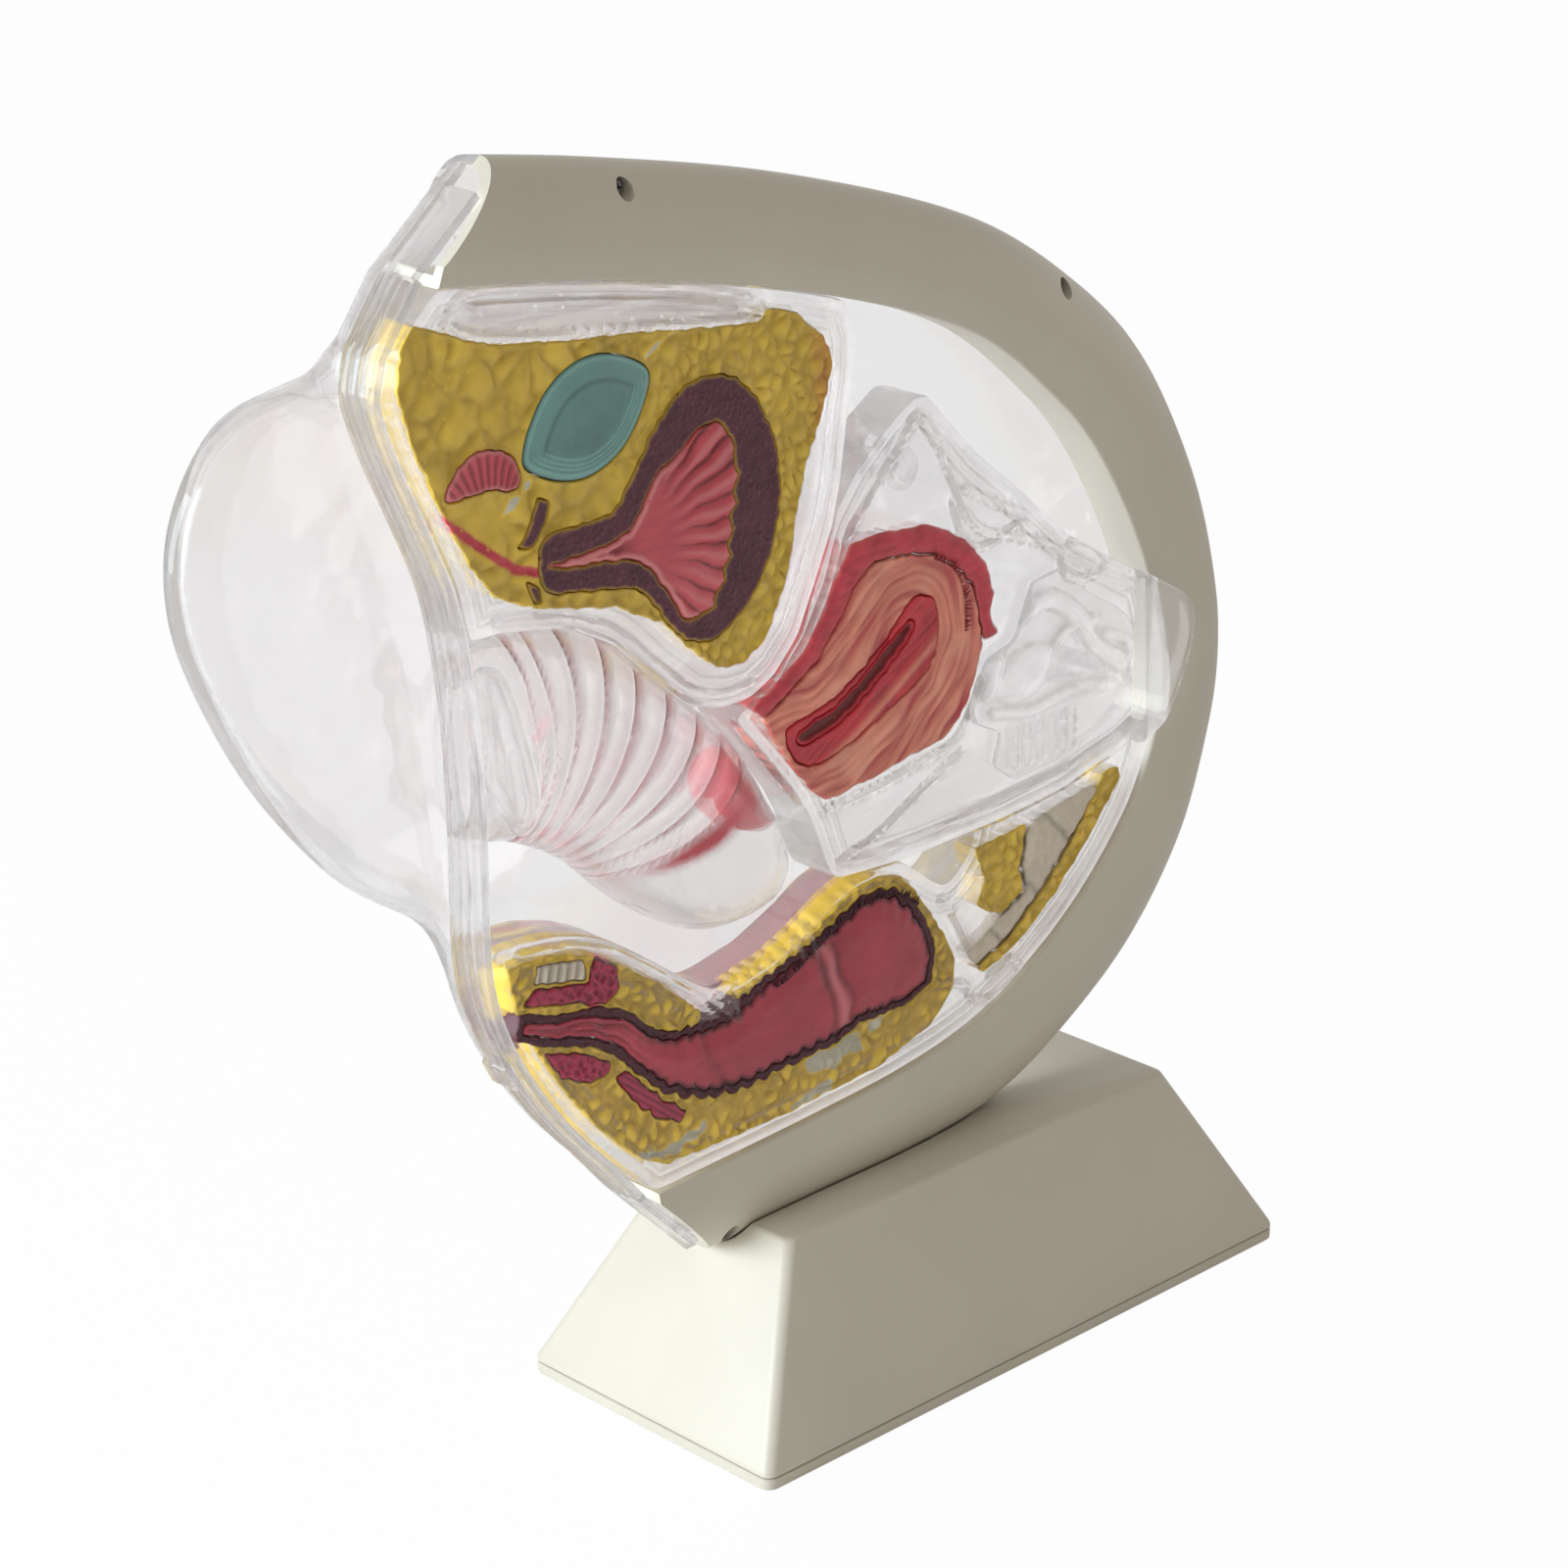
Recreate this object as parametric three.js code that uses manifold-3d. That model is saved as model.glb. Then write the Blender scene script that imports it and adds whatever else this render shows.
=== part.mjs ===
// Teaching model of the female pelvis with its uterus, cut down the middle and held in a C-shaped frame.
// Millimetres. +X runs along the stand, -Y faces the viewer, +Z is up.
// The origin is on the floor, under the middle of the stand.
import * as THREE from "three";
import { mergeVertices } from "three/addons/utils/BufferGeometryUtils.js";
import Module from "manifold-3d";

const wasm = await Module();
wasm.setup();

// Clearance left between two neighbouring pieces
const CLEARANCE = 0.3;

// Stand: a hollow wedge on a flat plate
const STAND_LENGTH = 190;
const STAND_WIDTH = 85;
const STAND_TOP_LENGTH = 139;
const STAND_TOP_WIDTH = 47;
const STAND_HEIGHT = 51.2;
const STAND_LIP = 4.5;
const STAND_CORNER = 3;
const STAND_EDGE = 0.8;
const STAND_WALL = 3;
const STAND_ROOF = 8;
const PLATE_THICKNESS = 3;
const PLATE_SCREW_INSET = 14;

// Frame: the front half of a C-shaped channel, and how deep its foot sinks into the stand
const FRAME_DEPTH = 13.5;
const FRAME_NOSE = 20;
const FRAME_WALL = 2.5;
const FRAME_FLAT_FALL = 0.9;
const SEAT_LEVEL = 51.2;
// Share of the rim from which the stand's seat is cut
const SEAT_SHARE = 0.7;
// How far a boss stays short of the frame's outer face
const BOSS_SHY = 0.5;

// Clear rear shell with its dome, and the clear strip that stands on it down the perineum
const SHELL_WALL = 2;
const SHELL_DEPTH = 24;
const STRIP_WALL = 2.2;
const STRIP_FRONT = -12;
const SHELL_EASE = 0.4;
// Shell past the frame's nose: distance in from the rim, and share of the rise to the full depth
const SHELL_RISE = [[30, 0.23], [45, 0.53], [65, 0.82]];
// Reach over which the rim turns into the dome
const DOME_BLEND = 20;
const TAB_FRONT = -9.5;
const TAB_SHARE = 0.7;

// Clear trays and the painted inlays that lie in them
const TRAY_FRONT = -12.2;
const TRAY_BACK = 2;
const TRAY_FLOOR = 6;
const INLAY_RECESS = 0.5;

// Uterus tray: its two locating pegs and its grip lip over the frame
const PEG_DIAMETER = 6;
const PEG_LENGTH = 14;
const SOCKET_WALL = 1.9;
const LIP_THICKNESS = 2.4;
const LIP_START = 66;

// Vaginal canal
const CANAL_WALL = 1.6;
const CANAL_MOUTH_CUT = 4;
const RUGA_COUNT = 10;
const RUGA_HEIGHT = 0.9;

// Screws: shank, head and the bosses that take them
const SHANK = 2.6;
const SCREW_BORE = SHANK + 2 * CLEARANCE;
const FRAME_SCREW_HEAD = 4.4;
const FRAME_SCREW_DEPTH = 5;
const FRAME_SCREW_LENGTH = 11;
const FRAME_SCREW_INSET = 5.5;
const PAN_HEAD = 5.4;
const HEAD_HEIGHT = 1.5;
const BOSS = 9;
const SMALL_BOSS = 8;
const TRAY_SCREW_SEAT = 9;
const TRAY_SCREW_BITE = 4.4;
const PLATE_SCREW_LENGTH = 13;
const CRADLE_SCREW_BITE = 10;
const CRADLE_SCREW_BACK = 7;

// Turns the pieces are drawn with
const ROUND = 10;
const SCREW_ROUND = 8;
const CANAL_ROUND = 16;
const FRAME_STATIONS = 34;
// How far a cutting body runs past what it cuts
const REACH = 150;

// Rim of the frame from its upper end to its lower one: x, z and width of the channel there
const RIM = [
  [-156, 326, 26],
  [-108, 318.3, 25],
  [-48, 305.4, 25],
  [12, 286.2, 26.5],
  [50, 264, 30],
  [75, 241, 32],
  [95, 208, 32],
  [105.5, 177, 31.5],
  [107.8, 154, 31],
  [104.3, 133, 31],
  [94, 106, 33],
  [74, 81, 34.5],
  [48, 63, 33.5],
  [22, 51.6, 32.5],
  [-10, 47.2, 29.5],
  [-50, 46, 27.3],
  [-100, 43.6, 27.5],
];
// The two end faces of the frame, each as two points on the cutting line
const UPPER_END = [[-163.8, 301.3], [-137.8, 323.1]];
const LOWER_END = [[-78, 45], [-105, 72.3]];

// Outer line of the perineum from the lower end to the upper: x, z and how far the dome stands out there
const PERINEUM = [
  [-117, 82.5, 0],
  [-128, 94.5, 0],
  [-138, 108, 0],
  [-146, 122, 0],
  [-151, 136, 0],
  [-152.5, 150, 8],
  [-152.5, 168, 25],
  [-152.8, 188, 41],
  [-154.5, 208, 51],
  [-158.5, 230, 56],
  [-165.5, 247, 50],
  [-171.5, 260, 40],
  [-176, 271, 27],
  [-178, 279.5, 12],
  [-176, 288.5, 2],
];
const SHELL_CENTRE = [-40, 190];

// Opening of the vagina in the strip
const INTROITUS = { z: 193, height: 34, width: 7.4, y: -5.4, cut: 30 };

// Vaginal canal along its axis: x, z, radius in the plane of the cut and radius across it
const CANAL = [
  [-148.5, 194, 22, 8.5],
  [-138, 193, 24.5, 10.2],
  [-125, 190, 25.3, 11],
  [-106, 177.5, 23.7, 11.5],
  [-88, 161, 23.4, 11.5],
  [-72, 147, 20, 11],
  [-60, 139.5, 14, 8.5],
  [-52.5, 135.2, 7.5, 5],
];
const CANAL_TIP = [-49.3, 133.2];
const RUGA_START = 0.3;
const RUGA_END = 0.74;
const CERVIX = { x: -64, z: 161, long: 15, wide: 10, across: 8, tilt: 35 };

// Outlines of the clear trays, drawn past the frame and the strip, which trim them
const UPPER_TRAY = [
  [-200, 320], [-100, 305], [-46, 290], [-39, 277], [-35.8, 268], [-36, 258], [-38, 247],
  [-40, 233], [-42.5, 223], [-48, 211], [-54, 198.5], [-62, 190.5], [-70, 187], [-79, 187],
  [-89, 190], [-100, 199], [-112, 210.5], [-125, 217.5], [-145, 221], [-190, 221],
];
const LOWER_TRAY = [
  [-190, 147.5], [-148, 147.5], [-133, 146.5], [-122, 143.2], [-114, 139.5], [-106, 134],
  [-97, 127.5], [-88, 121], [-82, 117.5], [-76, 118], [-63, 120.5], [-56, 123.5], [-50, 126],
  [-42, 130.5], [-34, 133], [-26, 133.6], [-18.5, 132], [-12, 127.5], [-7, 123.5], [-3, 121.2],
  [1, 123], [6, 128], [10, 140], [90, 160], [130, 150], [90, 30], [-190, 30],
];
const UTERUS_TRAY = [
  [-15.6, 249], [-10, 248], [6.7, 231], [23, 218], [40, 203], [56.7, 193], [71, 185],
  [80, 180], [84.2, 175], [85.3, 169], [83.5, 162], [80, 154], [74.4, 145.6], [62, 140],
  [40, 135], [17.8, 133], [-15.6, 132], [-40, 133.5], [-43.5, 136], [-45.6, 141],
  [-49, 150], [-53, 157], [-60, 166], [-68, 175.5], [-75, 183.5], [-66, 188], [-55, 200],
  [-48, 212], [-43, 225], [-35, 235], [-25, 243],
];

// Painted inlays of the upper tray
const UPPER_FAT = [
  [-166.5, 293.5], [-160, 291], [-153, 287.7], [-144, 285.3], [-133, 283.6], [-111, 281],
  [-67, 276], [-63, 278.5], [-55.6, 276.5], [-46, 269], [-43, 263], [-45, 256], [-48, 248],
  [-52, 240], [-55, 228], [-58, 214], [-64.5, 201.5], [-71, 197], [-77, 196.6], [-83, 199.5],
  [-90, 205.6], [-97, 212.5], [-111, 219.5], [-133, 224], [-146, 229.5], [-153.5, 239],
  [-160.5, 252], [-167, 266], [-171.5, 280], [-170.5, 288],
];
const PUBIC_SYMPHYSIS = {
  centre: [-119, 264.5], length: 39, height: 26, tilt: 20,
};
const CLITORIS = [
  [-159.5, 254], [-157, 259], [-151.5, 262.5], [-144, 262], [-138.6, 257], [-139.5, 252.6],
  [-146, 254.2], [-153, 254],
];
const BLADDER = [
  [-133, 238.6], [-126, 240.6], [-112, 240.8], [-107.5, 246], [-103, 252], [-98, 259],
  [-90.6, 265], [-83, 266.8], [-74, 264.5], [-66, 256], [-61, 244], [-60.6, 233], [-63, 223],
  [-68.5, 213.5], [-76, 207], [-83, 204.8], [-90, 207], [-96, 212.5], [-100.5, 219],
  [-106, 222.6], [-122, 225.6], [-132, 228],
];
const BLADDER_LINING = [
  [-131, 233.2], [-118, 233.6], [-106.7, 236], [-103, 241], [-98, 247.5], [-91, 251],
  [-86.5, 255], [-79.4, 255.2], [-75.6, 250], [-74, 243], [-75.6, 233], [-76.9, 224],
  [-80, 215], [-86, 211], [-91, 212.4], [-94, 217.6], [-98.6, 223.4], [-103.6, 228.4],
  [-112, 230.6], [-122, 231.4],
];
const URETHRAL_SPHINCTERS = [
  [[-139.5, 239.4], [-136.3, 242.4], [-133.4, 249], [-130.8, 248.4], [-131.8, 243.4], [-136, 238.6]],
  [[-137.4, 230.8], [-134.6, 229.6], [-133, 225.8], [-135.4, 226]],
];

// Painted inlays of the lower tray
const PERINEAL_FAT = [
  [-146, 142], [-133, 141.8], [-123, 138.8], [-115.6, 135.5], [-109, 131], [-100, 124.6],
  [-92, 117.8], [-86.7, 113], [-88, 108], [-97, 109], [-104, 112.6], [-111, 119], [-120, 122.6],
  [-132, 124.4], [-142.5, 128],
];
const LOWER_FAT = [
  [-75.6, 113.6], [-63, 116.4], [-56.7, 118.8],
  [-50, 122], [-42, 126.6], [-34, 129.6], [-26.7, 130.2], [-19.5, 128.4], [-14, 123.5],
  [-8, 115], [-3, 108], [1, 100], [0, 92], [-8, 85], [-26, 79.6], [-60, 77.4], [-98, 77.6],
  [-107.5, 82.5], [-119.5, 94.5], [-130, 107.5], [-139.4, 122.6], [-121, 118], [-106, 106.5],
  [-97, 98], [-84, 92.6], [-60, 94], [-60, 112],
];
const RECTUM_LINING = [
  [-141, 127.2], [-132, 124.4], [-120, 122.6], [-111, 119], [-104, 112.6], [-97, 109],
  [-84, 107.6], [-75, 108.6], [-65.6, 113], [-57, 115.5], [-46, 118.8], [-39, 122],
  [-31, 125], [-23, 124], [-16.7, 119.5], [-11.5, 112.4], [-8.5, 105], [-10, 98],
  [-18, 95.4], [-33, 96], [-42, 93.2], [-60, 92.2], [-72, 91.2], [-84, 92.6], [-97, 98],
  [-106, 106.5], [-113, 113.6], [-121, 118], [-133, 121.6], [-141.4, 125],
];
const RECTUM_WALL_THICKNESS = 2.2;
const ANAL_SPHINCTERS = [
  [[-141, 131.6], [-124, 127.6], [-116.5, 124.6], [-112.6, 127.4], [-113.6, 133.6], [-119.8, 136.8],
    [-121.4, 131.4], [-138, 134.4]],
  [[-135, 117.8], [-124, 114.6], [-115.5, 109.6], [-116, 107.6], [-122, 106.8], [-130.5, 111]],
];
const PERINEAL_BODY = [[-137, 140.2], [-123.2, 137.6], [-122.6, 132.8], [-137.2, 136]];
const LEVATOR_STRIP = [
  [-110.6, 106], [-105, 100], [-98.6, 94], [-92, 89.8], [-93.6, 87.6], [-101, 91], [-108, 97.6],
  [-113.4, 105],
];
const SACRAL_FAT = [
  [[8, 128], [26.6, 129.3], [24, 119], [26, 111.6], [17, 107.6], [9, 112.5], [11.6, 119]],
  [[55.5, 135], [61, 136.4], [62.5, 132.8], [52, 120.6], [38, 107.2], [24, 97.8], [12, 93.4],
    [9.6, 95.4], [21, 100], [34, 109.8], [45, 120.8]],
];
const SACRUM = [
  [28.4, 129.6], [48.6, 133.4], [53.4, 132], [43.6, 121.8], [32.8, 111], [20.2, 101.2],
  [8.6, 96.6], [5, 100.4], [17, 106], [27.6, 110.8], [25.8, 119],
];

// Painted inlays of the uterus tray
const UTERUS_OUTER_LAYER = [
  [-69.5, 184.4], [-60, 189.6], [-53, 193.4], [-46.7, 201.4], [-41.6, 210], [-37.2, 216.6],
  [-30, 218], [-20, 217.2], [-11, 216.2], [-3.3, 213], [3.8, 208.4], [10, 201.6], [12.8, 194.4],
  [11.4, 189], [14.2, 183.4], [9.6, 182.4], [8, 190], [6, 197.4], [0, 203.6], [-8, 208.8],
  [-18, 211.2], [-29, 211.6], [-35, 208], [-41, 199.6], [-48, 191.6], [-56, 186.6], [-65.5, 181.6],
];
const UTERUS_MUSCLE = [
  [-65.5, 180.6], [-56, 185.8], [-48, 190.8], [-41, 198.8], [-35, 207.2], [-29, 210.8],
  [-18, 210.4], [-8, 208], [-0.4, 202.8], [5.4, 196.8], [7.2, 190], [8.8, 181.6], [6.7, 175],
  [4.4, 168.4], [0, 163.4], [-4.6, 160.4], [-15.6, 159.4], [-26.7, 157.2], [-37.8, 156],
  [-44.4, 155.4], [-48.4, 158], [-55, 165.8], [-61.5, 174],
];
const UTERUS_LINING = [
  [-58.4, 176.4], [-48, 178.4], [-40, 181.4], [-25, 190.6], [-15, 199.4], [-9, 197.6],
  [-7, 189], [-10, 180.6], [-20, 175], [-35, 168.8], [-48, 165.4], [-55.2, 168.2],
];
const UTERINE_CAVITY = [
  [-54, 171.6], [-40, 174.4], [-26, 183], [-15.4, 191.6], [-16.8, 194], [-28, 187], [-41, 178.4],
  [-54.6, 174.8],
];
const OVARY_BED = [
  [14, 175.5], [24, 178], [30, 192], [40, 193], [52, 184], [62, 178.5], [70, 171], [73, 162],
  [68, 153], [56, 147], [44, 143], [24, 141.5], [17, 147], [19.5, 155], [10, 159.5], [8.6, 167],
];
const OVARY_BED_THICKNESS = 2.4;
const OVARY = { x: 26, z: 169, long: 13, wide: 8.5, high: 4, tilt: 12 };
const TUBE_PATH = [[14.5, 167], [20, 180], [34, 186.6], [46, 180], [54, 170], [64, 163]];
const TUBE_RADIUS = 2.2;
const FIMBRIA_COUNT = 5;
const FIMBRIA_PITCH = 4.6;
const FIMBRIA = { x: 24, z: 143.6, height: 11, width: 1.9 };

// Where the trays are screwed and pegged to the rear shell, and where the frame screws sit along the rim
const UPPER_TRAY_SCREWS = [[-148, 276], [-60, 262]];
const LOWER_TRAY_SCREWS = [[-103, 113], [-28, 104], [40, 120]];
const UTERUS_PEGS = [[-12, 229], [58, 160]];
const FRAME_SCREWS = [0.045, 0.222, 0.993];
const CRADLE_SCREWS = [-48, -8];
const CLIP = { row: 3, length: 9, width: 8, thickness: 2.6, ease: 1 };

// Clear fold of the labium in front of the canal's mouth
const LABIUM = [
  [-154, 214], [-146, 213.5], [-141, 205], [-137, 192], [-134.6, 180], [-137, 173.5], [-142, 173],
  [-147, 182], [-154, 194],
];
const LABIUM_THICKNESS = 1.6;

const FRAME_PLASTIC = { color: 0xe6e2d6, roughness: 0.45 };
const CLEAR_PLASTIC = { color: 0xe8ecee, roughness: 0.06, transparent: true, opacity: 0.35 };
const STEEL = { color: 0x77777a, roughness: 0.35, metalness: 0.9 };
const FAT_PAINT = { color: 0xb4a238, roughness: 0.4 };
const BONE_PAINT = { color: 0xa5988a, roughness: 0.55 };
const CARTILAGE_PAINT = { color: 0x5f8080, roughness: 0.4 };
const MUSCLE_PAINT = { color: 0x8c2440, roughness: 0.5 };
const WALL_PAINT = { color: 0x57333e, roughness: 0.6 };
const LINING_PAINT = { color: 0xa84a50, roughness: 0.45 };
const FLESH_PAINT = { color: 0xbe7062, roughness: 0.45 };

// A closed three.js geometry as a solid that can be cut and joined
function solid(geometry) {
  const bare = geometry.clone();
  bare.deleteAttribute("normal");
  bare.deleteAttribute("uv");
  const merged = mergeVertices(bare, 1e-4);
  const vertProperties = new Float32Array(merged.attributes.position.array);
  const triVerts = new Uint32Array(merged.index.array);
  return new wasm.Manifold(new wasm.Mesh({ numProp: 3, vertProperties, triVerts }));
}

// The largest body of a solid, so a cut that frees a thin sliver drops it
function mainBody(shape) {
  const bodies = shape.decompose();
  return bodies.reduce((best, body) => (body.volume() > best.volume() ? body : best));
}

function piece(name, shape, look) {
  const { vertProperties, triVerts } = mainBody(shape).getMesh();
  const geometry = new THREE.BufferGeometry();
  geometry.setAttribute("position", new THREE.BufferAttribute(new Float32Array(vertProperties), 3));
  geometry.setIndex(new THREE.BufferAttribute(new Uint32Array(triVerts), 1));
  geometry.computeVertexNormals();
  const mesh = new THREE.Mesh(geometry, new THREE.MeshStandardMaterial(look));
  mesh.name = name;
  return mesh;
}

// Catmull-Rom value between the rows of a list, for any number of columns; u runs from 0 to 1
function along(rows, u) {
  const spans = rows.length - 1;
  const place = Math.min(Math.max(u, 0), 1) * spans;
  const k = Math.min(Math.floor(place), spans - 1);
  const t = place - k;
  const row = (i) => rows[Math.min(Math.max(i, 0), spans)];
  return rows[0].map((_, c) => {
    const [a, b, d, e] = [row(k - 1)[c], row(k)[c], row(k + 1)[c], row(k + 2)[c]];
    const bend = (2 * a - 5 * b + 4 * d - e) * t * t + (3 * b - a - 3 * d + e) * t * t * t;
    return 0.5 * (2 * b + (d - a) * t + bend);
  });
}

// A smooth closed outline through the given points
function smooth(points, steps = 2) {
  const curve = new THREE.CatmullRomCurve3(points.map(([x, z]) => new THREE.Vector3(x, z, 0)), true);
  const count = points.length * steps;
  return Array.from({ length: count }, (_, i) => curve.getPoint(i / count)).map((p) => [p.x, p.y]);
}

function area(points) {
  return THREE.ShapeUtils.area(points.map(([x, z]) => new THREE.Vector2(x, z)));
}

// The outline moved outwards by a distance, or inwards by a negative one
function grow(points, distance) {
  const side = Math.sign(area(points));
  return points.map(([x, z], i) => {
    const before = points[(i + points.length - 1) % points.length];
    const after = points[(i + 1) % points.length];
    const a = new THREE.Vector2(x - before[0], z - before[1]).normalize();
    const b = new THREE.Vector2(after[0] - x, after[1] - z).normalize();
    const normal = new THREE.Vector2(a.y + b.y, -a.x - b.x).multiplyScalar(side);
    const stretch = distance / Math.max(0.5 * normal.lengthSq(), 0.3);
    return [x + normal.x * stretch, z + normal.y * stretch];
  });
}

// A flat piece with an outline in the plane of the cut, from one depth back to another
function slab(points, front, back) {
  const shape = new THREE.Shape(points.map(([x, z]) => new THREE.Vector2(x, z)));
  const geometry = new THREE.ExtrudeGeometry(shape, { depth: back - front, bevelEnabled: false });
  geometry.rotateX(Math.PI / 2);
  geometry.translate(0, back, 0);
  return solid(geometry);
}

function oval({ centre, length, height, tilt }, steps = 22) {
  const curve = new THREE.EllipseCurve(
    centre[0], centre[1], length / 2, height / 2, 0, 2 * Math.PI, false, (tilt * Math.PI) / 180,
  );
  return curve.getPoints(steps).slice(0, -1).map((p) => [p.x, p.y]);
}

// A round bar along Y, at x and z, from one depth back to another
function barAlongY(diameter, x, z, front, back) {
  const geometry = new THREE.CylinderGeometry(diameter / 2, diameter / 2, back - front, ROUND);
  geometry.translate(x, (front + back) / 2, z);
  return solid(geometry);
}

// A round bar along Z
function barAlongZ(diameter, x, y, low, high) {
  const geometry = new THREE.CylinderGeometry(diameter / 2, diameter / 2, high - low, ROUND);
  geometry.rotateX(Math.PI / 2);
  geometry.translate(x, y, (low + high) / 2);
  return solid(geometry);
}

// A screw of revolution with its head at the start: the axis is Y, the tip points to +Y
function screwGeometry(headDiameter, length) {
  const profile = [
    [0, -HEAD_HEIGHT], [headDiameter * 0.36, -HEAD_HEIGHT], [headDiameter / 2, -HEAD_HEIGHT * 0.6],
    [headDiameter / 2, 0], [SHANK / 2, 0], [SHANK / 2, length - SHANK / 2], [0, length],
  ];
  return new THREE.LatheGeometry(profile.map(([r, y]) => new THREE.Vector2(r, y)), SCREW_ROUND);
}

// A solid through closed rings of points, ended by a flat face or by a tip
function loft(rings, tip) {
  const size = rings[0].length;
  const places = rings.flat();
  const faces = [];
  for (let r = 0; r + 1 < rings.length; r += 1) {
    for (let i = 0; i < size; i += 1) {
      const j = (i + 1) % size;
      const [a, b, c, d] = [r * size + i, r * size + j, (r + 1) * size + j, (r + 1) * size + i];
      faces.push(a, b, c, a, c, d);
    }
  }
  const middle = (ring) =>
    ring.reduce((sum, p) => sum.add(p), new THREE.Vector3()).divideScalar(ring.length);
  places.push(middle(rings[0]));
  const start = places.length - 1;
  places.push(tip ?? middle(rings.at(-1)));
  const end = places.length - 1;
  const last = (rings.length - 1) * size;
  for (let i = 0; i < size; i += 1) {
    const j = (i + 1) % size;
    faces.push(start, j, i, end, last + i, last + j);
  }
  return closed(places, faces);
}

// A solid from points and faces, turned so that its faces point out
function closed(places, faces) {
  const geometry = new THREE.BufferGeometry().setFromPoints(places);
  const volume = faces.reduce((sum, _, i) => {
    if (i % 3) return sum;
    const [a, b, c] = [places[faces[i]], places[faces[i + 1]], places[faces[i + 2]]];
    return sum + a.dot(new THREE.Vector3().crossVectors(b, c));
  }, 0);
  if (volume < 0) faces.reverse();
  geometry.setIndex(faces);
  return solid(geometry);
}

// A rounded rectangle at height z, with three points to each corner
function roundedRectangle(length, width, corner, z) {
  const turns = [[1, 1], [-1, 1], [-1, -1], [1, -1]];
  return turns.flatMap(([sx, sy], quarter) =>
    [0, 45, 90].map((degrees) => {
      const angle = ((degrees + quarter * 90) * Math.PI) / 180;
      const x = sx * (length / 2 - corner) + corner * Math.cos(angle);
      const y = sy * (width / 2 - corner) + corner * Math.sin(angle);
      return new THREE.Vector3(x, y, z);
    }),
  );
}

// Rim of the frame at u: its point, the direction inwards and the channel's width
function rimAt(u) {
  const [x, z, width] = along(RIM, u);
  const [xa, za] = along(RIM, u - 1e-3);
  const [xb, zb] = along(RIM, u + 1e-3);
  const run = Math.hypot(xb - xa, zb - za);
  return { x, z, width, inX: (zb - za) / run, inZ: -(xb - xa) / run };
}

// A point that lies a distance inwards from the rim
function inward(station, distance) {
  return [station.x + station.inX * distance, station.z + station.inZ * distance];
}

// The cutting line of an end face, moved outwards by a distance
function endLine([[xa, za], [xb, zb]], distance) {
  const run = Math.hypot(xb - xa, zb - za);
  const dx = (xb - xa) / run;
  const dz = (zb - za) / run;
  const move = ([x, z]) => [x - dz * distance, z + dx * distance];
  return { from: move([xa, za]), to: move([xb, zb]), dx, dz };
}

// Everything beyond an end face, to be cut away from the frame
function beyondEnd(end, distance) {
  const { from, to, dx, dz } = endLine(end, distance);
  const corners = [
    [from[0] - dx * REACH, from[1] - dz * REACH],
    [to[0] + dx * REACH, to[1] + dz * REACH],
    [to[0] + (dx - dz) * REACH, to[1] + (dz + dx) * REACH],
    [from[0] - (dx + dz) * REACH, from[1] - (dz - dx) * REACH],
  ];
  return slab(corners, -REACH, REACH);
}

// Share of the rim at which it meets an end face, found by halving
function rimCrossing(end, distance, inside, outside) {
  const { from, dx, dz } = endLine(end, distance);
  let [kept, cut] = [inside, outside];
  for (let i = 0; i < 30; i += 1) {
    const u = (kept + cut) / 2;
    const { x, z } = rimAt(u);
    const left = dx * (z - from[1]) - dz * (x - from[0]);
    if (left > 0) cut = u;
    else kept = u;
  }
  return kept;
}

// Section of the channel: distance in from the rim and depth, round the nose and back inside the wall
function channelSection(width) {
  const turns = [0, 1, 2, 3, 4].map((i) => (i * Math.PI) / 8);
  const outer = turns.map((a) => [FRAME_NOSE * (1 - Math.cos(a)), -FRAME_DEPTH * Math.sin(a)]);
  const nose = FRAME_NOSE - FRAME_WALL;
  const deep = FRAME_DEPTH - FRAME_WALL;
  const inner = turns.map((a) => [FRAME_NOSE - nose * Math.cos(a), -deep * Math.sin(a)]).reverse();
  const edge = -FRAME_DEPTH + FRAME_FLAT_FALL;
  return [
    ...outer, [width - FRAME_WALL / 2, edge + FRAME_FLAT_FALL / 3], [width, edge + FRAME_FLAT_FALL],
    [width, 0], [width - FRAME_WALL, 0], [width - FRAME_WALL, edge + FRAME_WALL], ...inner,
  ];
}

// The front half of the frame, as a channel swept along the rim and cut at both ends
function channel() {
  const rings = Array.from({ length: FRAME_STATIONS + 1 }, (_, i) => {
    const station = rimAt(i / FRAME_STATIONS);
    return channelSection(station.width).map(([s, y]) => {
      const [x, z] = inward(station, s);
      return new THREE.Vector3(x, y, z);
    });
  });
  const places = rings.flat();
  const size = rings[0].length;
  const faces = [];
  for (let r = 0; r < FRAME_STATIONS; r += 1) {
    for (let i = 0; i < size; i += 1) {
      const j = (i + 1) % size;
      const [a, b, c, d] = [r * size + i, r * size + j, (r + 1) * size + j, (r + 1) * size + i];
      faces.push(a, b, c, a, c, d);
    }
  }
  const flat = channelSection(RIM[0][2]).map(([s, y]) => new THREE.Vector2(s, y));
  const cap = THREE.ShapeUtils.triangulateShape(flat, []);
  const last = FRAME_STATIONS * size;
  cap.forEach(([a, b, c]) => {
    const alike = THREE.ShapeUtils.area([flat[a], flat[b], flat[c]]) * THREE.ShapeUtils.area(flat) > 0;
    if (alike) faces.push(c, b, a, last + a, last + b, last + c);
    else faces.push(a, b, c, last + c, last + b, last + a);
  });
  return closed(places, faces)
    .subtract(beyondEnd(UPPER_END, 0))
    .subtract(beyondEnd(LOWER_END, 0));
}

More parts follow.
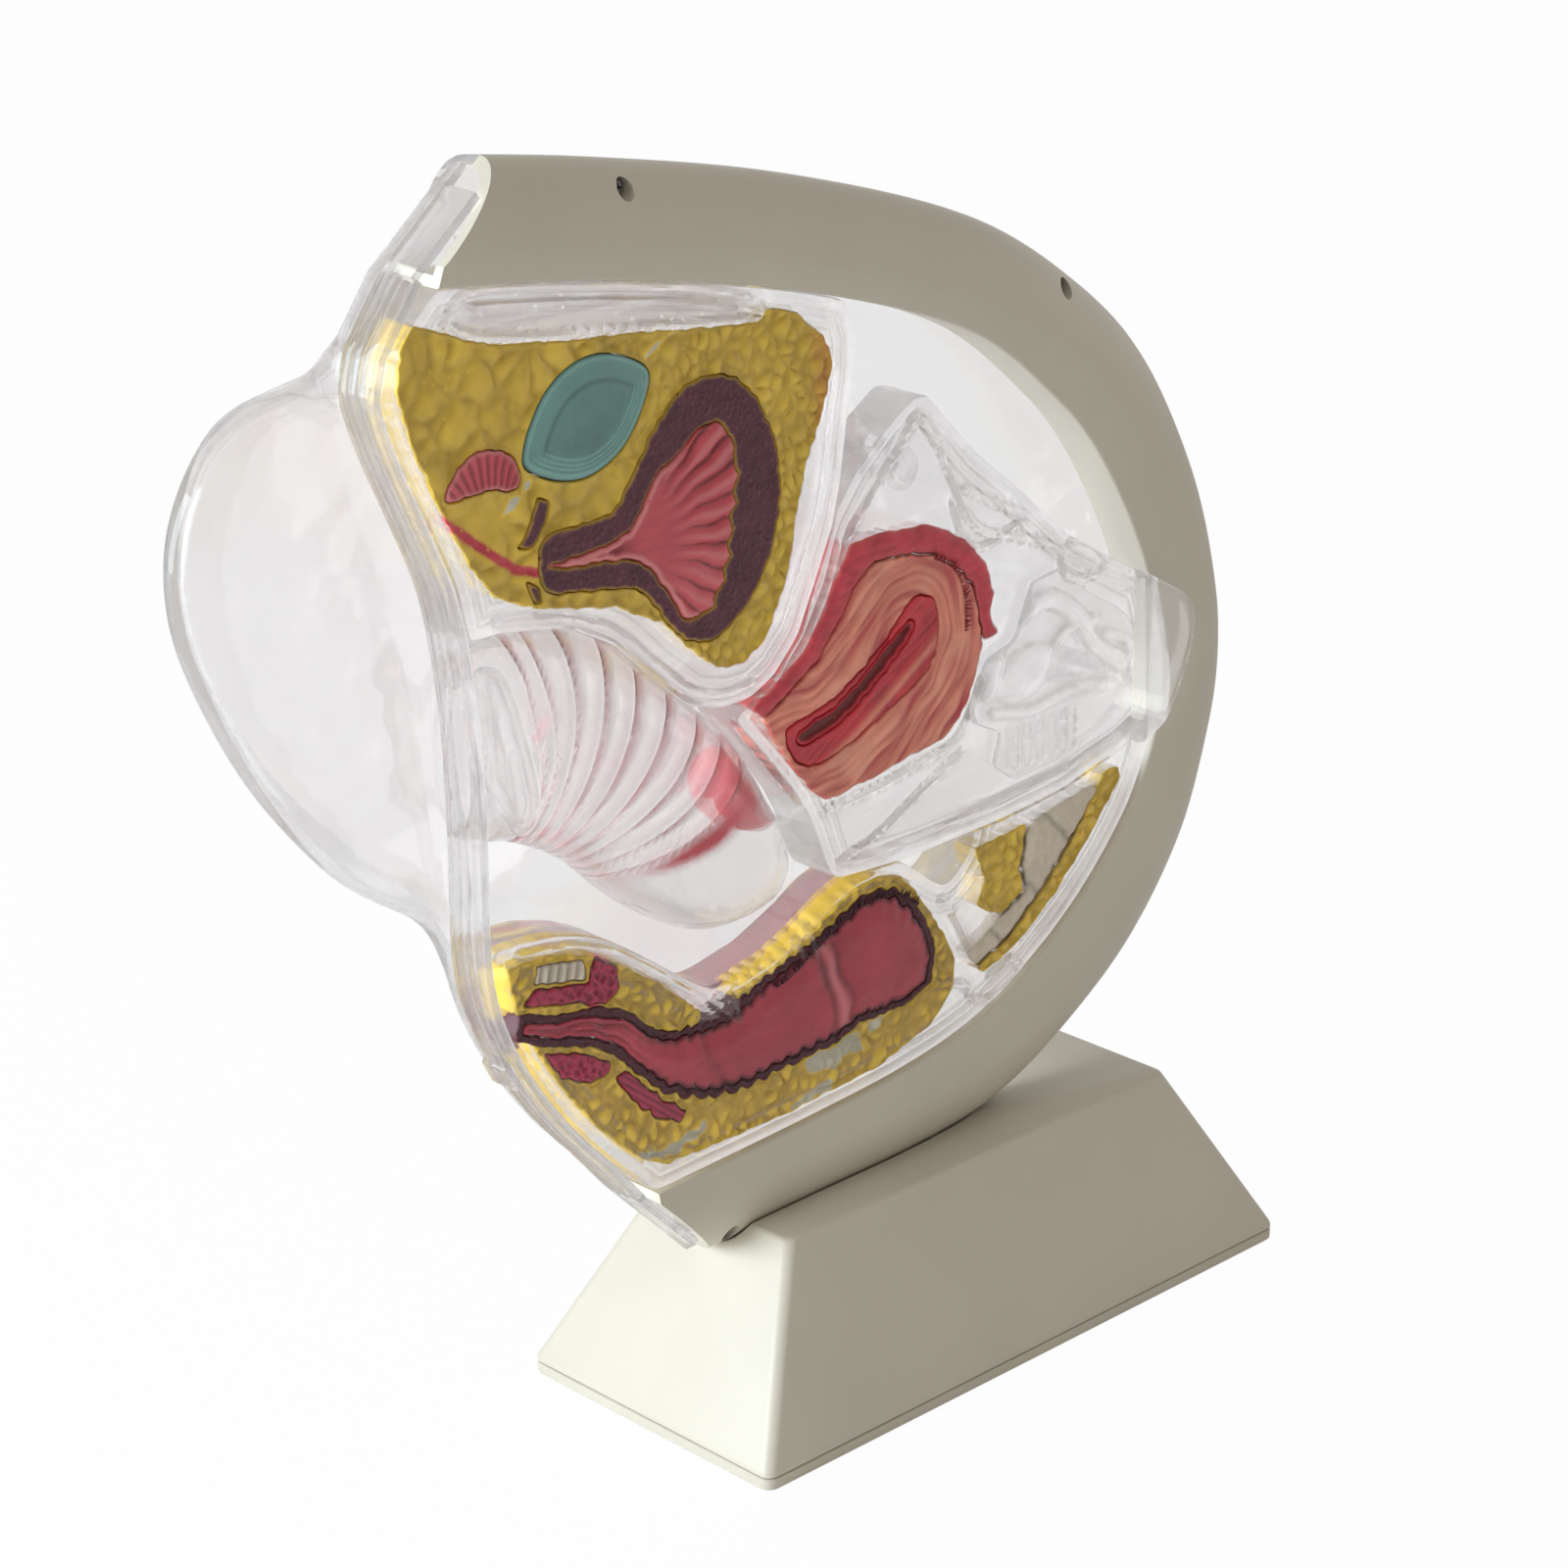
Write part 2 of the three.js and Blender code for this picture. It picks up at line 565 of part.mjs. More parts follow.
// The frame's outer form without its hollow, grown by a distance: what its seat and bosses are cut to
function frameForm(extra, from = 0, to = 1) {
  const turns = Array.from({ length: 13 }, (_, i) => ((i - 6) * Math.PI) / 12);
  const count = Math.round(FRAME_STATIONS * (to - from));
  const rings = Array.from({ length: count + 1 }, (_, i) => {
    const station = rimAt(from + ((to - from) * i) / count);
    const nose = turns.map((a) => [
      FRAME_NOSE - (FRAME_NOSE + extra) * Math.cos(a),
      (FRAME_DEPTH + extra) * Math.sin(a),
    ]);
    return nose.map(([s, y]) => {
      const [x, z] = inward(station, s);
      return new THREE.Vector3(x, y, z);
    });
  });
  return loft(rings);
}

const INTROITUS_X = PERINEUM.find(([, z]) => z >= INTROITUS.z)[0];
const STRIP_GROWTH = CLEARANCE + STRIP_WALL;
const RIM_START = rimCrossing(UPPER_END, STRIP_GROWTH, 0.3, 0);
const RIM_STOP = rimCrossing(LOWER_END, STRIP_GROWTH, 0.8, 1);

// Outer line of the strip: up the lower end face, along the perineum and up the upper end face
function stripLine() {
  const lower = endLine(LOWER_END, STRIP_GROWTH);
  const upper = endLine(UPPER_END, STRIP_GROWTH);
  return [lower.to, ...PERINEUM.map(([x, z]) => [x, z]), upper.from];
}

// Points round the shell's front edge, each with the direction inwards and the dome's reach
function shellEdge() {
  const count = 26;
  const rim = Array.from({ length: count + 1 }, (_, i) => {
    const { x, z, inX, inZ } = rimAt(RIM_START + ((RIM_STOP - RIM_START) * i) / count);
    return { x, z, inX, inZ, reach: 0 };
  });
  const lower = endLine(LOWER_END, STRIP_GROWTH);
  const upper = endLine(UPPER_END, STRIP_GROWTH);
  const between = (line, first, share) => [
    first.x + (line[0] - first.x) * share, first.z + (line[1] - first.z) * share, 0,
  ];
  const left = [
    between(lower.to, rim.at(-1), 0.5), [...lower.to, 0], ...PERINEUM, [...upper.from, 0],
    between(upper.from, rim[0], 0.5),
  ];
  const round = left.map(([x, z, reach], i) => {
    const before = i ? left[i - 1] : [rim.at(-1).x, rim.at(-1).z];
    const after = i + 1 < left.length ? left[i + 1] : [rim[0].x, rim[0].z];
    const run = Math.hypot(after[0] - before[0], after[1] - before[1]);
    return { x, z, inX: (after[1] - before[1]) / run, inZ: -(after[0] - before[0]) / run, reach };
  });
  return [...rim, ...round];
}

// The shell's outer form, or with an inset the space inside its wall
function shellForm(inset) {
  const front = CLEARANCE;
  const middle = SHELL_DEPTH / 2;
  const deep = FRAME_DEPTH - CLEARANCE - inset;
  const edge = shellEdge();
  const levels = [0, 1, 2, 3, 4, 5, 6, 7];
  const rings = levels.map((k) => {
    const turn = (Math.min(k, 4) * Math.PI) / 8;
    const swing = (k * Math.PI) / 7;
    const [pastRim, rise] = k > 4 ? SHELL_RISE[k - 5] : [FRAME_NOSE, 0];
    return edge.map(({ x, z, inX, inZ, reach }) => {
      const dome = Math.min(reach / DOME_BLEND, 1);
      const s = FRAME_NOSE - (FRAME_NOSE - inset) * Math.cos(turn);
      const toCentre = new THREE.Vector2(SHELL_CENTRE[0] - x, SHELL_CENTRE[1] - z).normalize();
      const step = (pastRim - FRAME_NOSE) * (1 - dome);
      const inside = s * (1 - dome) + inset * dome;
      const out = Math.max(reach - inset, 0) * Math.sin(swing);
      const rimDepth = front + deep * Math.sin(turn) + rise * (SHELL_DEPTH - FRAME_DEPTH);
      const domeDepth = middle - (middle - front - inset) * Math.cos(swing);
      return new THREE.Vector3(
        x + inX * inside + toCentre.x * step - out,
        rimDepth * (1 - dome) + domeDepth * dome,
        z + inZ * inside + toCentre.y * step,
      );
    });
  });
  if (inset) rings.unshift(rings[0].map((p) => new THREE.Vector3(p.x, front - 1, p.z)));
  const tip = new THREE.Vector3(SHELL_CENTRE[0], SHELL_DEPTH - inset, SHELL_CENTRE[1]);
  return loft(rings, tip);
}

// Inner line of the frame and the strip, drawn in by a distance: what the trays fit into
function mouthOutline(distance) {
  const count = 34;
  const frame = Array.from({ length: count + 1 }, (_, i) => {
    const station = rimAt(i / count);
    return inward(station, station.width + distance);
  });
  const strip = PERINEUM.map(([x, z], i) => {
    const before = PERINEUM[Math.max(i - 1, 0)];
    const after = PERINEUM[Math.min(i + 1, PERINEUM.length - 1)];
    const run = Math.hypot(after[0] - before[0], after[1] - before[1]);
    const move = STRIP_WALL + SHELL_EASE + distance;
    return [x + ((after[1] - before[1]) / run) * move, z - ((after[0] - before[0]) / run) * move];
  });
  return [...frame, ...strip];
}

// The space inside the frame and the strip, as a slab
function mouth(distance, front, back) {
  return slab(mouthOutline(distance), front, back);
}

// The strip's wall, on the inner side of its outer line, with the opening of the vagina cut in it
function stripWall() {
  const outer = stripLine();
  const inner = outer.map(([x, z], i) => {
    const before = outer[Math.max(i - 1, 0)];
    const after = outer[Math.min(i + 1, outer.length - 1)];
    const run = Math.hypot(after[0] - before[0], after[1] - before[1]);
    return [
      x + ((after[1] - before[1]) / run) * STRIP_WALL,
      z - ((after[0] - before[0]) / run) * STRIP_WALL,
    ];
  });
  const wall = slab([...outer, ...inner.reverse()], STRIP_FRONT, 0);
  const opening = new THREE.CylinderGeometry(0.5, 0.5, INTROITUS.cut, CANAL_ROUND);
  opening.rotateZ(Math.PI / 2);
  opening.scale(1, INTROITUS.width, INTROITUS.height);
  opening.translate(INTROITUS_X, INTROITUS.y, INTROITUS.z);
  return wall.subtract(solid(opening));
}

// A tab of the strip that lies against an end face of the frame
function tab(end, share, flip) {
  const near = endLine(end, CLEARANCE);
  const far = endLine(end, STRIP_GROWTH);
  const [a, b] = flip ? ["to", "from"] : ["from", "to"];
  const part = (line) => [
    line[a][0] + (line[b][0] - line[a][0]) * share,
    line[a][1] + (line[b][1] - line[a][1]) * share,
  ];
  return slab([near[a], part(near), part(far), far[a]], TAB_FRONT, 0);
}

// Vaginal canal: a ring of points at u along its axis, grown by a distance
function canalRing(u, extra) {
  const [x, z, radius, across] = along(CANAL, u);
  const [xa, za] = along(CANAL, u - 1e-3);
  const [xb, zb] = along(CANAL, u + 1e-3);
  const run = Math.hypot(xb - xa, zb - za);
  const side = [-(zb - za) / run, (xb - xa) / run];
  return Array.from({ length: CANAL_ROUND }, (_, i) => {
    const angle = (2 * i * Math.PI) / CANAL_ROUND;
    const reach = (radius + extra) * Math.cos(angle);
    return new THREE.Vector3(
      x + side[0] * reach, (across + extra) * Math.sin(angle), z + side[1] * reach,
    );
  });
}

function canalTip(extra) {
  const from = CANAL.at(-1);
  const run = Math.hypot(CANAL_TIP[0] - from[0], CANAL_TIP[1] - from[1]);
  const share = extra / run;
  return new THREE.Vector3(
    CANAL_TIP[0] + (CANAL_TIP[0] - from[0]) * share, 0, CANAL_TIP[1] + (CANAL_TIP[1] - from[1]) * share,
  );
}

function canalForm(extra) {
  const steps = 22;
  const rings = Array.from({ length: steps + 1 }, (_, i) => canalRing(i / steps, extra));
  return loft(rings, canalTip(extra));
}

// The canal's outer form with its rugae, each a ridge of three rings
function canalWithRugae() {
  const plain = [0, 0.07, 0.14, 0.22].map((u) => canalRing(u, 0));
  const pitch = (RUGA_END - RUGA_START) / RUGA_COUNT;
  const folds = Array.from({ length: RUGA_COUNT }, (_, i) => {
    const u = RUGA_START + i * pitch;
    return [canalRing(u, 0), canalRing(u + pitch * 0.35, RUGA_HEIGHT), canalRing(u + pitch * 0.7, 0)];
  }).flat();
  const end = [0.78, 0.84, 0.9, 0.95, 1].map((u) => canalRing(u, 0));
  return loft([...plain, ...folds, ...end], canalTip(0));
}

function vaginalCanal() {
  const bore = canalForm(-CANAL_WALL);
  const mouthPlug = loft([canalRing(0, -CANAL_WALL), canalRing(0.02, -CANAL_WALL)].map((ring, i) =>
    ring.map((p) => new THREE.Vector3(p.x - (i ? 0 : CANAL_MOUTH_CUT), p.y, p.z))));
  return canalWithRugae()
    .subtract(bore)
    .subtract(mouthPlug)
    .intersect(mouth(CLEARANCE, -FRAME_DEPTH, SHELL_DEPTH));
}

// The cervix stands into the canal's closed end and rests on its wall
function cervix() {
  const form = new THREE.SphereGeometry(1, 18, 12);
  form.scale(CERVIX.long, CERVIX.across, CERVIX.wide);
  form.rotateY((CERVIX.tilt * Math.PI) / 180);
  form.translate(CERVIX.x, 0, CERVIX.z);
  return solid(form).intersect(canalForm(-CANAL_WALL - CLEARANCE));
}

// Inlays cut against each other in turn: an earlier one keeps its outline, and later ones make room
function inlays(list) {
  const front = TRAY_FRONT + INLAY_RECESS;
  const back = TRAY_BACK - TRAY_FLOOR - CLEARANCE;
  return list.map(({ name, outline, look }, i) => {
    const room = list.slice(0, i).map((other) => grow(other.outline, CLEARANCE));
    const shape = room.reduce(
      (rest, hole) => rest.subtract(slab(hole, front - 1, back + 1)),
      slab(outline, front, back),
    );
    return piece(name, shape, look);
  });
}

// Pockets for the inlays in the front of a tray
function pocket(outlines) {
  const floor = TRAY_BACK - TRAY_FLOOR;
  return outlines
    .map((outline) => slab(grow(outline, CLEARANCE), TRAY_FRONT - 1, floor))
    .reduce((all, one) => all.add(one));
}

// Blind holes for the tray screws
function screwHoles(places) {
  const depth = TRAY_BACK - TRAY_SCREW_BITE - CLEARANCE;
  return places
    .map(([x, z]) => barAlongY(SCREW_BORE, x, z, depth, TRAY_BACK + 1))
    .reduce((all, one) => all.add(one));
}

// A post of the rear shell that carries a tray, and the stepped bore for its screw
function trayPost([x, z]) {
  return barAlongY(BOSS, x, z, TRAY_BACK + CLEARANCE, SHELL_DEPTH + SHELL_WALL);
}

function trayPostBore([x, z]) {
  const hole = barAlongY(SCREW_BORE, x, z, TRAY_BACK - 1, TRAY_SCREW_SEAT + 1);
  const head = barAlongY(PAN_HEAD + 2 * CLEARANCE, x, z, TRAY_SCREW_SEAT, SHELL_DEPTH + 2 * SHELL_WALL);
  return hole.add(head);
}

function traySocket([x, z]) {
  const outer = PEG_DIAMETER + 2 * CLEARANCE + 2 * SOCKET_WALL;
  return barAlongY(outer, x, z, TRAY_BACK + CLEARANCE, SHELL_DEPTH + SHELL_WALL);
}

function traySocketBore([x, z]) {
  const bore = PEG_DIAMETER + 2 * CLEARANCE;
  return barAlongY(bore, x, z, TRAY_BACK - 1, TRAY_BACK + PEG_LENGTH + CLEARANCE);
}

// Where the frame screws go: a little in from the rim
const FRAME_SCREW_PLACES = FRAME_SCREWS.map((u) =>
  inward(rimAt(RIM_START + (RIM_STOP - RIM_START) * u), FRAME_SCREW_INSET));
const CRADLE_TOP = SEAT_LEVEL + CRADLE_SCREW_BITE;

function frontFrame() {
  const form = frameForm(-BOSS_SHY);
  const bosses = FRAME_SCREW_PLACES.map(([x, z]) => barAlongY(SMALL_BOSS, x, z, -FRAME_DEPTH, 0));
  const bores = FRAME_SCREW_PLACES.map(([x, z]) => {
    const head = barAlongY(FRAME_SCREW_HEAD + 2 * CLEARANCE, x, z, -FRAME_DEPTH - 1, -FRAME_SCREW_DEPTH);
    return head.add(barAlongY(SCREW_BORE, x, z, -FRAME_DEPTH, 1));
  });
  const filled = bosses.reduce((all, boss) => all.add(boss.intersect(form)), channel());
  const ends = beyondEnd(UPPER_END, 0).add(beyondEnd(LOWER_END, 0));
  return bores.reduce((rest, bore) => rest.subtract(bore), filled.subtract(ends));
}

function rearBodyShell() {
  const form = shellForm(0);
  const traySpots = [...UPPER_TRAY_SCREWS, ...LOWER_TRAY_SCREWS];
  const frameBosses = FRAME_SCREW_PLACES.map(([x, z]) =>
    barAlongY(SMALL_BOSS, x, z, CLEARANCE, FRAME_SCREW_LENGTH));
  const cradleBosses = CRADLE_SCREWS.map((x) =>
    barAlongZ(SMALL_BOSS, x, CRADLE_SCREW_BACK, SEAT_LEVEL - SMALL_BOSS, CRADLE_TOP + SHELL_WALL));
  const posts = [...traySpots.map(trayPost), ...UTERUS_PEGS.map(traySocket)];
  const added = [...frameBosses, ...cradleBosses, ...posts].map((post) => post.intersect(form));
  const joined = added.reduce(
    (all, post) => all.add(post),
    form.subtract(shellForm(SHELL_WALL)),
  );
  const pilot = FRAME_SCREW_LENGTH - FRAME_SCREW_DEPTH - CLEARANCE;
  const bores = [
    ...traySpots.map(trayPostBore),
    ...UTERUS_PEGS.map(traySocketBore),
    ...FRAME_SCREW_PLACES.map(([x, z]) => barAlongY(SCREW_BORE, x, z, -1, pilot + 1)),
    ...CRADLE_SCREWS.map((x) =>
      barAlongZ(SCREW_BORE, x, CRADLE_SCREW_BACK, SEAT_LEVEL - BOSS, CRADLE_TOP)),
  ];
  return bores.reduce((rest, bore) => rest.subtract(bore), joined);
}

// The clear strip that closes the frame's open side, with a tab against each end face of the frame
function perineumStrip() {
  return stripWall().add(tab(UPPER_END, TAB_SHARE, false)).add(tab(LOWER_END, TAB_SHARE, true));
}

// The stand's housing: a hollow wedge with a seat for the frame cut in its roof
const STAND_BOTTOM = PLATE_THICKNESS + CLEARANCE;
const LIFT = STAND_HEIGHT - SEAT_LEVEL;
const PLATE_SCREWS = [[1, 1], [-1, 1], [-1, -1], [1, -1]].map(([sx, sy]) => [
  sx * (STAND_LENGTH / 2 - PLATE_SCREW_INSET), sy * (STAND_WIDTH / 2 - PLATE_SCREW_INSET),
]);

function standForm(inset, bottom, top) {
  const size = (z) => {
    const share = Math.max(z - STAND_LIP, 0) / (STAND_HEIGHT - STAND_LIP);
    return [
      STAND_LENGTH + (STAND_TOP_LENGTH - STAND_LENGTH) * share - 2 * inset,
      STAND_WIDTH + (STAND_TOP_WIDTH - STAND_WIDTH) * share - 2 * inset,
    ];
  };
  const ring = (z, edge) => {
    const [length, width] = size(z);
    return roundedRectangle(length - 2 * edge, width - 2 * edge, STAND_CORNER - inset / 2, z);
  };
  const middle = Math.max(STAND_LIP, bottom + 1);
  if (inset) return loft([ring(bottom, 0), ring(middle, 0), ring(top, 0)]);
  return loft([ring(bottom, 0), ring(middle, 0), ring(top - STAND_EDGE, 0), ring(top, STAND_EDGE)]);
}

function standHousing() {
  const form = standForm(0, STAND_BOTTOM, STAND_HEIGHT);
  const hollow = standForm(STAND_WALL, STAND_BOTTOM - 1, STAND_HEIGHT - STAND_ROOF);
  const bosses = PLATE_SCREWS.map(([x, y]) =>
    barAlongZ(SMALL_BOSS, x, y, STAND_BOTTOM, STAND_HEIGHT / 2).intersect(form));
  const seat = frameForm(2 * CLEARANCE, SEAT_SHARE, 1).translate([0, 0, LIFT]);
  const bores = [
    ...PLATE_SCREWS.map(([x, y]) => barAlongZ(SCREW_BORE, x, y, 0, PLATE_SCREW_LENGTH + 2)),
    ...CRADLE_SCREWS.map((x) =>
      barAlongZ(SCREW_BORE, x, CRADLE_SCREW_BACK, STAND_HEIGHT / 2, STAND_HEIGHT + 1)),
  ];
  const whole = bosses.reduce((all, boss) => all.add(boss), form.subtract(hollow));
  return bores.reduce((rest, bore) => rest.subtract(bore), whole.subtract(seat));
}

function standPlate() {
  const rings = [0, PLATE_THICKNESS].map((z) =>
    roundedRectangle(STAND_LENGTH, STAND_WIDTH, STAND_CORNER, z));
  const sink = HEAD_HEIGHT + 2 * CLEARANCE;
  return PLATE_SCREWS.reduce(
    (rest, [x, y]) =>
      rest
        .subtract(barAlongZ(SCREW_BORE, x, y, -1, PLATE_THICKNESS + 1))
        .subtract(barAlongZ(PAN_HEAD + 2 * CLEARANCE, x, y, -1, sink)),
    loft(rings),
  );
}

// Raised ovary, uterine tube and fimbriae on a thin clear bed
function ovaryAndTube() {
  const back = TRAY_BACK - TRAY_FLOOR - CLEARANCE;
  const face = back - OVARY_BED_THICKNESS;
  const limit = slab(OVARY_BED, TRAY_FRONT + INLAY_RECESS, back);
  const ovary = new THREE.SphereGeometry(1, 16, 10);
  ovary.scale(OVARY.long, OVARY.high, OVARY.wide);
  ovary.rotateY((-OVARY.tilt * Math.PI) / 180);
  ovary.translate(OVARY.x, face, OVARY.z);
  const path = new THREE.CatmullRomCurve3(TUBE_PATH.map(([x, z]) => new THREE.Vector3(x, face, z)));
  const ring = new THREE.Shape().absarc(0, 0, TUBE_RADIUS, 0, 2 * Math.PI);
  const tube = new THREE.ExtrudeGeometry(ring, { steps: 22, curveSegments: 4, extrudePath: path });
  const fimbriae = Array.from({ length: FIMBRIA_COUNT }, (_, i) => {
    const x = FIMBRIA.x + i * FIMBRIA_PITCH;
    const outline = [
      [x, FIMBRIA.z], [x + FIMBRIA.width, FIMBRIA.z],
      [x + FIMBRIA.width * 0.8, FIMBRIA.z + FIMBRIA.height], [x, FIMBRIA.z + FIMBRIA.height],
    ];
    return slab(outline, face - FIMBRIA.width, back);
  });
  return [solid(ovary), solid(tube), ...fimbriae]
    .reduce((all, one) => all.add(one), slab(OVARY_BED, face, back))
    .intersect(limit);
}

const UPPER_INLAYS = [
  { name: "bladder_lining", outline: smooth(BLADDER_LINING), look: LINING_PAINT },
  { name: "bladder_wall", outline: smooth(BLADDER), look: WALL_PAINT },
  { name: "pubic_symphysis", outline: oval(PUBIC_SYMPHYSIS), look: CARTILAGE_PAINT },
  { name: "clitoris", outline: smooth(CLITORIS), look: FLESH_PAINT },
  { name: "urethral_sphincter_upper", outline: URETHRAL_SPHINCTERS[0], look: WALL_PAINT },
  { name: "urethral_sphincter_lower", outline: URETHRAL_SPHINCTERS[1], look: WALL_PAINT },
  { name: "upper_fat", outline: UPPER_FAT, look: FAT_PAINT },
];
const LOWER_INLAYS = [
  { name: "rectum_lining", outline: RECTUM_LINING, look: LINING_PAINT },
  { name: "rectum_wall", outline: grow(RECTUM_LINING, RECTUM_WALL_THICKNESS), look: WALL_PAINT },
  { name: "anal_sphincter_upper", outline: ANAL_SPHINCTERS[0], look: MUSCLE_PAINT },
  { name: "anal_sphincter_lower", outline: ANAL_SPHINCTERS[1], look: MUSCLE_PAINT },
  { name: "perineal_body", outline: PERINEAL_BODY, look: BONE_PAINT },
  { name: "levator_strip", outline: LEVATOR_STRIP, look: MUSCLE_PAINT },
  { name: "perineal_fat", outline: PERINEAL_FAT, look: FAT_PAINT },
  { name: "lower_fat", outline: LOWER_FAT, look: FAT_PAINT },
  { name: "sacrum", outline: SACRUM, look: BONE_PAINT },
  { name: "sacral_fat_front", outline: SACRAL_FAT[0], look: FAT_PAINT },
  { name: "sacral_fat_rear", outline: SACRAL_FAT[1], look: FAT_PAINT },
];
const UTERUS_INLAYS = [
  { name: "uterine_cavity", outline: smooth(UTERINE_CAVITY), look: MUSCLE_PAINT },
  { name: "uterus_lining", outline: smooth(UTERUS_LINING), look: LINING_PAINT },
  { name: "uterus_outer_layer", outline: UTERUS_OUTER_LAYER, look: MUSCLE_PAINT },
  { name: "uterus_muscle", outline: UTERUS_MUSCLE, look: FLESH_PAINT },
];

const canalRoom = canalForm(RUGA_HEIGHT + 2 * CLEARANCE);
const upperTrayRoom = slab(grow(UPPER_TRAY, CLEARANCE), TRAY_FRONT - 1, TRAY_BACK + 1);
const uterusTrayRoom = slab(grow(UTERUS_TRAY, CLEARANCE), TRAY_FRONT - 1, TRAY_BACK + 1);

function upperTray() {
  return slab(UPPER_TRAY, TRAY_FRONT, TRAY_BACK)
    .intersect(mouth(CLEARANCE, TRAY_FRONT - 1, TRAY_BACK + 1))
    .subtract(canalRoom)
    .subtract(pocket(UPPER_INLAYS.map(({ outline }) => outline)))
    .subtract(screwHoles(UPPER_TRAY_SCREWS));
}

function lowerTray() {
  return slab(LOWER_TRAY, TRAY_FRONT, TRAY_BACK)
    .intersect(mouth(CLEARANCE, TRAY_FRONT - 1, TRAY_BACK + 1))
    .subtract(canalRoom)
    .subtract(uterusTrayRoom)
    .subtract(pocket(LOWER_INLAYS.map(({ outline }) => outline)))
    .subtract(screwHoles(LOWER_TRAY_SCREWS));
}

// The moving tray: free to slide forwards out of the model, with a lip over the frame to pull it by
function uterusTray() {
  const lipFront = -FRAME_DEPTH - CLEARANCE - LIP_THICKNESS;
  const far = 2 * REACH;
  const side = slab([[LIP_START, far], [far, far], [far, 0], [LIP_START, 0]], -REACH, REACH);
  const lip = slab(UTERUS_TRAY, lipFront, -FRAME_DEPTH - CLEARANCE).intersect(side);
  const neck = slab(UTERUS_TRAY, lipFront, TRAY_FRONT + 1)
    .intersect(side)
    .intersect(mouth(CLEARANCE, lipFront - 1, TRAY_BACK));
  const pegs = UTERUS_PEGS.map(([x, z]) =>
    barAlongY(PEG_DIAMETER, x, z, TRAY_BACK - 1, TRAY_BACK + PEG_LENGTH));
  const body = slab(UTERUS_TRAY, TRAY_FRONT, TRAY_BACK)
    .intersect(mouth(CLEARANCE, TRAY_FRONT - 1, TRAY_BACK + 1))
    .subtract(canalRoom)
    .subtract(canalRoom.translate([0, TRAY_BACK + CLEARANCE, 0]))
    .subtract(upperTrayRoom);
  return pegs
    .reduce((all, peg) => all.add(peg), body.add(lip).add(neck))
    .subtract(pocket([...UTERUS_INLAYS.map(({ outline }) => outline), OVARY_BED]));
}

function labialFold() {
  const fold = slab(smooth(LABIUM), STRIP_FRONT, STRIP_FRONT + LABIUM_THICKNESS);
  return fold.intersect(mouth(CLEARANCE, STRIP_FRONT - 1, 0)).subtract(canalRoom);
}

// Small clip that closes the strip low on the perineum
function perineumClip() {
  const [xa, za] = PERINEUM[CLIP.row - 1];
  const [xb, zb] = PERINEUM[CLIP.row];
  const run = Math.hypot(xb - xa, zb - za);
  const [dx, dz] = [(xb - xa) / run, (zb - za) / run];
  const [x, z] = [(xa + xb) / 2, (za + zb) / 2];
  const corner = (a, out) => [x + dx * a - dz * out, z + dz * a + dx * out];
  const near = CLEARANCE;
  const far = CLEARANCE + CLIP.thickness;
  const half = CLIP.length / 2;
  const top = half - CLIP.ease;
  const block = [corner(-half, near), corner(half, near), corner(top, far), corner(-top, far)];
  return slab(block, STRIP_FRONT + 2, STRIP_FRONT + 2 + CLIP.width);
}

const model = new THREE.Group();

const stand = new THREE.Group();
stand.add(piece("stand_housing", standHousing(), FRAME_PLASTIC));
stand.add(piece("stand_plate", standPlate(), FRAME_PLASTIC));
PLATE_SCREWS.forEach(([x, y], i) => {
  const screw = piece(`plate_screw_${i + 1}`, solid(screwGeometry(PAN_HEAD, PLATE_SCREW_LENGTH - 2)), STEEL);
  screw.rotation.x = Math.PI / 2;
  screw.position.set(x, y, HEAD_HEIGHT + CLEARANCE);
  stand.add(screw);
});
model.add(stand);

// Everything that stands on the base: it rises and falls with the stand's height
const body = new THREE.Group();
body.position.z = LIFT;
CRADLE_SCREWS.forEach((x, i) => {
  const below = STAND_HEIGHT - STAND_ROOF - CLEARANCE - LIFT;
  const length = CRADLE_TOP - CLEARANCE - below;
  const screw = piece(`cradle_screw_${i + 1}`, solid(screwGeometry(PAN_HEAD, length)), STEEL);
  screw.rotation.x = Math.PI / 2;
  screw.position.set(x, CRADLE_SCREW_BACK, below);
  body.add(screw);
});
body.add(piece("front_frame", frontFrame(), FRAME_PLASTIC));
body.add(piece("rear_body_shell", rearBodyShell(), CLEAR_PLASTIC));
body.add(piece("perineum_strip", perineumStrip(), CLEAR_PLASTIC));
body.add(piece("perineum_clip", perineumClip(), CLEAR_PLASTIC));
FRAME_SCREW_PLACES.forEach(([x, z], i) => {
  const length = FRAME_SCREW_LENGTH - CLEARANCE;
  const screw = piece(`frame_screw_${i + 1}`, solid(screwGeometry(FRAME_SCREW_HEAD, length)), STEEL);
  screw.position.set(x, -FRAME_SCREW_DEPTH - CLEARANCE, z);
  body.add(screw);
});
[...UPPER_TRAY_SCREWS, ...LOWER_TRAY_SCREWS].forEach(([x, z], i) => {
  const length = TRAY_SCREW_SEAT - TRAY_BACK + TRAY_SCREW_BITE;
  const screw = piece(`tray_screw_${i + 1}`, solid(screwGeometry(PAN_HEAD, length)), STEEL);
  screw.rotation.x = Math.PI;
  screw.position.set(x, TRAY_SCREW_SEAT + CLEARANCE, z);
  body.add(screw);
});
body.add(piece("upper_tissue_tray", upperTray(), CLEAR_PLASTIC));
body.add(piece("lower_tissue_tray", lowerTray(), CLEAR_PLASTIC));
body.add(...inlays(UPPER_INLAYS), ...inlays(LOWER_INLAYS));
body.add(piece("vaginal_canal", vaginalCanal(), CLEAR_PLASTIC));
body.add(piece("cervix", cervix(), FLESH_PAINT));
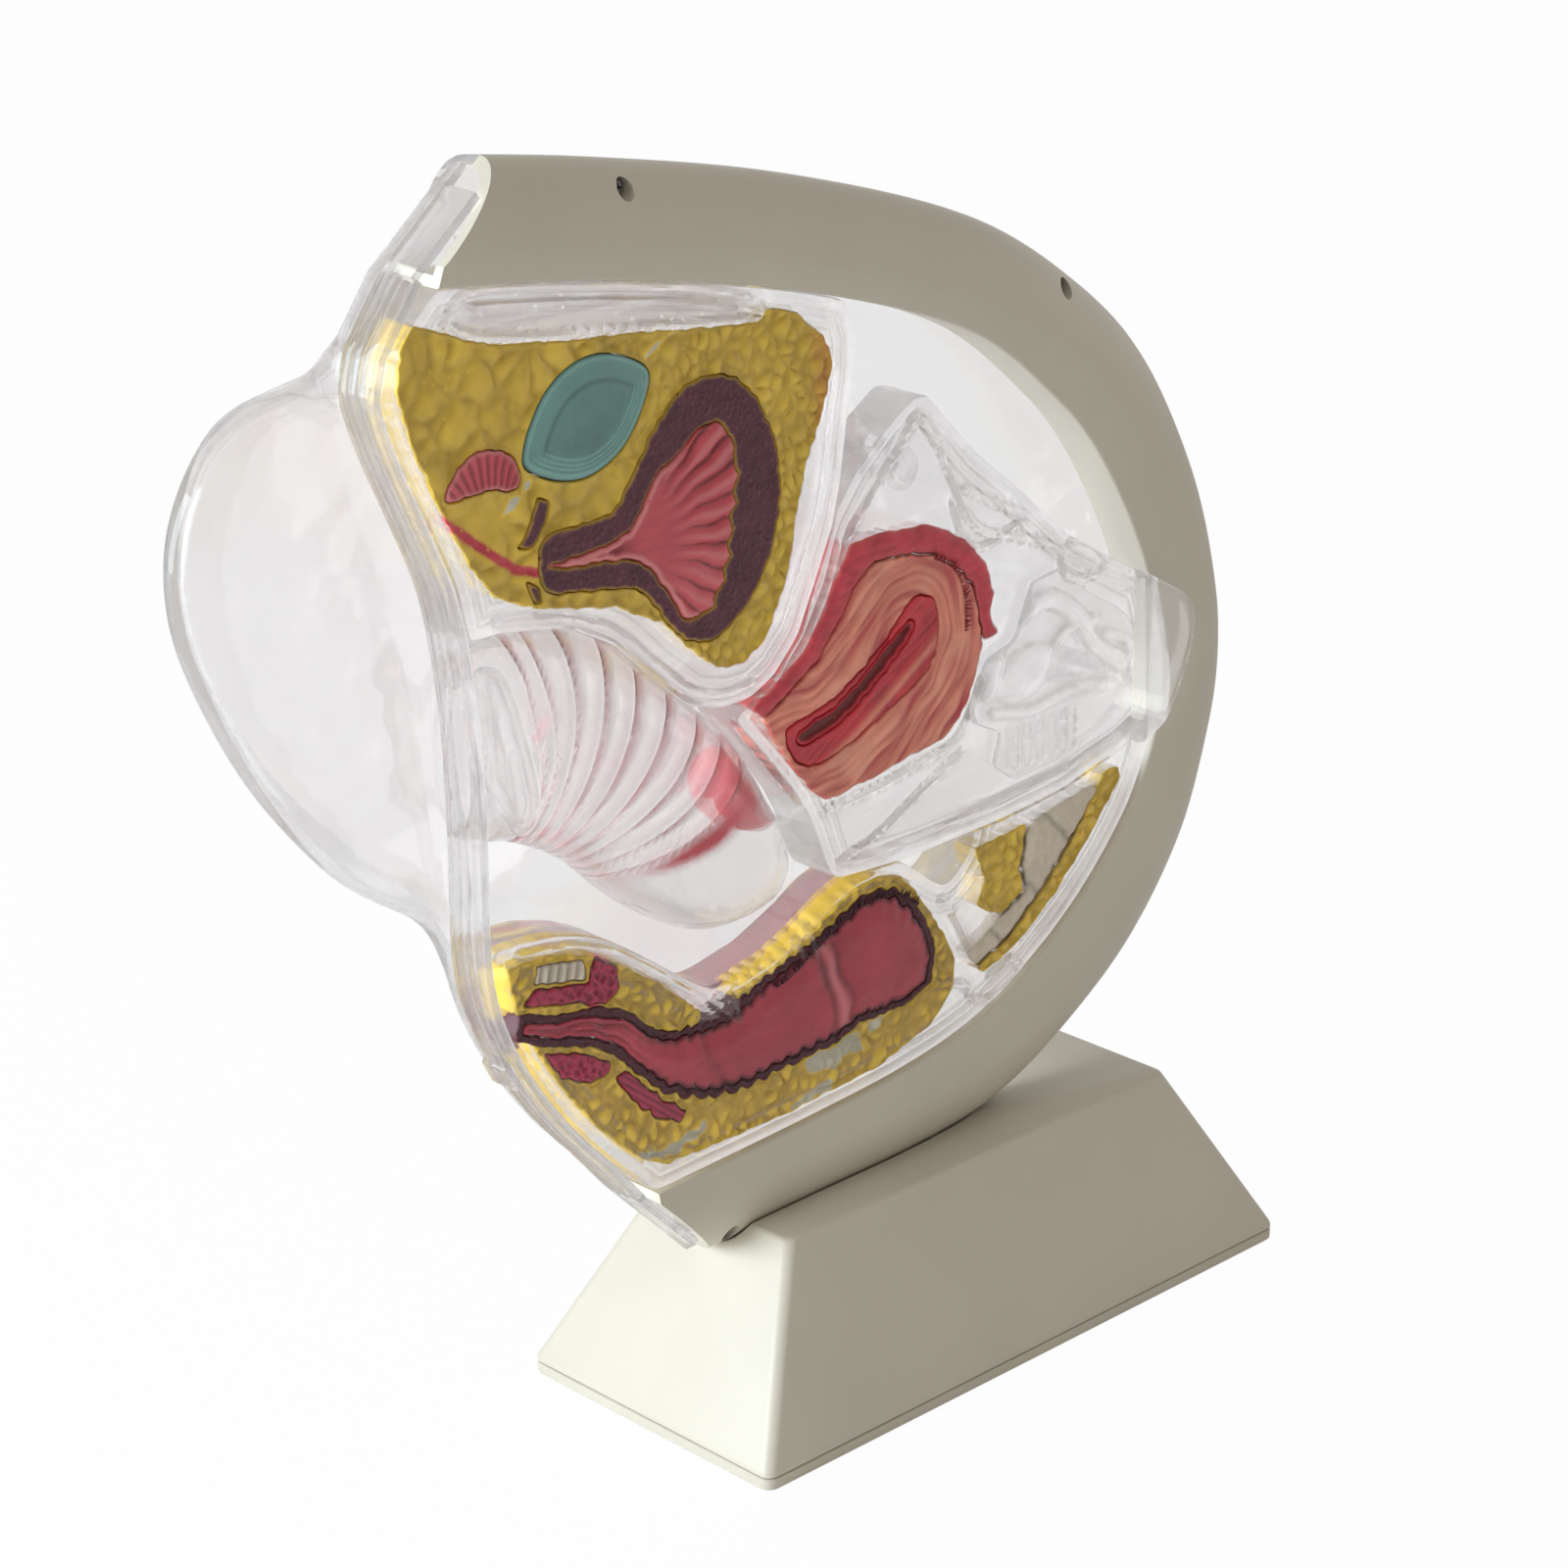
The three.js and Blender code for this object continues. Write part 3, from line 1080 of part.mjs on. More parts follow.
body.add(piece("labial_fold", labialFold(), CLEAR_PLASTIC));

const uterusUnit = new THREE.Group();
uterusUnit.add(piece("uterus_tray", uterusTray(), CLEAR_PLASTIC));
uterusUnit.add(...inlays(UTERUS_INLAYS));
uterusUnit.add(piece("ovary_and_tube", ovaryAndTube(), CLEAR_PLASTIC));
body.add(uterusUnit);
model.add(body);

export default model;
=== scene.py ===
"""Looks of the pelvis teaching model: clear mouldings, painted inlays, an ivory frame and its stand.

Sizes are in millimetres here and turn into metres when a mesh is made.
X runs along the stand, -Y faces the viewer of the cut face and Z is up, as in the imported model.
"""

import math

import bmesh
import bpy
import numpy as np
from bpy.props import FloatProperty, FloatVectorProperty, IntProperty, PointerProperty
from mathutils import Matrix, Vector, noise
from mathutils.geometry import delaunay_2d_cdt


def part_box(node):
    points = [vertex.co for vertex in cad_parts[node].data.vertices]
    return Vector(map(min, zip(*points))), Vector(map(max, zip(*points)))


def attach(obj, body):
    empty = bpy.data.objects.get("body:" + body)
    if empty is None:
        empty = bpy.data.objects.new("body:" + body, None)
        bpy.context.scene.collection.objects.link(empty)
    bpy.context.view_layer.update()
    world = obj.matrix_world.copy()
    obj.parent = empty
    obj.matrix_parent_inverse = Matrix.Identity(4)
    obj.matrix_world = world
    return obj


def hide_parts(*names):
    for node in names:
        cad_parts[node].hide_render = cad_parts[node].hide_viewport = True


bl_info = {
    "name": "Pelvis teaching model",
    "version": (1, 0, 0),
    "blender": (4, 5, 0),
    "location": "View3D > Sidebar > Model",
    "description": "Dresses the packed pelvis teaching model with its mouldings, paints and stage",
    "category": "Object",
}

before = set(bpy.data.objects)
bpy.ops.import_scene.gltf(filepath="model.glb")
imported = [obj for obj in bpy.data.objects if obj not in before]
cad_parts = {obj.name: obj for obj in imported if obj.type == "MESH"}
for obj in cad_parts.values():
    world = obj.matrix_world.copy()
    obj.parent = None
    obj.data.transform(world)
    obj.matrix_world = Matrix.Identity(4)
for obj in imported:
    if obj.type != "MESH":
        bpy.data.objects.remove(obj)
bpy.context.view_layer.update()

MM = 0.001
# The signs of x and y at the four corners, counter-clockwise
CORNERS = ((1, 1), (-1, 1), (-1, -1), (1, -1))
FIXED = "model"
MOVING = "uterus_unit"

# Clearance between neighbouring pieces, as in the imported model
CLEARANCE = 0.3

# Screws: the hole for a shank, and the head that the size of the cross recess belongs to
SCREW_HOLE = 3.2
SCREW_HEAD = 5.4

# Stand
STAND_BOTTOM = (190.0, 85.0)
STAND_TOP = (139.0, 47.0)
STAND_HEIGHT = 51.2
STAND_LIP = 4.5
STAND_CORNER = 3.0
STAND_WALL = 3.0
STAND_ROOF = 8.0
PLATE_THICKNESS = 3.0
PLATE_SCREW_INSET = 14.0
PLATE_SCREW_RECESS = 6.0
STAND_EASE = 0.9

# Frame: a channel with a rounded nose
FRAME_DEPTH = 13.5
FRAME_NOSE = 20.0
FRAME_WALL = 2.5
FRAME_FLAT_FALL = 0.9
FRAME_SCREW_SINK = 5.0
FRAME_SCREW_RECESS = 5.0
FRAME_SCREW_SHARES = (0.045, 0.222, 0.993)
FRAME_SCREW_INSET = 5.5
FRAME_BOSS = 8.0

# Rear shell and its strip
SHELL_WALL = 2.0
SHELL_DEPTH = 24.0
STRIP_WALL = 2.2
STRIP_FRONT = -12.0
TAB_FRONT = -9.5
TAB_SHARE = 0.7
STRIP_RIDGES = (-1.6, -4.4, -7.2)

# Trays
TRAY_FRONT = -12.2
TRAY_BACK = 2.0
POCKET_FLOOR = -4.0
INLAY_FRONT = -11.7
INLAY_BACK = -4.3
OVARY_FRONT = -6.7

# Posts and bores of the rear shell: x, z behind the trays and x, y over the stand
UPPER_TRAY_SCREWS = ((-148, 276), (-60, 262))
LOWER_TRAY_SCREWS = ((-103, 113), (-28, 104), (40, 120))
UTERUS_PEGS = ((-12, 229), (58, 160))
CRADLE_SCREWS = ((-48, 7), (-8, 7))
TRAY_POST = 9.0
POST_REACH = 29.0
HEAD_BORE = 6.0
PEG = 6.0
PEG_LENGTH = 14.0
PEG_SOCKET = 10.4
PEG_BORE = 6.6

# Canal, and the cervix in its end: x, z, half its length, its half width across the cut and in it, and its tilt
CANAL_WALL = 1.6
CERVIX = (-64.0, 161.0, 15.0, 8.0, 10.0, 35.0)

# Stage: the floor in millimetres and the window light in metres
FLOOR_REACH = 3000.0
FLOOR_LEVEL = -0.05
WINDOW_PLACE = (-1.45, 0.32, 0.42)
WINDOW_SIZE = (0.9, 1.1)
CLEAR_BOUNCES = 28

# Rim of the frame from its upper end to its lower one: x, z and width of the channel there
RIM = [
    (-156, 326, 26), (-108, 318.3, 25), (-48, 305.4, 25), (12, 286.2, 26.5), (50, 264, 30),
    (75, 241, 32), (95, 208, 32), (105.5, 177, 31.5), (107.8, 154, 31), (104.3, 133, 31),
    (94, 106, 33), (74, 81, 34.5), (48, 63, 33.5), (22, 51.6, 32.5), (-10, 47.2, 29.5),
    (-50, 46, 27.3), (-100, 43.6, 27.5),
]
UPPER_END = ((-163.8, 301.3), (-137.8, 323.1))
LOWER_END = ((-78, 45), (-105, 72.3))

# Outer line of the perineum from its lower end to its upper: x, z and how far the dome stands out
PERINEUM = [
    (-117, 82.5, 0), (-128, 94.5, 0), (-138, 108, 0), (-146, 122, 0), (-151, 136, 0),
    (-152.5, 150, 8), (-152.5, 168, 25), (-152.8, 188, 41), (-154.5, 208, 51), (-158.5, 230, 56),
    (-165.5, 247, 50), (-171.5, 260, 40), (-176, 271, 27), (-178, 279.5, 12), (-176, 288.5, 2),
]
SHELL_CENTRE = (-40, 190)
# Past the rounded nose the shell's back runs on: millimetres in from the rim and further back
SHELL_BACK = [(FRAME_NOSE, 0.0), (30, 2.4), (45, 5.6), (65, 8.6)]
INTROITUS = {"x": -152.8, "z": 193, "height": 34, "width": 7.4, "y": -5.4}

# Axis of the canal: x, z, radius in the plane of the cut and radius across it
CANAL = [
    (-148.5, 194, 22, 8.5), (-138, 193, 24.5, 10.2), (-125, 190, 25.3, 11), (-106, 177.5, 23.7, 11.5),
    (-88, 161, 23.4, 11.5), (-72, 147, 20, 11), (-60, 139.5, 14, 8.5), (-52.5, 135.2, 7.5, 5),
]
CANAL_TIP = (-49.3, 133.2)

# Outlines of the clear trays, drawn past the frame and the strip, which trim them
UPPER_TRAY = [
    (-200, 320), (-100, 305), (-46, 290), (-39, 277), (-35.8, 268), (-36, 258), (-38, 247),
    (-40, 233), (-42.5, 223), (-48, 211), (-54, 198.5), (-62, 190.5), (-70, 187), (-79, 187),
    (-89, 190), (-100, 199), (-112, 210.5), (-125, 217.5), (-145, 221), (-190, 221),
]
LOWER_TRAY = [
    (-190, 147.5), (-148, 147.5), (-133, 146.5), (-122, 143.2), (-114, 139.5), (-106, 134),
    (-97, 127.5), (-88, 121), (-82, 117.5), (-76, 118), (-63, 120.5), (-56, 123.5), (-50, 126),
    (-42, 130.5), (-34, 133), (-26, 133.6), (-18.5, 132), (-12, 127.5), (-7, 123.5), (-3, 121.2),
    (1, 123), (6, 128), (10, 140), (90, 160), (130, 150), (90, 30), (-190, 30),
]
UTERUS_TRAY = [
    (-15.6, 249), (-10, 248), (6.7, 231), (23, 218), (40, 203), (56.7, 193), (71, 185),
    (80, 180), (84.2, 175), (85.3, 169), (83.5, 162), (80, 154), (74.4, 145.6), (62, 140),
    (40, 135), (17.8, 133), (-15.6, 132), (-40, 133.5), (-43.5, 136), (-45.6, 141),
    (-49, 150), (-53, 157), (-60, 166), (-68, 175.5), (-75, 183.5), (-66, 188), (-55, 200),
    (-48, 212), (-43, 225), (-35, 235), (-25, 243),
]
LIP_START = 66.0
LIP_THICKNESS = 2.4
SYMPHYSIS = ((-119.0, 264.5), 39.0, 26.0, 20.0)

# Lines that stand out in the clear trays: each a run of x, z points
UPPER_LINES = [
    [(-158, 292.5), (-150, 288.6), (-133, 285.2), (-111, 282.6), (-88, 279.6), (-69, 277.4), (-66, 279),
     (-72, 283), (-88, 287.4), (-110, 292), (-135, 296), (-152, 297.6), (-158, 292.5)],
    [(-150, 294.5), (-130, 292), (-104, 287.6), (-84, 283), (-74, 280)],
    [(-146, 224), (-128, 220.8), (-112, 214), (-99, 202.6), (-88, 193.6), (-78, 190.4), (-69, 191)],
]
WALL_LENS = np.array([
    (-158, 290.5), (-150, 287.6), (-133, 284.4), (-111, 281.9), (-88, 279.3), (-72, 277.2), (-68, 278.4),
    (-73, 282.6), (-88, 287), (-110, 291.4), (-135, 295.4), (-152, 296.6)])
LOWER_LINES = [
    [(-142, 144.6), (-124, 141.6), (-110, 135), (-98, 126), (-88, 117.6), (-81, 110.6)],
    [(-81, 115.4), (-76, 108.4), (-73.4, 106.4), (-76.6, 114.4)],
    [(-55, 122), (-51.6, 116), (-47.6, 112.6), (-48.6, 119), (-51, 124)],
    [(-5, 95), (4, 92.4), (8, 87.4), (16, 85), (25, 88.6), (22, 94), (14, 92)],
    [(-4, 118), (1, 111), (5, 104), (9, 100)],
]
UTERUS_LINES = [
    [(-14, 243.6), (-8, 236), (-2.5, 226), (3, 216), (10, 210), (22, 206), (34, 201), (50, 192)],
    [(-15, 244.4), (-22, 236), (-30, 228), (-38, 219)],
    [(-2, 220), (2, 210), (8, 206.6), (18, 208.6), (24, 211), (14, 216), (2, 222.6)],
    [(38, 199), (44, 200.6), (52, 196.6), (54, 191), (46, 190), (39, 193), (38, 199)],
    [(-46, 152.6), (-30, 153.6), (-14, 156), (-2, 158), (4, 163), (9, 172)],
    [(-40, 138), (-26, 142), (-12, 149), (2, 155)],
    [(-36, 136.6), (-10, 137), (20, 139), (46, 141.4), (66, 147), (76, 156), (80, 166)],
    [(74, 180), (77, 172), (77, 164), (73, 156)],
]


def linear(code):
    """An sRGB hex colour as linear red, green, blue and alpha."""
    parts = [int(code[i:i + 2], 16) / 255 for i in (1, 3, 5)]
    return (*[c / 12.92 if c <= 0.04045 else ((c + 0.055) / 1.055) ** 2.4 for c in parts], 1.0)


def number(name, default, words, kind=FloatProperty, **limits):
    return kind(name=name, default=default, description=words, **limits)


def colour(name, value, words):
    """A colour setting from a hex code or from linear values."""
    start = linear(value) if isinstance(value, str) else value
    return number(name, start, words, FloatVectorProperty, subtype="COLOR", size=4, min=0, max=1)


class PaintSettings(bpy.types.PropertyGroup):
    """Colours of the plastics and the hand-painted tissue."""
    ivory: colour("Ivory plastic", "#C9C2B3", "Moulded plastic of the frame and the stand")
    clear: colour("Clear plastic", "#FCFBFC", "Tint of the clear acrylic")
    steel: colour("Steel", "#9A9A9E", "Zinc-plated screws")
    fat: colour("Fat", "#DDB944", "Painted fat")
    # Painted shade: the brown laid in the valleys between the fat's lobes
    fat_valley_shade: colour("Fat, low", "#94761C", "Valleys between the fat's lobes")
    cartilage: colour("Cartilage", "#6F9894", "Painted pubic symphysis")
    bladder_wall: colour("Bladder wall", "#633141", "Painted wall of the bladder")
    lining: colour("Lining", "#C9525C", "Painted lining of the bladder")
    muscle: colour("Uterus muscle", "#DD8470", "Painted muscle of the uterus")
    outer_layer: colour("Outer layer", "#C63B4A", "Painted outer layer of the uterus")
    uterus_lining: colour("Uterus lining", "#C2333F", "Painted lining of the uterus")
    cavity: colour("Cavity", "#6E1419", "Painted cavity of the uterus")
    rectum: colour("Rectum", "#A83848", "Painted lining of the rectum")
    rectum_wall: colour("Rectum wall", "#53202E", "Painted wall of the rectum")
    sphincter: colour("Sphincter", "#A22C4A", "Painted sphincters and levator")
    bone: colour("Bone", "#C9BDAC", "Painted sacrum and perineal body")
    # A painted tint: the grey-pink that clear acrylic shows where it refracts the parts behind it, laid on its
    # creases and on the solid wall over the upper fat
    painted_refraction: colour("Haze", "#CDBFBE", "Scuffs and creases in the clear acrylic")
    pale: colour("Pale patches", "#C9C3AE", "Pale grey patches and ligaments on the fat")
    lining_rim: colour("Lining's rim", (0.72, 0.26, 0.26, 1), "Pale border of the bladder's lining")
    muscle_pale: colour("Pale muscle", (0.86, 0.44, 0.3, 1), "Pale patches on the muscle of the uterus")
    rectum_fold: colour("Rectum's folds", (0.75, 0.28, 0.3, 1), "Lit folds of the rectum's lining")


class ReliefSettings(bpy.types.PropertyGroup):
    """Sizes of the relief in the painted inlays and the clear mouldings."""
    grid: number("Grid", 0.85, "Distance between a tray's points, mm", min=0.4, max=4)
    lobe: number("Fat lobe", 6.5, "Width of a lobe of fat, mm", min=2)
    lobe_height: number("Lobe height", 1.3, "Height of a lobe of fat, mm")
    round_edge: number("Round edge", 0.45, "Radius of an inlay's edge, mm")


class ScrewSettings(bpy.types.PropertyGroup):
    """Sizes of the self-tapping screws."""
    shank: number("Shank", 2.3, "Diameter of a screw's core, mm", min=0.5)
    thread: number("Thread", 0.3, "Height of the thread on the core, mm", min=0)
    pitch: number("Pitch", 1.1, "Distance between two turns of the thread, mm", min=0.3)
    head_height: number("Head height", 1.5, "Height of a screw's head, mm")
    cross: number("Cross", 2.7, "Width of the cross recess, mm")
    sides: number("Sides", 24, "Sides of a screw's round parts", IntProperty, min=8)


class RugaSettings(bpy.types.PropertyGroup):
    """Sizes of the folds in the canal's near wall."""
    count: number("Count", 8, "Number of folds", IntProperty, min=1)
    height: number("Height", 1.5, "Height of a fold, mm")
    groove: number("Groove", 0.15, "Share of a fold that its groove takes", min=0.02, max=0.9)


class BristleSettings(bpy.types.PropertyGroup):
    """Sizes of the fine spikes on the edge of a tissue layer."""
    spacing: number("Spacing", 0.9, "Distance between two spikes, mm", min=0.2)
    length: number("Length", 2.2, "Length of a spike, mm")
    thickness: number("Thickness", 0.42, "Thickness of a spike at its root, mm")
    seed: number("Seed", 4, "Seed of the spikes' lean and length", IntProperty)


class StageSettings(bpy.types.PropertyGroup):
    """The camera's place and the light."""
    camera: number("Camera", (-0.6955, -0.6576, 0.5098), "Place of the camera", FloatVectorProperty,
                   subtype="TRANSLATION", unit="LENGTH")
    yaw: number("Yaw", 44.564, "Turn of the camera from +Y towards +X, degrees")
    elevation: number("Elevation", 20.909, "How far the camera looks down, degrees")
    roll: number("Roll", -0.062, "Roll of the camera, degrees")
    lens: number("Lens", 94.786, "Focal length for a 36 mm sensor, mm")
    key: number("Key light", 32, "Power of the window light, W")
    ambient: number("Ambient", 0.5, "Strength of the room's light")


SETTINGS = {
    "model_paints": PaintSettings,
    "model_relief": ReliefSettings,
    "model_screws": ScrewSettings,
    "model_rugae": RugaSettings,
    "model_bristles": BristleSettings,
    "model_stage": StageSettings,
}


def along(rows, u):
    """The rows' values at u, from 0 to 1, on a smooth curve through them."""
    spans = len(rows) - 1
    place = min(max(u, 0.0), 1.0) * spans
    k = min(int(place), spans - 1)
    t = place - k
    a, b, d, e = (np.array(rows[min(max(k + i, 0), spans)], float) for i in (-1, 0, 1, 2))
    bend = (2 * a - 5 * b + 4 * d - e) * t * t + (3 * b - a - 3 * d + e) * t ** 3
    return 0.5 * (2 * b + (d - a) * t + bend)


def rim_at(u):
    """Point of the rim at u, the direction inwards and the channel's width."""
    x, z, width = along(RIM, u)
    run = along(RIM, u + 1e-3) - along(RIM, u - 1e-3)
    run /= math.hypot(run[0], run[1])
    return np.array((x, z)), np.array((run[1], -run[0])), width


def end_line(end, distance):
    """An end face's cutting line, moved out by a distance."""
    a, b = (np.array(p, float) for p in end)
    step = (b - a) / np.linalg.norm(b - a)
    away = np.array((-step[1], step[0])) * distance
    return a + away, b + away, step


def beside(line):
    """The direction to the right of a line's run at each of its points."""
    run = np.gradient(line, axis=0)
    return np.column_stack((run[:, 1], -run[:, 0])) / np.linalg.norm(run, axis=1)[:, None]


def rim_crossing(end, distance, kept, cut):
    """Share of the rim, between one that is kept and one that is cut off, at which it meets an end face."""
    start, _, step = end_line(end, distance)
    for _ in range(30):
        u = (kept + cut) / 2
        place = rim_at(u)[0] - start
        if step[0] * place[1] - step[1] * place[0] > 0:
            cut = u
        else:
            kept = u
    return kept


STRIP_GROWTH = CLEARANCE + STRIP_WALL
RIM_START = rim_crossing(UPPER_END, STRIP_GROWTH, 0.3, 0)
RIM_STOP = rim_crossing(LOWER_END, STRIP_GROWTH, 0.8, 1)


def object_from(name, points, faces, material=None):
    """A mesh object from points in millimetres."""
    mesh = bpy.data.meshes.new(name)
    mesh.from_pydata([tuple(c * MM for c in p) for p in points], [], [tuple(map(int, f)) for f in faces])
    mesh.update()
    made = bpy.data.objects.new(name, mesh)
    bpy.context.scene.collection.objects.link(made)
    if material:
        mesh.materials.append(material)
    turn_outwards(mesh)
    return made


def turn_outwards(mesh):
    """Makes every face of a closed mesh point outwards."""
    shape = bmesh.new()
    shape.from_mesh(mesh)
    bmesh.ops.remove_doubles(shape, verts=shape.verts, dist=1e-7)
    bmesh.ops.recalc_face_normals(shape, faces=shape.faces)
    shape.to_mesh(mesh)
    shape.free()


def shade(made, degrees):
    """Smooth shading that keeps edges sharper than the angle."""
    mesh = made.data
    mesh.shade_smooth()
    shape = bmesh.new()
    shape.from_mesh(mesh)
    limit = math.radians(degrees)
    for edge in shape.edges:
        edge.smooth = len(edge.link_faces) == 2 and edge.calc_face_angle(0) < limit
    shape.to_mesh(mesh)
    shape.free()


def combine(made, operation, *others):
    """Joins, cuts or trims a closed object with others, given as objects, which go, or as points and faces."""
    for other in others:
        if isinstance(other, tuple):
            other = object_from(operation, *other)
        step = made.modifiers.new(operation, "BOOLEAN")
        step.operation = operation
        step.solver = "MANIFOLD"
        step.object = other
        finish_modifiers(made)
        bpy.data.objects.remove(other)
    return made


def finish_modifiers(made):
    """Replaces an object's mesh by the result of its modifiers and node trees."""
    bpy.context.view_layer.update()
    graph = bpy.context.evaluated_depsgraph_get()
    result = bpy.data.meshes.new_from_object(made.evaluated_get(graph), preserve_all_data_layers=True,
                                             depsgraph=graph)
    made.modifiers.clear()
    made.data = result
    return made


def dress(made, nodes, material=None, degrees=None, body=FIXED):
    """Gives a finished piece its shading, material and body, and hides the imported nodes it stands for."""
    if degrees:
        shade(made, degrees)
    if material:
        made.data.materials.clear()
        made.data.materials.append(material)
        for face in made.data.polygons:
            face.material_index = 0
    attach(made, body)
    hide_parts(*nodes)


def store(made, label, values):
    """Keeps a number for each point of an object under a name that its material or tree reads."""
    made.data.attributes.new(label, "FLOAT", "POINT").data.foreach_set("value", values)


def joined(rings):
    """Points of closed rings and the faces between them."""
    size = len(rings[0])
    faces = [(r * size + i, r * size + (i + 1) % size, (r + 1) * size + (i + 1) % size, (r + 1) * size + i)
             for r in range(len(rings) - 1) for i in range(size)]
    return [p for ring in rings for p in ring], faces


def loft(rings, tip=None, cap_start=True):
    """Points and faces through closed rings, ended by a tip or a flat fan."""
    size = len(rings[0])
    points, faces = joined(rings)
    end, last = len(points), len(points) - size
    points.append(tip if tip is not None else np.mean(rings[-1], axis=0))
    faces += [(end, last + i, last + (i + 1) % size) for i in range(size)]
    if cap_start:
        points.append(np.mean(rings[0], axis=0))
        faces += [(end + 1, (i + 1) % size, i) for i in range(size)]
    return points, faces


def hollow_loft(outer, outer_tip, inner, inner_tip):
    """Points and faces of a wall between two lofts, closed by a band at its open end."""
    points, faces = loft(outer, outer_tip, cap_start=False)
    shift, size = len(points), len(outer[0])
    more, others = loft(inner, inner_tip, cap_start=False)
    faces += [tuple(shift + i for i in face[::-1]) for face in others]
    faces += [((i + 1) % size, i, shift + i, shift + (i + 1) % size) for i in range(size)]
    return points + more, faces


def tube(rings):
    """Points and faces through rings that do not need to be convex, with its two ends closed."""
    points, faces = joined(rings)
    size = len(rings[0])
    ends = [tuple(range(size))[::-1], tuple(range(len(points) - size, len(points)))]
    return points, faces + ends


def slab(outline, front, back):
    """Points and faces of a flat piece with an outline in the plane of the cut."""
    count = len(outline)
    points = [(x, front, z) for x, z in outline] + [(x, back, z) for x, z in outline]
    faces = [tuple(range(count)), tuple(range(2 * count - 1, count - 1, -1))]
    faces += [(i, (i + 1) % count, (i + 1) % count + count, i + count) for i in range(count)]
    return points, faces


def bars(diameter, centres, axis, low, high, sides=32):
    """Points and faces of round bars along Y or Z that stand clear of each other; a centre is x, z or x, y."""
    points, faces = [], []
    turns = [2 * math.pi * i / sides for i in range(sides)]
    for a, b in centres:
        ring = [(a + diameter / 2 * math.cos(turn), b + diameter / 2 * math.sin(turn)) for turn in turns]
        if axis == "Y":
            more, others = slab(ring, low, high)
        else:
            more, others = loft([np.array([(x, y, h) for x, y in ring]) for h in (low, high)])
        faces += [tuple(len(points) + i for i in face) for face in others]
        points += list(more)
    return points, faces


def add(tree, kind, links=None, **settings):
    """Adds a node with its links, its values and its settings; a node stands for its first output in use."""
    node = tree.nodes.new(kind)
    for name, value in settings.items():
        if name == "stops":
            band = node.color_ramp
            while len(band.elements) < len(value):
                band.elements.new(0.5)
            for element, (place, shown) in zip(band.elements, value):
                element.position = place
                element.color = shown
        else:
            setattr(node, name, value)
    for key, value in (links or {}).items():
        if isinstance(value, bpy.types.Node):
            value = next(output for output in value.outputs if output.enabled)
        if isinstance(value, bpy.types.NodeSocket):
            tree.links.new(value, node.inputs[key])
        else:
            node.inputs[key].default_value = value
    return node


def shape_tree(name, sockets):
    """A new tree of geometry nodes with its named inputs, its group input node and a function that ends it."""
    tree = bpy.data.node_groups.new(name, "GeometryNodeTree")
    kinds = {"Geometry": "NodeSocketGeometry", "Material": "NodeSocketMaterial"}
    for label in ("Geometry", *sockets, "Material"):
        whole = label in ("Sides", "Count", "Seed")
        tree.interface.new_socket(label, in_out="INPUT", socket_type=kinds.get(
            label, "NodeSocketInt" if whole else "NodeSocketFloat"))
    tree.interface.new_socket("Geometry", in_out="OUTPUT", socket_type="NodeSocketGeometry")
    given = add(tree, "NodeGroupInput").outputs

    def end(shape):
        real = add(tree, "GeometryNodeRealizeInstances", {"Geometry": shape})
        painted = add(tree, "GeometryNodeSetMaterial", {"Geometry": real, "Material": given["Material"]})
        add(tree, "NodeGroupOutput", {"Geometry": painted})
    return tree, given, end


def grown(made, tree, values, material):
    """Runs a tree on an object with values for its inputs and keeps the result as a plain mesh."""
    step = made.modifiers.new(tree.name, "NODES")
    step.node_group = tree
    for socket in tree.interface.items_tree:
        if socket.in_out == "INPUT" and socket.name in values:
            step[socket.identifier] = values[socket.name]
        if socket.in_out == "INPUT" and socket.name == "Material":
            step[socket.identifier] = material
    return finish_modifiers(made)


# Sums that shape a screw from a cylinder of radius 1: a name, the operation and its terms. The thread's
# crest passes a point once in each pitch, a turn later for each turn round the core.
SCREW_SUMS = [
    ("ring", "DIVIDE", "Pitch", 7.0), ("rings", "DIVIDE", "Length", "ring"), ("half", "MULTIPLY", "Length", 0.5),
    ("angle", "ARCTAN2", "y", "x"), ("turn", "DIVIDE", "angle", 2 * math.pi), ("climb", "DIVIDE", "z", "Pitch"),
    ("phase", "ADD", "climb", "turn"), ("wave", "PINGPONG", "phase", 0.5), ("steep", "MULTIPLY", "wave", 3.0),
    ("share", "SMOOTH_MIN", "steep", 1.0, 0.2), ("crest", "MULTIPLY", "share", "Thread"),
    ("left", "SUBTRACT", "Length", "z"), ("cores", "DIVIDE", "left", "Core"),
    ("taper", "MULTIPLY_ADD", "cores", 0.75, 0.2), ("point", "MINIMUM", "taper", 1.0),
    ("thick", "MULTIPLY_ADD", "Core", 0.5, "crest"), ("shank", "MULTIPLY", "thick", "point"),
    ("above", "SUBTRACT", "Head height", "z"), ("level", "DIVIDE", "above", "Head height"),
    ("square", "POWER", "level", 2.0), ("flat", "MULTIPLY", "square", 0.7), ("rest", "SUBTRACT", 1.0, "flat"),
    ("dome", "SQRT", "rest"), ("radius", "MULTIPLY", "Head", 0.5), ("head", "MULTIPLY", "radius", "dome"),
    ("in head", "LESS_THAN", "z", "Head height"), ("wing", "MULTIPLY", "Cross", 0.2),
    ("deep", "MULTIPLY", "Head height", 1.5),
]


def summed(tree, values, sums):
    """Adds a sum's node for each row of a table to the values that later rows read by name."""
    for name, operation, *terms in sums:
        values[name] = add(tree, "ShaderNodeMath", {
            i: values.get(term, term) for i, term in enumerate(terms)}, operation=operation)


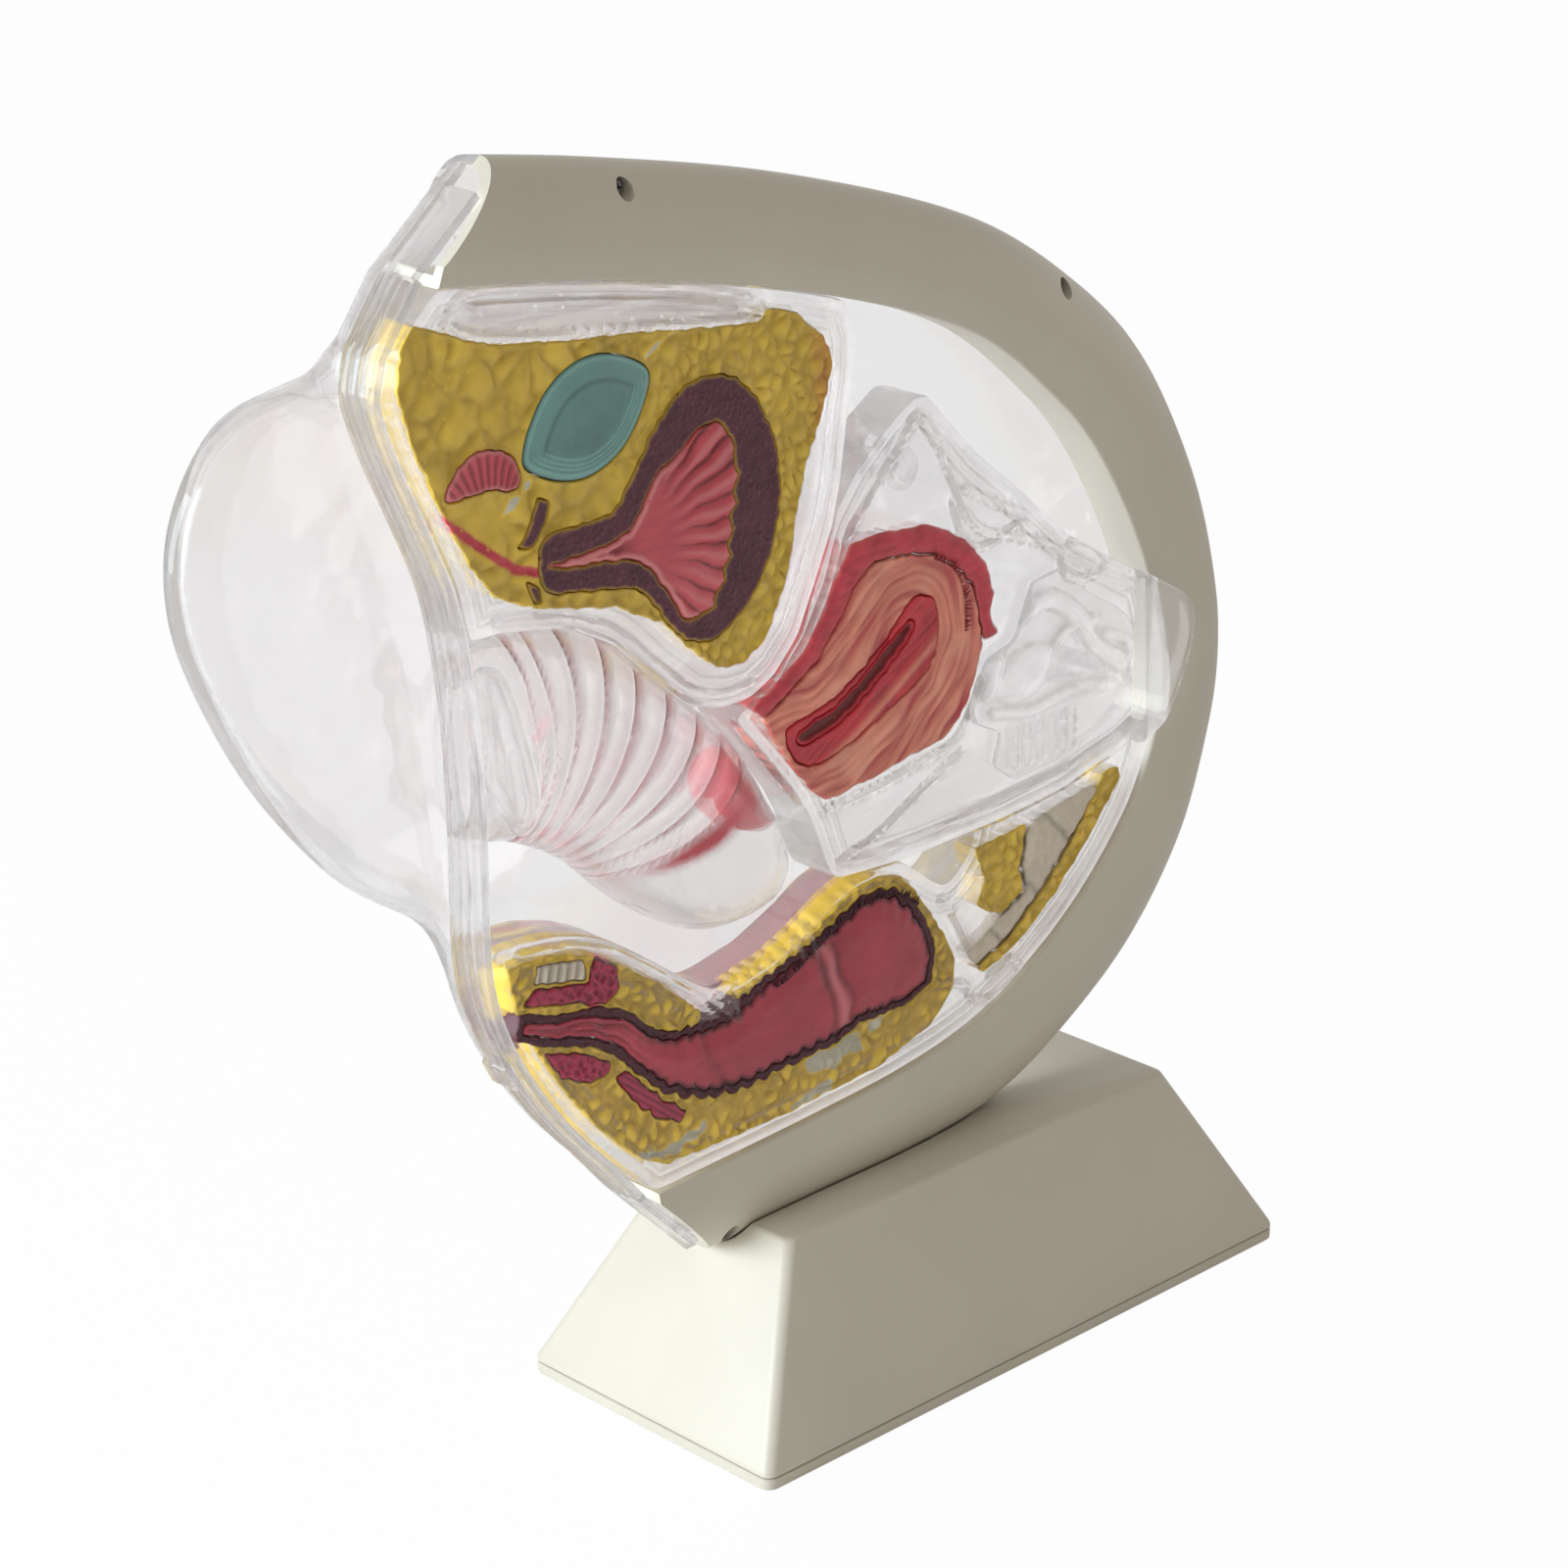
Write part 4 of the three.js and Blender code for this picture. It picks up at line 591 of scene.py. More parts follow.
def screw_tree():
    """A self-tapping pan-head screw: its head's top lies at the origin and its shank runs along +Z."""
    names = ["Length", "Core", "Thread", "Pitch", "Head", "Head height", "Cross", "Sides"]
    tree, given, end = shape_tree("screw", names)
    place = add(tree, "GeometryNodeInputPosition")
    part = add(tree, "ShaderNodeSeparateXYZ", {"Vector": place}).outputs
    values = {**{name: given[name] for name in names}, "x": part["X"], "y": part["Y"], "z": part["Z"]}
    summed(tree, values, SCREW_SUMS)
    blank = add(tree, "GeometryNodeMeshCylinder", {
        "Vertices": given["Sides"], "Side Segments": values["rings"], "Radius": 1.0, "Depth": given["Length"]})
    start = add(tree, "ShaderNodeCombineXYZ", {"Z": values["half"]})
    blank = add(tree, "GeometryNodeTransform", {"Geometry": blank, "Translation": start})
    reach = add(tree, "ShaderNodeMix", {
        0: values["in head"], 2: values["shank"], 3: values["head"]}, data_type="FLOAT")
    spread = add(tree, "ShaderNodeCombineXYZ", {"X": reach, "Y": reach, "Z": 1.0})
    moved = add(tree, "ShaderNodeVectorMath", {0: place, 1: spread}, operation="MULTIPLY")
    turned = add(tree, "GeometryNodeSetPosition", {"Geometry": blank, "Position": moved})
    wings = []
    for axes in (("X", "Y"), ("Y", "X")):
        size = add(tree, "ShaderNodeCombineXYZ", {
            axes[0]: given["Cross"], axes[1]: values["wing"], "Z": values["deep"]})
        wings.append(add(tree, "GeometryNodeMeshCube", {"Size": size}).outputs["Mesh"])
    cut = add(tree, "GeometryNodeMeshBoolean", {"Mesh 1": turned, "Mesh 2": wings[0]}, operation="DIFFERENCE",
              solver="MANIFOLD")
    tree.links.new(wings[1], cut.inputs["Mesh 2"])
    end(cut)
    return tree


# Sums for the folds: away is the distance to the nearest groove as a share of a fold. The grooves get the pink
# paint and painted shade, and the bands a painted white highlight.
RUGA_SUMS = [
    ("folds", "MULTIPLY", "run", "Count"), ("away", "PINGPONG", "folds", 0.5),
    ("near groove", "DIVIDE", "away", "Groove"),
    ("rounded", "SMOOTH_MIN", "near groove", 1.0, 0.35), ("bulge", "MAXIMUM", "rounded", 0.0),
    ("centred", "SUBTRACT", "bulge", 0.5), ("shown", "MULTIPLY", "centred", "near"),
    ("rise", "MULTIPLY", "shown", "Height"), ("groove", "SUBTRACT", 1.0, "bulge"),
    ("band", "POWER", "bulge", 2.0), ("thin", "POWER", "groove", 1.6), ("paint", "MULTIPLY", "thin", "pink"),
    ("dark paint", "MULTIPLY", "thin", "dark"), ("white", "MULTIPLY", "band", "light"),
]


def ruga_tree():
    """Folds across a wall. Its points carry run, from 0 to 1 across the folds, and near, the folds' strength."""
    names = ["Count", "Height", "Groove"]
    tree, given, end = shape_tree("rugae", names)
    values = {name: given[name] for name in names}
    for name in ("run", "near", "pink", "dark", "light"):
        values[name] = add(tree, "GeometryNodeInputNamedAttribute", {"Name": name}, data_type="FLOAT")
    summed(tree, values, RUGA_SUMS)
    normal = add(tree, "GeometryNodeInputNormal")
    step = add(tree, "ShaderNodeVectorMath", {0: normal, "Scale": values["rise"]}, operation="SCALE")
    shape = add(tree, "GeometryNodeSetPosition", {"Geometry": given["Geometry"], "Offset": step})
    # The pink paint and painted shade go in the grooves, and a painted highlight on the bands
    for name, value in (("second", "paint"), ("relief", "dark paint"), ("lit", "white")):
        shape = add(tree, "GeometryNodeStoreNamedAttribute", {
            "Geometry": shape, "Name": name, "Value": values[value]}, data_type="FLOAT", domain="POINT")
    end(shape)
    return tree


def bristle_tree():
    """Fine spikes along runs of edges whose points carry away, the direction that the spikes take."""
    tree, given, end = shape_tree("bristles", ["Spacing", "Length", "Thickness", "Seed"])
    run = add(tree, "GeometryNodeMeshToCurve", {"Mesh": given["Geometry"]})
    spots = add(tree, "GeometryNodeResampleCurve", {"Curve": run, "Length": given["Spacing"]}, mode="LENGTH")
    away = add(tree, "GeometryNodeInputNamedAttribute", {"Name": "away"}, data_type="FLOAT_VECTOR")
    lean = add(tree, "FunctionNodeRandomValue", {
        0: (-0.4, -0.25, -0.4), 1: (0.4, 0.1, 0.4), "Seed": given["Seed"]}, data_type="FLOAT_VECTOR")
    way = add(tree, "ShaderNodeVectorMath", {0: away, 1: lean}, operation="ADD")
    turn = add(tree, "FunctionNodeAlignRotationToVector", {"Vector": way}, axis="Z")
    grow = add(tree, "FunctionNodeRandomValue", {2: 0.55, 3: 1.25, "Seed": given["Seed"]}, data_type="FLOAT")
    spike = add(tree, "GeometryNodeMeshCone", {
        "Vertices": 5, "Radius Top": 0.0, "Radius Bottom": given["Thickness"], "Depth": given["Length"]},
        fill_type="NGON")
    spread = add(tree, "GeometryNodeInstanceOnPoints", {
        "Points": spots, "Instance": spike, "Rotation": turn, "Scale": grow})
    end(spread)
    return tree


def material_tree(name):
    """A new material, its node tree and the place on the object that its patterns read."""
    material = bpy.data.materials.new(name)
    material.use_nodes = True
    tree = material.node_tree
    tree.nodes.clear()
    return material, tree, add(tree, "ShaderNodeTexCoord").outputs["Object"]


def scaled(shown, factor):
    """A colour made lighter or darker."""
    return (*[min(max(c * factor, 0), 1) for c in shown[:3]], 1.0)


def paints():
    return bpy.context.scene.model_paints


def moulded_ivory():
    """Injection-moulded ABS: an even ivory with a satin face, a fine spark-eroded grain and faint clouds."""
    material, tree, place = material_tree("moulded_ivory_abs")
    ivory = tuple(paints().ivory)
    # Clouds about 45 mm wide
    cloudy = add(tree, "ShaderNodeTexNoise", {"Vector": place, "Scale": 22.0, "Detail": 3.0})
    shown = add(tree, "ShaderNodeValToRGB", {"Fac": cloudy},
                stops=[(0.3, scaled(ivory, 0.96)), (0.7, scaled(ivory, 1.03))])
    # A grain of 0.25 mm is too fine for the render, so it is drawn at 0.7 mm
    grain = add(tree, "ShaderNodeTexNoise", {"Vector": place, "Scale": 1 / (0.7 * MM), "Detail": 2.0})
    satin = add(tree, "ShaderNodeMapRange", {"Value": cloudy, "To Min": 0.36, "To Max": 0.46})
    bump = add(tree, "ShaderNodeBump", {"Height": grain, "Strength": 0.12, "Distance": 0.00012})
    shader = add(tree, "ShaderNodeBsdfPrincipled", {
        "Base Color": shown, "Roughness": satin, "Normal": bump, "IOR": 1.53})
    add(tree, "ShaderNodeOutputMaterial", {"Surface": shader})
    return material


def clear_moulding(name, wave, marks=None, straight_share=0.5):
    """Clear injection-moulded acrylic: polished, with the slow waves of a hot mould and a soft look edge on.

    With marks, the attribute second carries that colour, the attribute relief paints shade, a dark brown, in the
    grooves and the third attribute paints a white highlight on the folds.
    """
    material, tree, place = material_tree(name)
    waves = add(tree, "ShaderNodeTexNoise", {"Vector": place, "Scale": 1 / (22 * MM), "Detail": 1.5})
    bump = add(tree, "ShaderNodeBump", {"Height": waves, "Strength": wave, "Distance": 0.0012})
    tint = tuple(paints().clear)
    streaks = add(tree, "ShaderNodeValToRGB", {"Fac": waves},
                  stops=[(0.3, scaled(tint, 0.99)), (0.7, scaled(tint, 1.01))])
    shader = add(tree, "ShaderNodeBsdfPrincipled", {
        "Base Color": streaks, "Roughness": 0.02, "IOR": 1.49, "Transmission Weight": 1.0, "Normal": bump})
    # A part of the light passes straight on, which keeps the many layers as calm as they look in daylight
    straight = add(tree, "ShaderNodeBsdfTransparent", {"Color": (0.994, 0.991, 0.99, 1.0)})
    edge_on = add(tree, "ShaderNodeLayerWeight", {"Blend": 0.35}).outputs["Facing"]
    share = add(tree, "ShaderNodeMapRange", {"Value": edge_on, "To Min": straight_share, "To Max": 0.1})
    last = add(tree, "ShaderNodeMixShader", {0: share, 1: shader, 2: straight})
    if marks:
        second, dark, lit = (add(tree, "ShaderNodeAttribute", attribute_name=label).outputs["Fac"]
                             for label in ("second", "relief", "lit"))
        # Painted shade in the grooves and a painted white highlight on the folds, laid over the marks' colour
        both = add(tree, "ShaderNodeMix", {
            "Factor": dark, "A": marks, "B": (0.08, 0.045, 0.03, 1.0)}, data_type="RGBA")
        both = add(tree, "ShaderNodeMix", {
            "Factor": lit, "A": both, "B": (0.98, 0.97, 0.97, 1.0)}, data_type="RGBA")
        paint = add(tree, "ShaderNodeBsdfPrincipled", {
            "Base Color": both, "Roughness": 0.3, "IOR": 1.5, "Normal": bump})
        covered = add(tree, "ShaderNodeMath", {0: second, 1: dark}, operation="MAXIMUM")
        covered = add(tree, "ShaderNodeMath", {0: covered, 1: lit}, operation="MAXIMUM", use_clamp=True)
        last = add(tree, "ShaderNodeMixShader", {0: covered, 1: last, 2: paint})
    # Lamps reach what lies behind the clear wall, dimmed by its two faces
    open_way = add(tree, "ShaderNodeBsdfTransparent", {"Color": (0.94, 0.94, 0.945, 1.0)})
    path = add(tree, "ShaderNodeLightPath")
    mixed = add(tree, "ShaderNodeMixShader", {0: path.outputs["Is Shadow Ray"], 1: last, 2: open_way})
    add(tree, "ShaderNodeOutputMaterial", {"Surface": mixed})
    return material


def plated_steel():
    """Zinc-plated steel: a grey metal, rolled smooth, with cloudy plating."""
    material, tree, place = material_tree("zinc_plated_steel")
    steel = tuple(paints().steel)
    cloudy = add(tree, "ShaderNodeTexNoise", {"Vector": place, "Scale": 1 / (1.2 * MM), "Detail": 3.0})
    shown = add(tree, "ShaderNodeValToRGB", {"Fac": cloudy},
                stops=[(0.3, scaled(steel, 0.8)), (0.7, scaled(steel, 1.1))])
    rough = add(tree, "ShaderNodeMapRange", {"Value": cloudy, "To Min": 0.25, "To Max": 0.42})
    shader = add(tree, "ShaderNodeBsdfPrincipled", {"Base Color": shown, "Metallic": 1.0, "Roughness": rough})
    add(tree, "ShaderNodeOutputMaterial", {"Surface": shader})
    return material


# The painted tissue is enamel brushed on a moulded relief, with painted shade that darkens it in the valleys and
# a painted highlight that lightens it on the ridges. Each enamel has its colour in a valley, on a ridge and where
# a second paint was brushed on, as a paint and how much lighter it is; the size of its mottle in millimetres and
# how far that changes the colour.
ENAMELS = {
    # Yellow on lobed fat: brown painted shade in the valleys, flesh paint brushed over it, and pale grey patches
    "painted_fat": (("fat_valley_shade", 1), ("fat", 1), ("outer_layer", 1), 12, 0.14, {"peak": "pale"}),
    # Grey-green on the symphysis, drawn in even layers, with painted shade in its hollows, painted highlight on
    # its layer lines and a paler rim
    "painted_cartilage": (("cartilage", 0.45), ("cartilage", 1), ("cartilage", 1.7), 20, 0.1, {}),
    # Dull maroon stippled with a dry brush, with a coarse grain, painted shade between the grains and a trace of
    # fat paint at its edge
    "stippled_bladder_wall": (("bladder_wall", 0.45), ("bladder_wall", 1), ("fat", 1), 4, 0.2, {
        "grain": 1.2, "depth": 0.4, "gloss": 0.5, "coat": 0.1}),
    # Glossy pink-red, with painted shade in the folds and painted highlight on their crests, and pale pink on the
    # border
    "painted_bladder_lining": (("lining", 0.3), ("lining", 1), ("lining_rim", 1), 20, 0.12, {}),
    # Salmon with streaks of red, as brushed along the muscle, and pale patches
    "painted_uterus_muscle": (("outer_layer", 0.85), ("muscle", 1), ("muscle_pale", 1), 11, 0.12, {}),
    # Crimson on the uterus's outer layer
    "painted_outer_layer": (("outer_layer", 0.5), ("outer_layer", 1), ("muscle", 1), 12, 0.15, {}),
    # Crimson in the uterus with a salmon stripe along its ridge
    "painted_uterus_lining": (("uterus_lining", 0.5), ("uterus_lining", 1), ("muscle", 1), 9, 0.18, {}),
    # Dark red in the slit of the cavity
    "painted_cavity": (("cavity", 1), ("uterus_lining", 1), ("uterus_lining", 1), 8, 0.15, {}),
    # Deep, glossy red on the rectum's lining, with painted shade in its creases and painted light on its folds
    # and its swell
    "painted_rectum_lining": (("rectum", 0.35), ("rectum", 1), ("rectum_fold", 1), 16, 0.15, {}),
    # Dark maroon beaded on with a dry brush, with painted shade between the beads
    "stippled_rectum_wall": (("rectum_wall", 0.5), ("rectum_wall", 1), ("rectum_wall", 1), 4, 0.2, {
        "grain": 1.0, "depth": 0.3, "gloss": 0.5, "coat": 0.1}),
    # Maroon on the netted muscle of the sphincters, with painted shade in the hollows between the cords
    "netted_sphincter": (("sphincter", 0.3), ("sphincter", 1), ("sphincter", 1), 8, 0.15, {}),
    # Flat grey-tan on bone, with painted shade, a darker brown, in the grooves
    "painted_bone": (("bone", 0.45), ("bone", 1), ("bone", 1), 10, 0.1, {"gloss": 0.45, "coat": 0.1}),
}


def brushed_paint(name):
    """One of the enamels.

    The relief attribute runs from 0 in a valley, painted shade, to 0.85 on a ridge, painted highlight, where 1
    shows the peak colour, and the attribute named second says where the second paint was brushed on. Grain and
    depth are millimetres.
    """
    *colours, mottle, change, more = ENAMELS[name]
    low, high, second = (scaled(getattr(paints(), paint), factor) for paint, factor in colours)
    more = {"grain": 0.8, "depth": 0.15, "gloss": 0.35, "coat": 0.15, "peak": None, **more}
    peak = tuple(getattr(paints(), more["peak"])) if more["peak"] else scaled(high, 1.3)
    material, tree, place = material_tree(name)
    relief = add(tree, "ShaderNodeAttribute", attribute_name="relief")
    cloudy = add(tree, "ShaderNodeTexNoise", {
        "Vector": place, "Scale": 1 / (mottle * MM), "Detail": 4.0, "Roughness": 0.6})
    # Painted shade in the valleys and a painted highlight on the ridges, then the peak colour
    base = add(tree, "ShaderNodeValToRGB", {"Fac": relief.outputs["Fac"]},
               stops=[(0.0, low), (0.5, high), (0.85, scaled(high, 1.2)), (0.95, peak)])
    share = add(tree, "ShaderNodeAttribute", attribute_name="second")
    both = add(tree, "ShaderNodeMix", {"Factor": share.outputs["Fac"], "A": base, "B": second}, data_type="RGBA")
    cloud = add(tree, "ShaderNodeMapRange", {
        "Value": cloudy, "From Min": 0.3, "From Max": 0.7, "To Min": 1 - change, "To Max": 1 + change})
    shown = add(tree, "ShaderNodeVectorMath", {0: both, "Scale": cloud}, operation="SCALE")
    specks = add(tree, "ShaderNodeTexNoise", {"Vector": place, "Scale": 1 / (more["grain"] * MM), "Detail": 3.0})
    bump = add(tree, "ShaderNodeBump", {"Height": specks, "Strength": 0.5, "Distance": more["depth"] * MM})
    rough = add(tree, "ShaderNodeMapRange", {
        "Value": specks, "To Min": more["gloss"] - 0.08, "To Max": more["gloss"] + 0.12})
    shader = add(tree, "ShaderNodeBsdfPrincipled", {
        "Base Color": shown, "Roughness": rough, "IOR": 1.5, "Coat Weight": more["coat"],
        "Coat Roughness": 0.12, "Normal": bump})
    add(tree, "ShaderNodeOutputMaterial", {"Surface": shader})
    return material


def merged_copy(node):
    """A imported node's mesh with its loose triangles joined, as a bmesh in millimetres."""
    shape = bmesh.new()
    shape.from_mesh(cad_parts[node].data)
    bmesh.ops.transform(shape, matrix=Matrix.Scale(1 / MM, 4), verts=shape.verts)
    bmesh.ops.remove_doubles(shape, verts=shape.verts, dist=1e-3)
    return shape


def face_loops(node, level):
    """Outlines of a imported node's flat front at a depth, as lists of x and z."""
    shape = merged_copy(node)
    # A dict keeps the faces' order, so that an outline starts at the same point in each run
    flat = dict.fromkeys(f for f in shape.faces if all(abs(v.co.y - level) < 0.02 for v in f.verts))
    border = [(loop.vert, loop.link_loop_next.vert) for face in flat for loop in face.loops
              if sum(f in flat for f in loop.edge.link_faces) == 1]
    loops = [np.array([(vert.co.x, vert.co.z) for vert, _ in ring]) for ring in chained(border) if len(ring) > 2]
    shape.free()
    return sorted(loops, key=lambda ring: -abs(ring_area(ring)))


def ring_area(ring):
    x, z = ring[:, 0], ring[:, 1]
    return 0.5 * float(np.sum(x * np.roll(z, -1) - np.roll(x, -1) * z))


def resampled(ring, spacing):
    """A closed outline with points a spacing apart."""
    steps = np.linalg.norm(np.roll(ring, -1, 0) - ring, axis=1)
    places = np.concatenate(([0], np.cumsum(steps)))
    count = max(int(round(places[-1] / spacing)), 8)
    wanted = np.arange(count) * places[-1] / count
    shut = np.vstack((ring, ring[:1]))
    return np.column_stack([np.interp(wanted, places, shut[:, c]) for c in (0, 1)])


def eased(ring, rounds):
    """A closed line with its corners eased."""
    for _ in range(rounds):
        ring = 0.5 * ring + 0.25 * (np.roll(ring, 1, 0) + np.roll(ring, -1, 0))
    return ring


def softened(ring, spacing, rounds=3):
    """An outline with points a spacing apart and its corners eased."""
    return eased(resampled(ring, spacing), rounds)


def wobbled(ring, size, width):
    """An outline moved a little by a noise that neighbours share, so that their edges still match."""
    moved = []
    for x, z in ring:
        place = Vector((x, 0, z)) / width
        moved.append((x + size * noise.noise(place), z + size * noise.noise(place + Vector((7.1, 3.7, 1.3)))))
    return np.array(moved)


def inside(points, rings):
    """Which points lie inside the outlines and outside their holes."""
    odd = np.zeros(len(points), bool)
    for ring in rings:
        a, b = ring, np.roll(ring, -1, 0)
        for (xa, za), (xb, zb) in zip(a, b):
            if za == zb:
                continue
            crosses = ((za > points[:, 1]) != (zb > points[:, 1])) & (
                points[:, 0] < (xb - xa) * (points[:, 1] - za) / (zb - za) + xa)
            odd ^= crosses
    return odd


def distance_to(points, rings):
    """Distance of each point to the nearest outline."""
    best = np.full(len(points), 1e9)
    for ring in rings:
        a, b = ring, np.roll(ring, -1, 0)
        for start, end in zip(a, b):
            run = end - start
            share = np.clip(((points - start) @ run) / max(run @ run, 1e-12), 0, 1)
            gap = np.linalg.norm(points - start - share[:, None] * run, axis=1)
            np.minimum(best, gap, out=best)
    return best


def filled(rings, spacing, rows, lines):
    """Points and triangles that fill the outlines, with rows of points beside the outlines and the lines."""
    random = np.random.default_rng(1)
    low = np.min(rings[0], axis=0)
    high = np.max(rings[0], axis=0)
    lattice = []
    for k, z in enumerate(np.arange(low[1], high[1], spacing * 0.866)):
        xs = np.arange(low[0] + (k % 2) * spacing / 2, high[0], spacing)
        lattice.append(np.column_stack((xs, np.full(len(xs), z))))
    lattice = np.vstack(lattice)
    lattice += random.uniform(-0.18, 0.18, lattice.shape) * spacing
    near = []
    for distance in rows:
        row = np.vstack([outward(ring, side * distance) for ring in rings for side in (1, -1)])
        row = row[inside(row, rings)]
        near.append(row[distance_to(row, rings) > 0.82 * distance])
    for run in lines:
        row = np.vstack([run + beside(np.array(run)) * shift for shift in (0, -0.6, 0.6, -1.2, 1.2)])
        row = row[inside(row, rings)]
        near.append(row[distance_to(row, rings) > rows[-1] + 0.3])
    near = apart(np.vstack(near), 0.28)
    lattice = lattice[inside(lattice, rings)]
    lattice = lattice[distance_to(lattice, rings) > rows[-1] + spacing * 0.4]
    lattice = lattice[line_gap(*lattice.T, lines) > 1.2 + spacing * 0.5]
    return triangulated(rings, np.vstack([near, lattice]))


def apart(points, gap):
    """The points that keep a gap to all those before them."""
    taken, kept = {}, []
    for x, z in points:
        i, k = int(x // gap), int(z // gap)
        others = [p for a in (-1, 0, 1) for b in (-1, 0, 1) for p in taken.get((i + a, k + b), ())]
        if all(math.hypot(x - px, z - pz) > gap for px, pz in others):
            taken.setdefault((i, k), []).append((x, z))
            kept.append((x, z))
    return np.array(kept)


def triangulated(rings, others=()):
    """Triangles between outlines, with the outlines' points first and then the others."""
    # The triangulation works in single precision, so the test for what lies inside does too
    rings = [np.asarray(ring, np.float32).astype(float) for ring in rings]
    edges, start = [], 0
    for ring in rings:
        count = len(ring)
        edges += [(start + i, start + (i + 1) % count) for i in range(count)]
        start += count
    points = [Vector(p) for p in [*np.vstack(rings), *others]]
    result = delaunay_2d_cdt(points, edges, [], 0, 1e-5)
    places = np.array([tuple(v) for v in result[0]])
    triangles = np.array([f for f in result[2] if len(f) == 3])
    kept = inside(places[triangles].mean(axis=1), rings)
    return places, triangles[kept]


def boundary_order(triangles):
    """Directed edges on the border of a set of triangles."""
    edges = {}
    for a, b, c in triangles:
        for one, two in ((a, b), (b, c), (c, a)):
            edges[(one, two)] = edges.get((one, two), 0) + 1
    return [(a, b) for a, b in edges if (b, a) not in edges]


def relief_piece(name, rings, height, front=INLAY_FRONT, back=INLAY_BACK, spacing=None, round_edge=None,
                 rows=(0.32,), lines=(), painted=True):
    """A flat-backed piece whose front is a relief, for which height gives a rise, painted shade and a second
    colour's share at x, z and gap.
    """
    relief = bpy.context.scene.model_relief
    spacing = spacing or relief.grid
    radius = relief.round_edge if round_edge is None else round_edge
    places, triangles = filled(rings, spacing, rows, lines)
    gap = distance_to(places, rings)
    fall = radius - np.sqrt(np.maximum(radius ** 2 - (radius - np.minimum(gap, radius)) ** 2, 0))
    raised, shown, second = height(places[:, 0], places[:, 1], gap)
    depth = front + fall - raised * np.minimum(gap / 1.2, 1)
    count = len(places)
    border = boundary_order(triangles)
    at_back = {old: count + new for new, (old, _) in enumerate(border)}
    points = [(x, y, z) for (x, z), y in zip(places, depth)]
    points += [(places[a][0], back, places[a][1]) for a, _ in border]
    flat_places, flat = triangulated([places[[a for a, _ in loop]] for loop in chained(border)])
    nearest = {tuple(np.round(p, 4)): i for i, p in zip(at_back.values(), places[list(at_back)])}
    faces = [tuple(t) for t in triangles]
    faces += [tuple(nearest[tuple(np.round(flat_places[i], 4))] for i in t[::-1]) for t in flat]
    faces += [(b, a, at_back[a], at_back[b]) for a, b in border]
    made = object_from(name, points, faces)
    # Painted shade darkens the paint where it runs down an inlay's edge
    shown = np.clip(shown * (0.75 + 0.25 * np.minimum(gap / 0.5, 1)), 0, 1)
    place = {(round(x, 3), round(y, 3), round(z, 3)): i for i, ((x, z), y) in enumerate(zip(places, depth))}
    found = [place.get(tuple(round(c / MM, 3) for c in vert.co), -1) for vert in made.data.vertices]
    for label, values, rest in (("relief", shown, 0.6 * painted), ("second", second, 0.0)):
        store(made, label, [values[i] if i >= 0 else rest for i in found])
    shade(made, 50)
    return made


def chained(border):
    """Directed edges sorted into closed loops."""
    following = {}
    for a, b in border:
        following.setdefault(a, []).append(b)
    loops = []
    while following:
        start = at = next(iter(following))
        loop = []
        while at in following:
            step = following[at].pop()
            if not following[at]:
                del following[at]
            loop.append((at, step))
            at = step
            if at == start:
                break
        loops.append(loop)
    return loops


def cells(x, z, width):
    """Distances to the nearest and the second cell point of a random pattern of a given width."""
    gaps = np.array([noise.voronoi(Vector((a, 0, b)))[0][:2] for a, b in zip(x / width, z / width)])
    return gaps[:, 0] * width, gaps[:, 1] * width


def clouds(x, z, width, offset=0.0):
    return np.array([noise.noise(Vector((a, offset, b))) for a, b in zip(x / width, z / width)])


def line_gap(x, z, lines):
    """Distance of each point to the nearest of some runs of points."""
    best = np.full(len(x), 1e9)
    for run in lines:
        for (xa, za), (xb, zb) in zip(run, run[1:]):
            dx, dz = xb - xa, zb - za
            share = np.clip(((x - xa) * dx + (z - za) * dz) / (dx * dx + dz * dz), 0, 1)
            best = np.minimum(best, np.hypot(x - xa - share * dx, z - za - share * dz))
    return best


def curved(run, steps=6):
    """A run of points with a smooth curve through them."""
    count = (len(run) - 1) * steps
    return [tuple(along(run, i / count)) for i in range(count + 1)]


def ramp(value, low, high):
    """A smooth step from 0 at low to 1 at high."""
    t = np.clip((value - low) / (high - low), 0, 1)
    return t * t * (3 - 2 * t)


def bell(value, centre, width):
    return np.exp(-((value - centre) / width) ** 2)


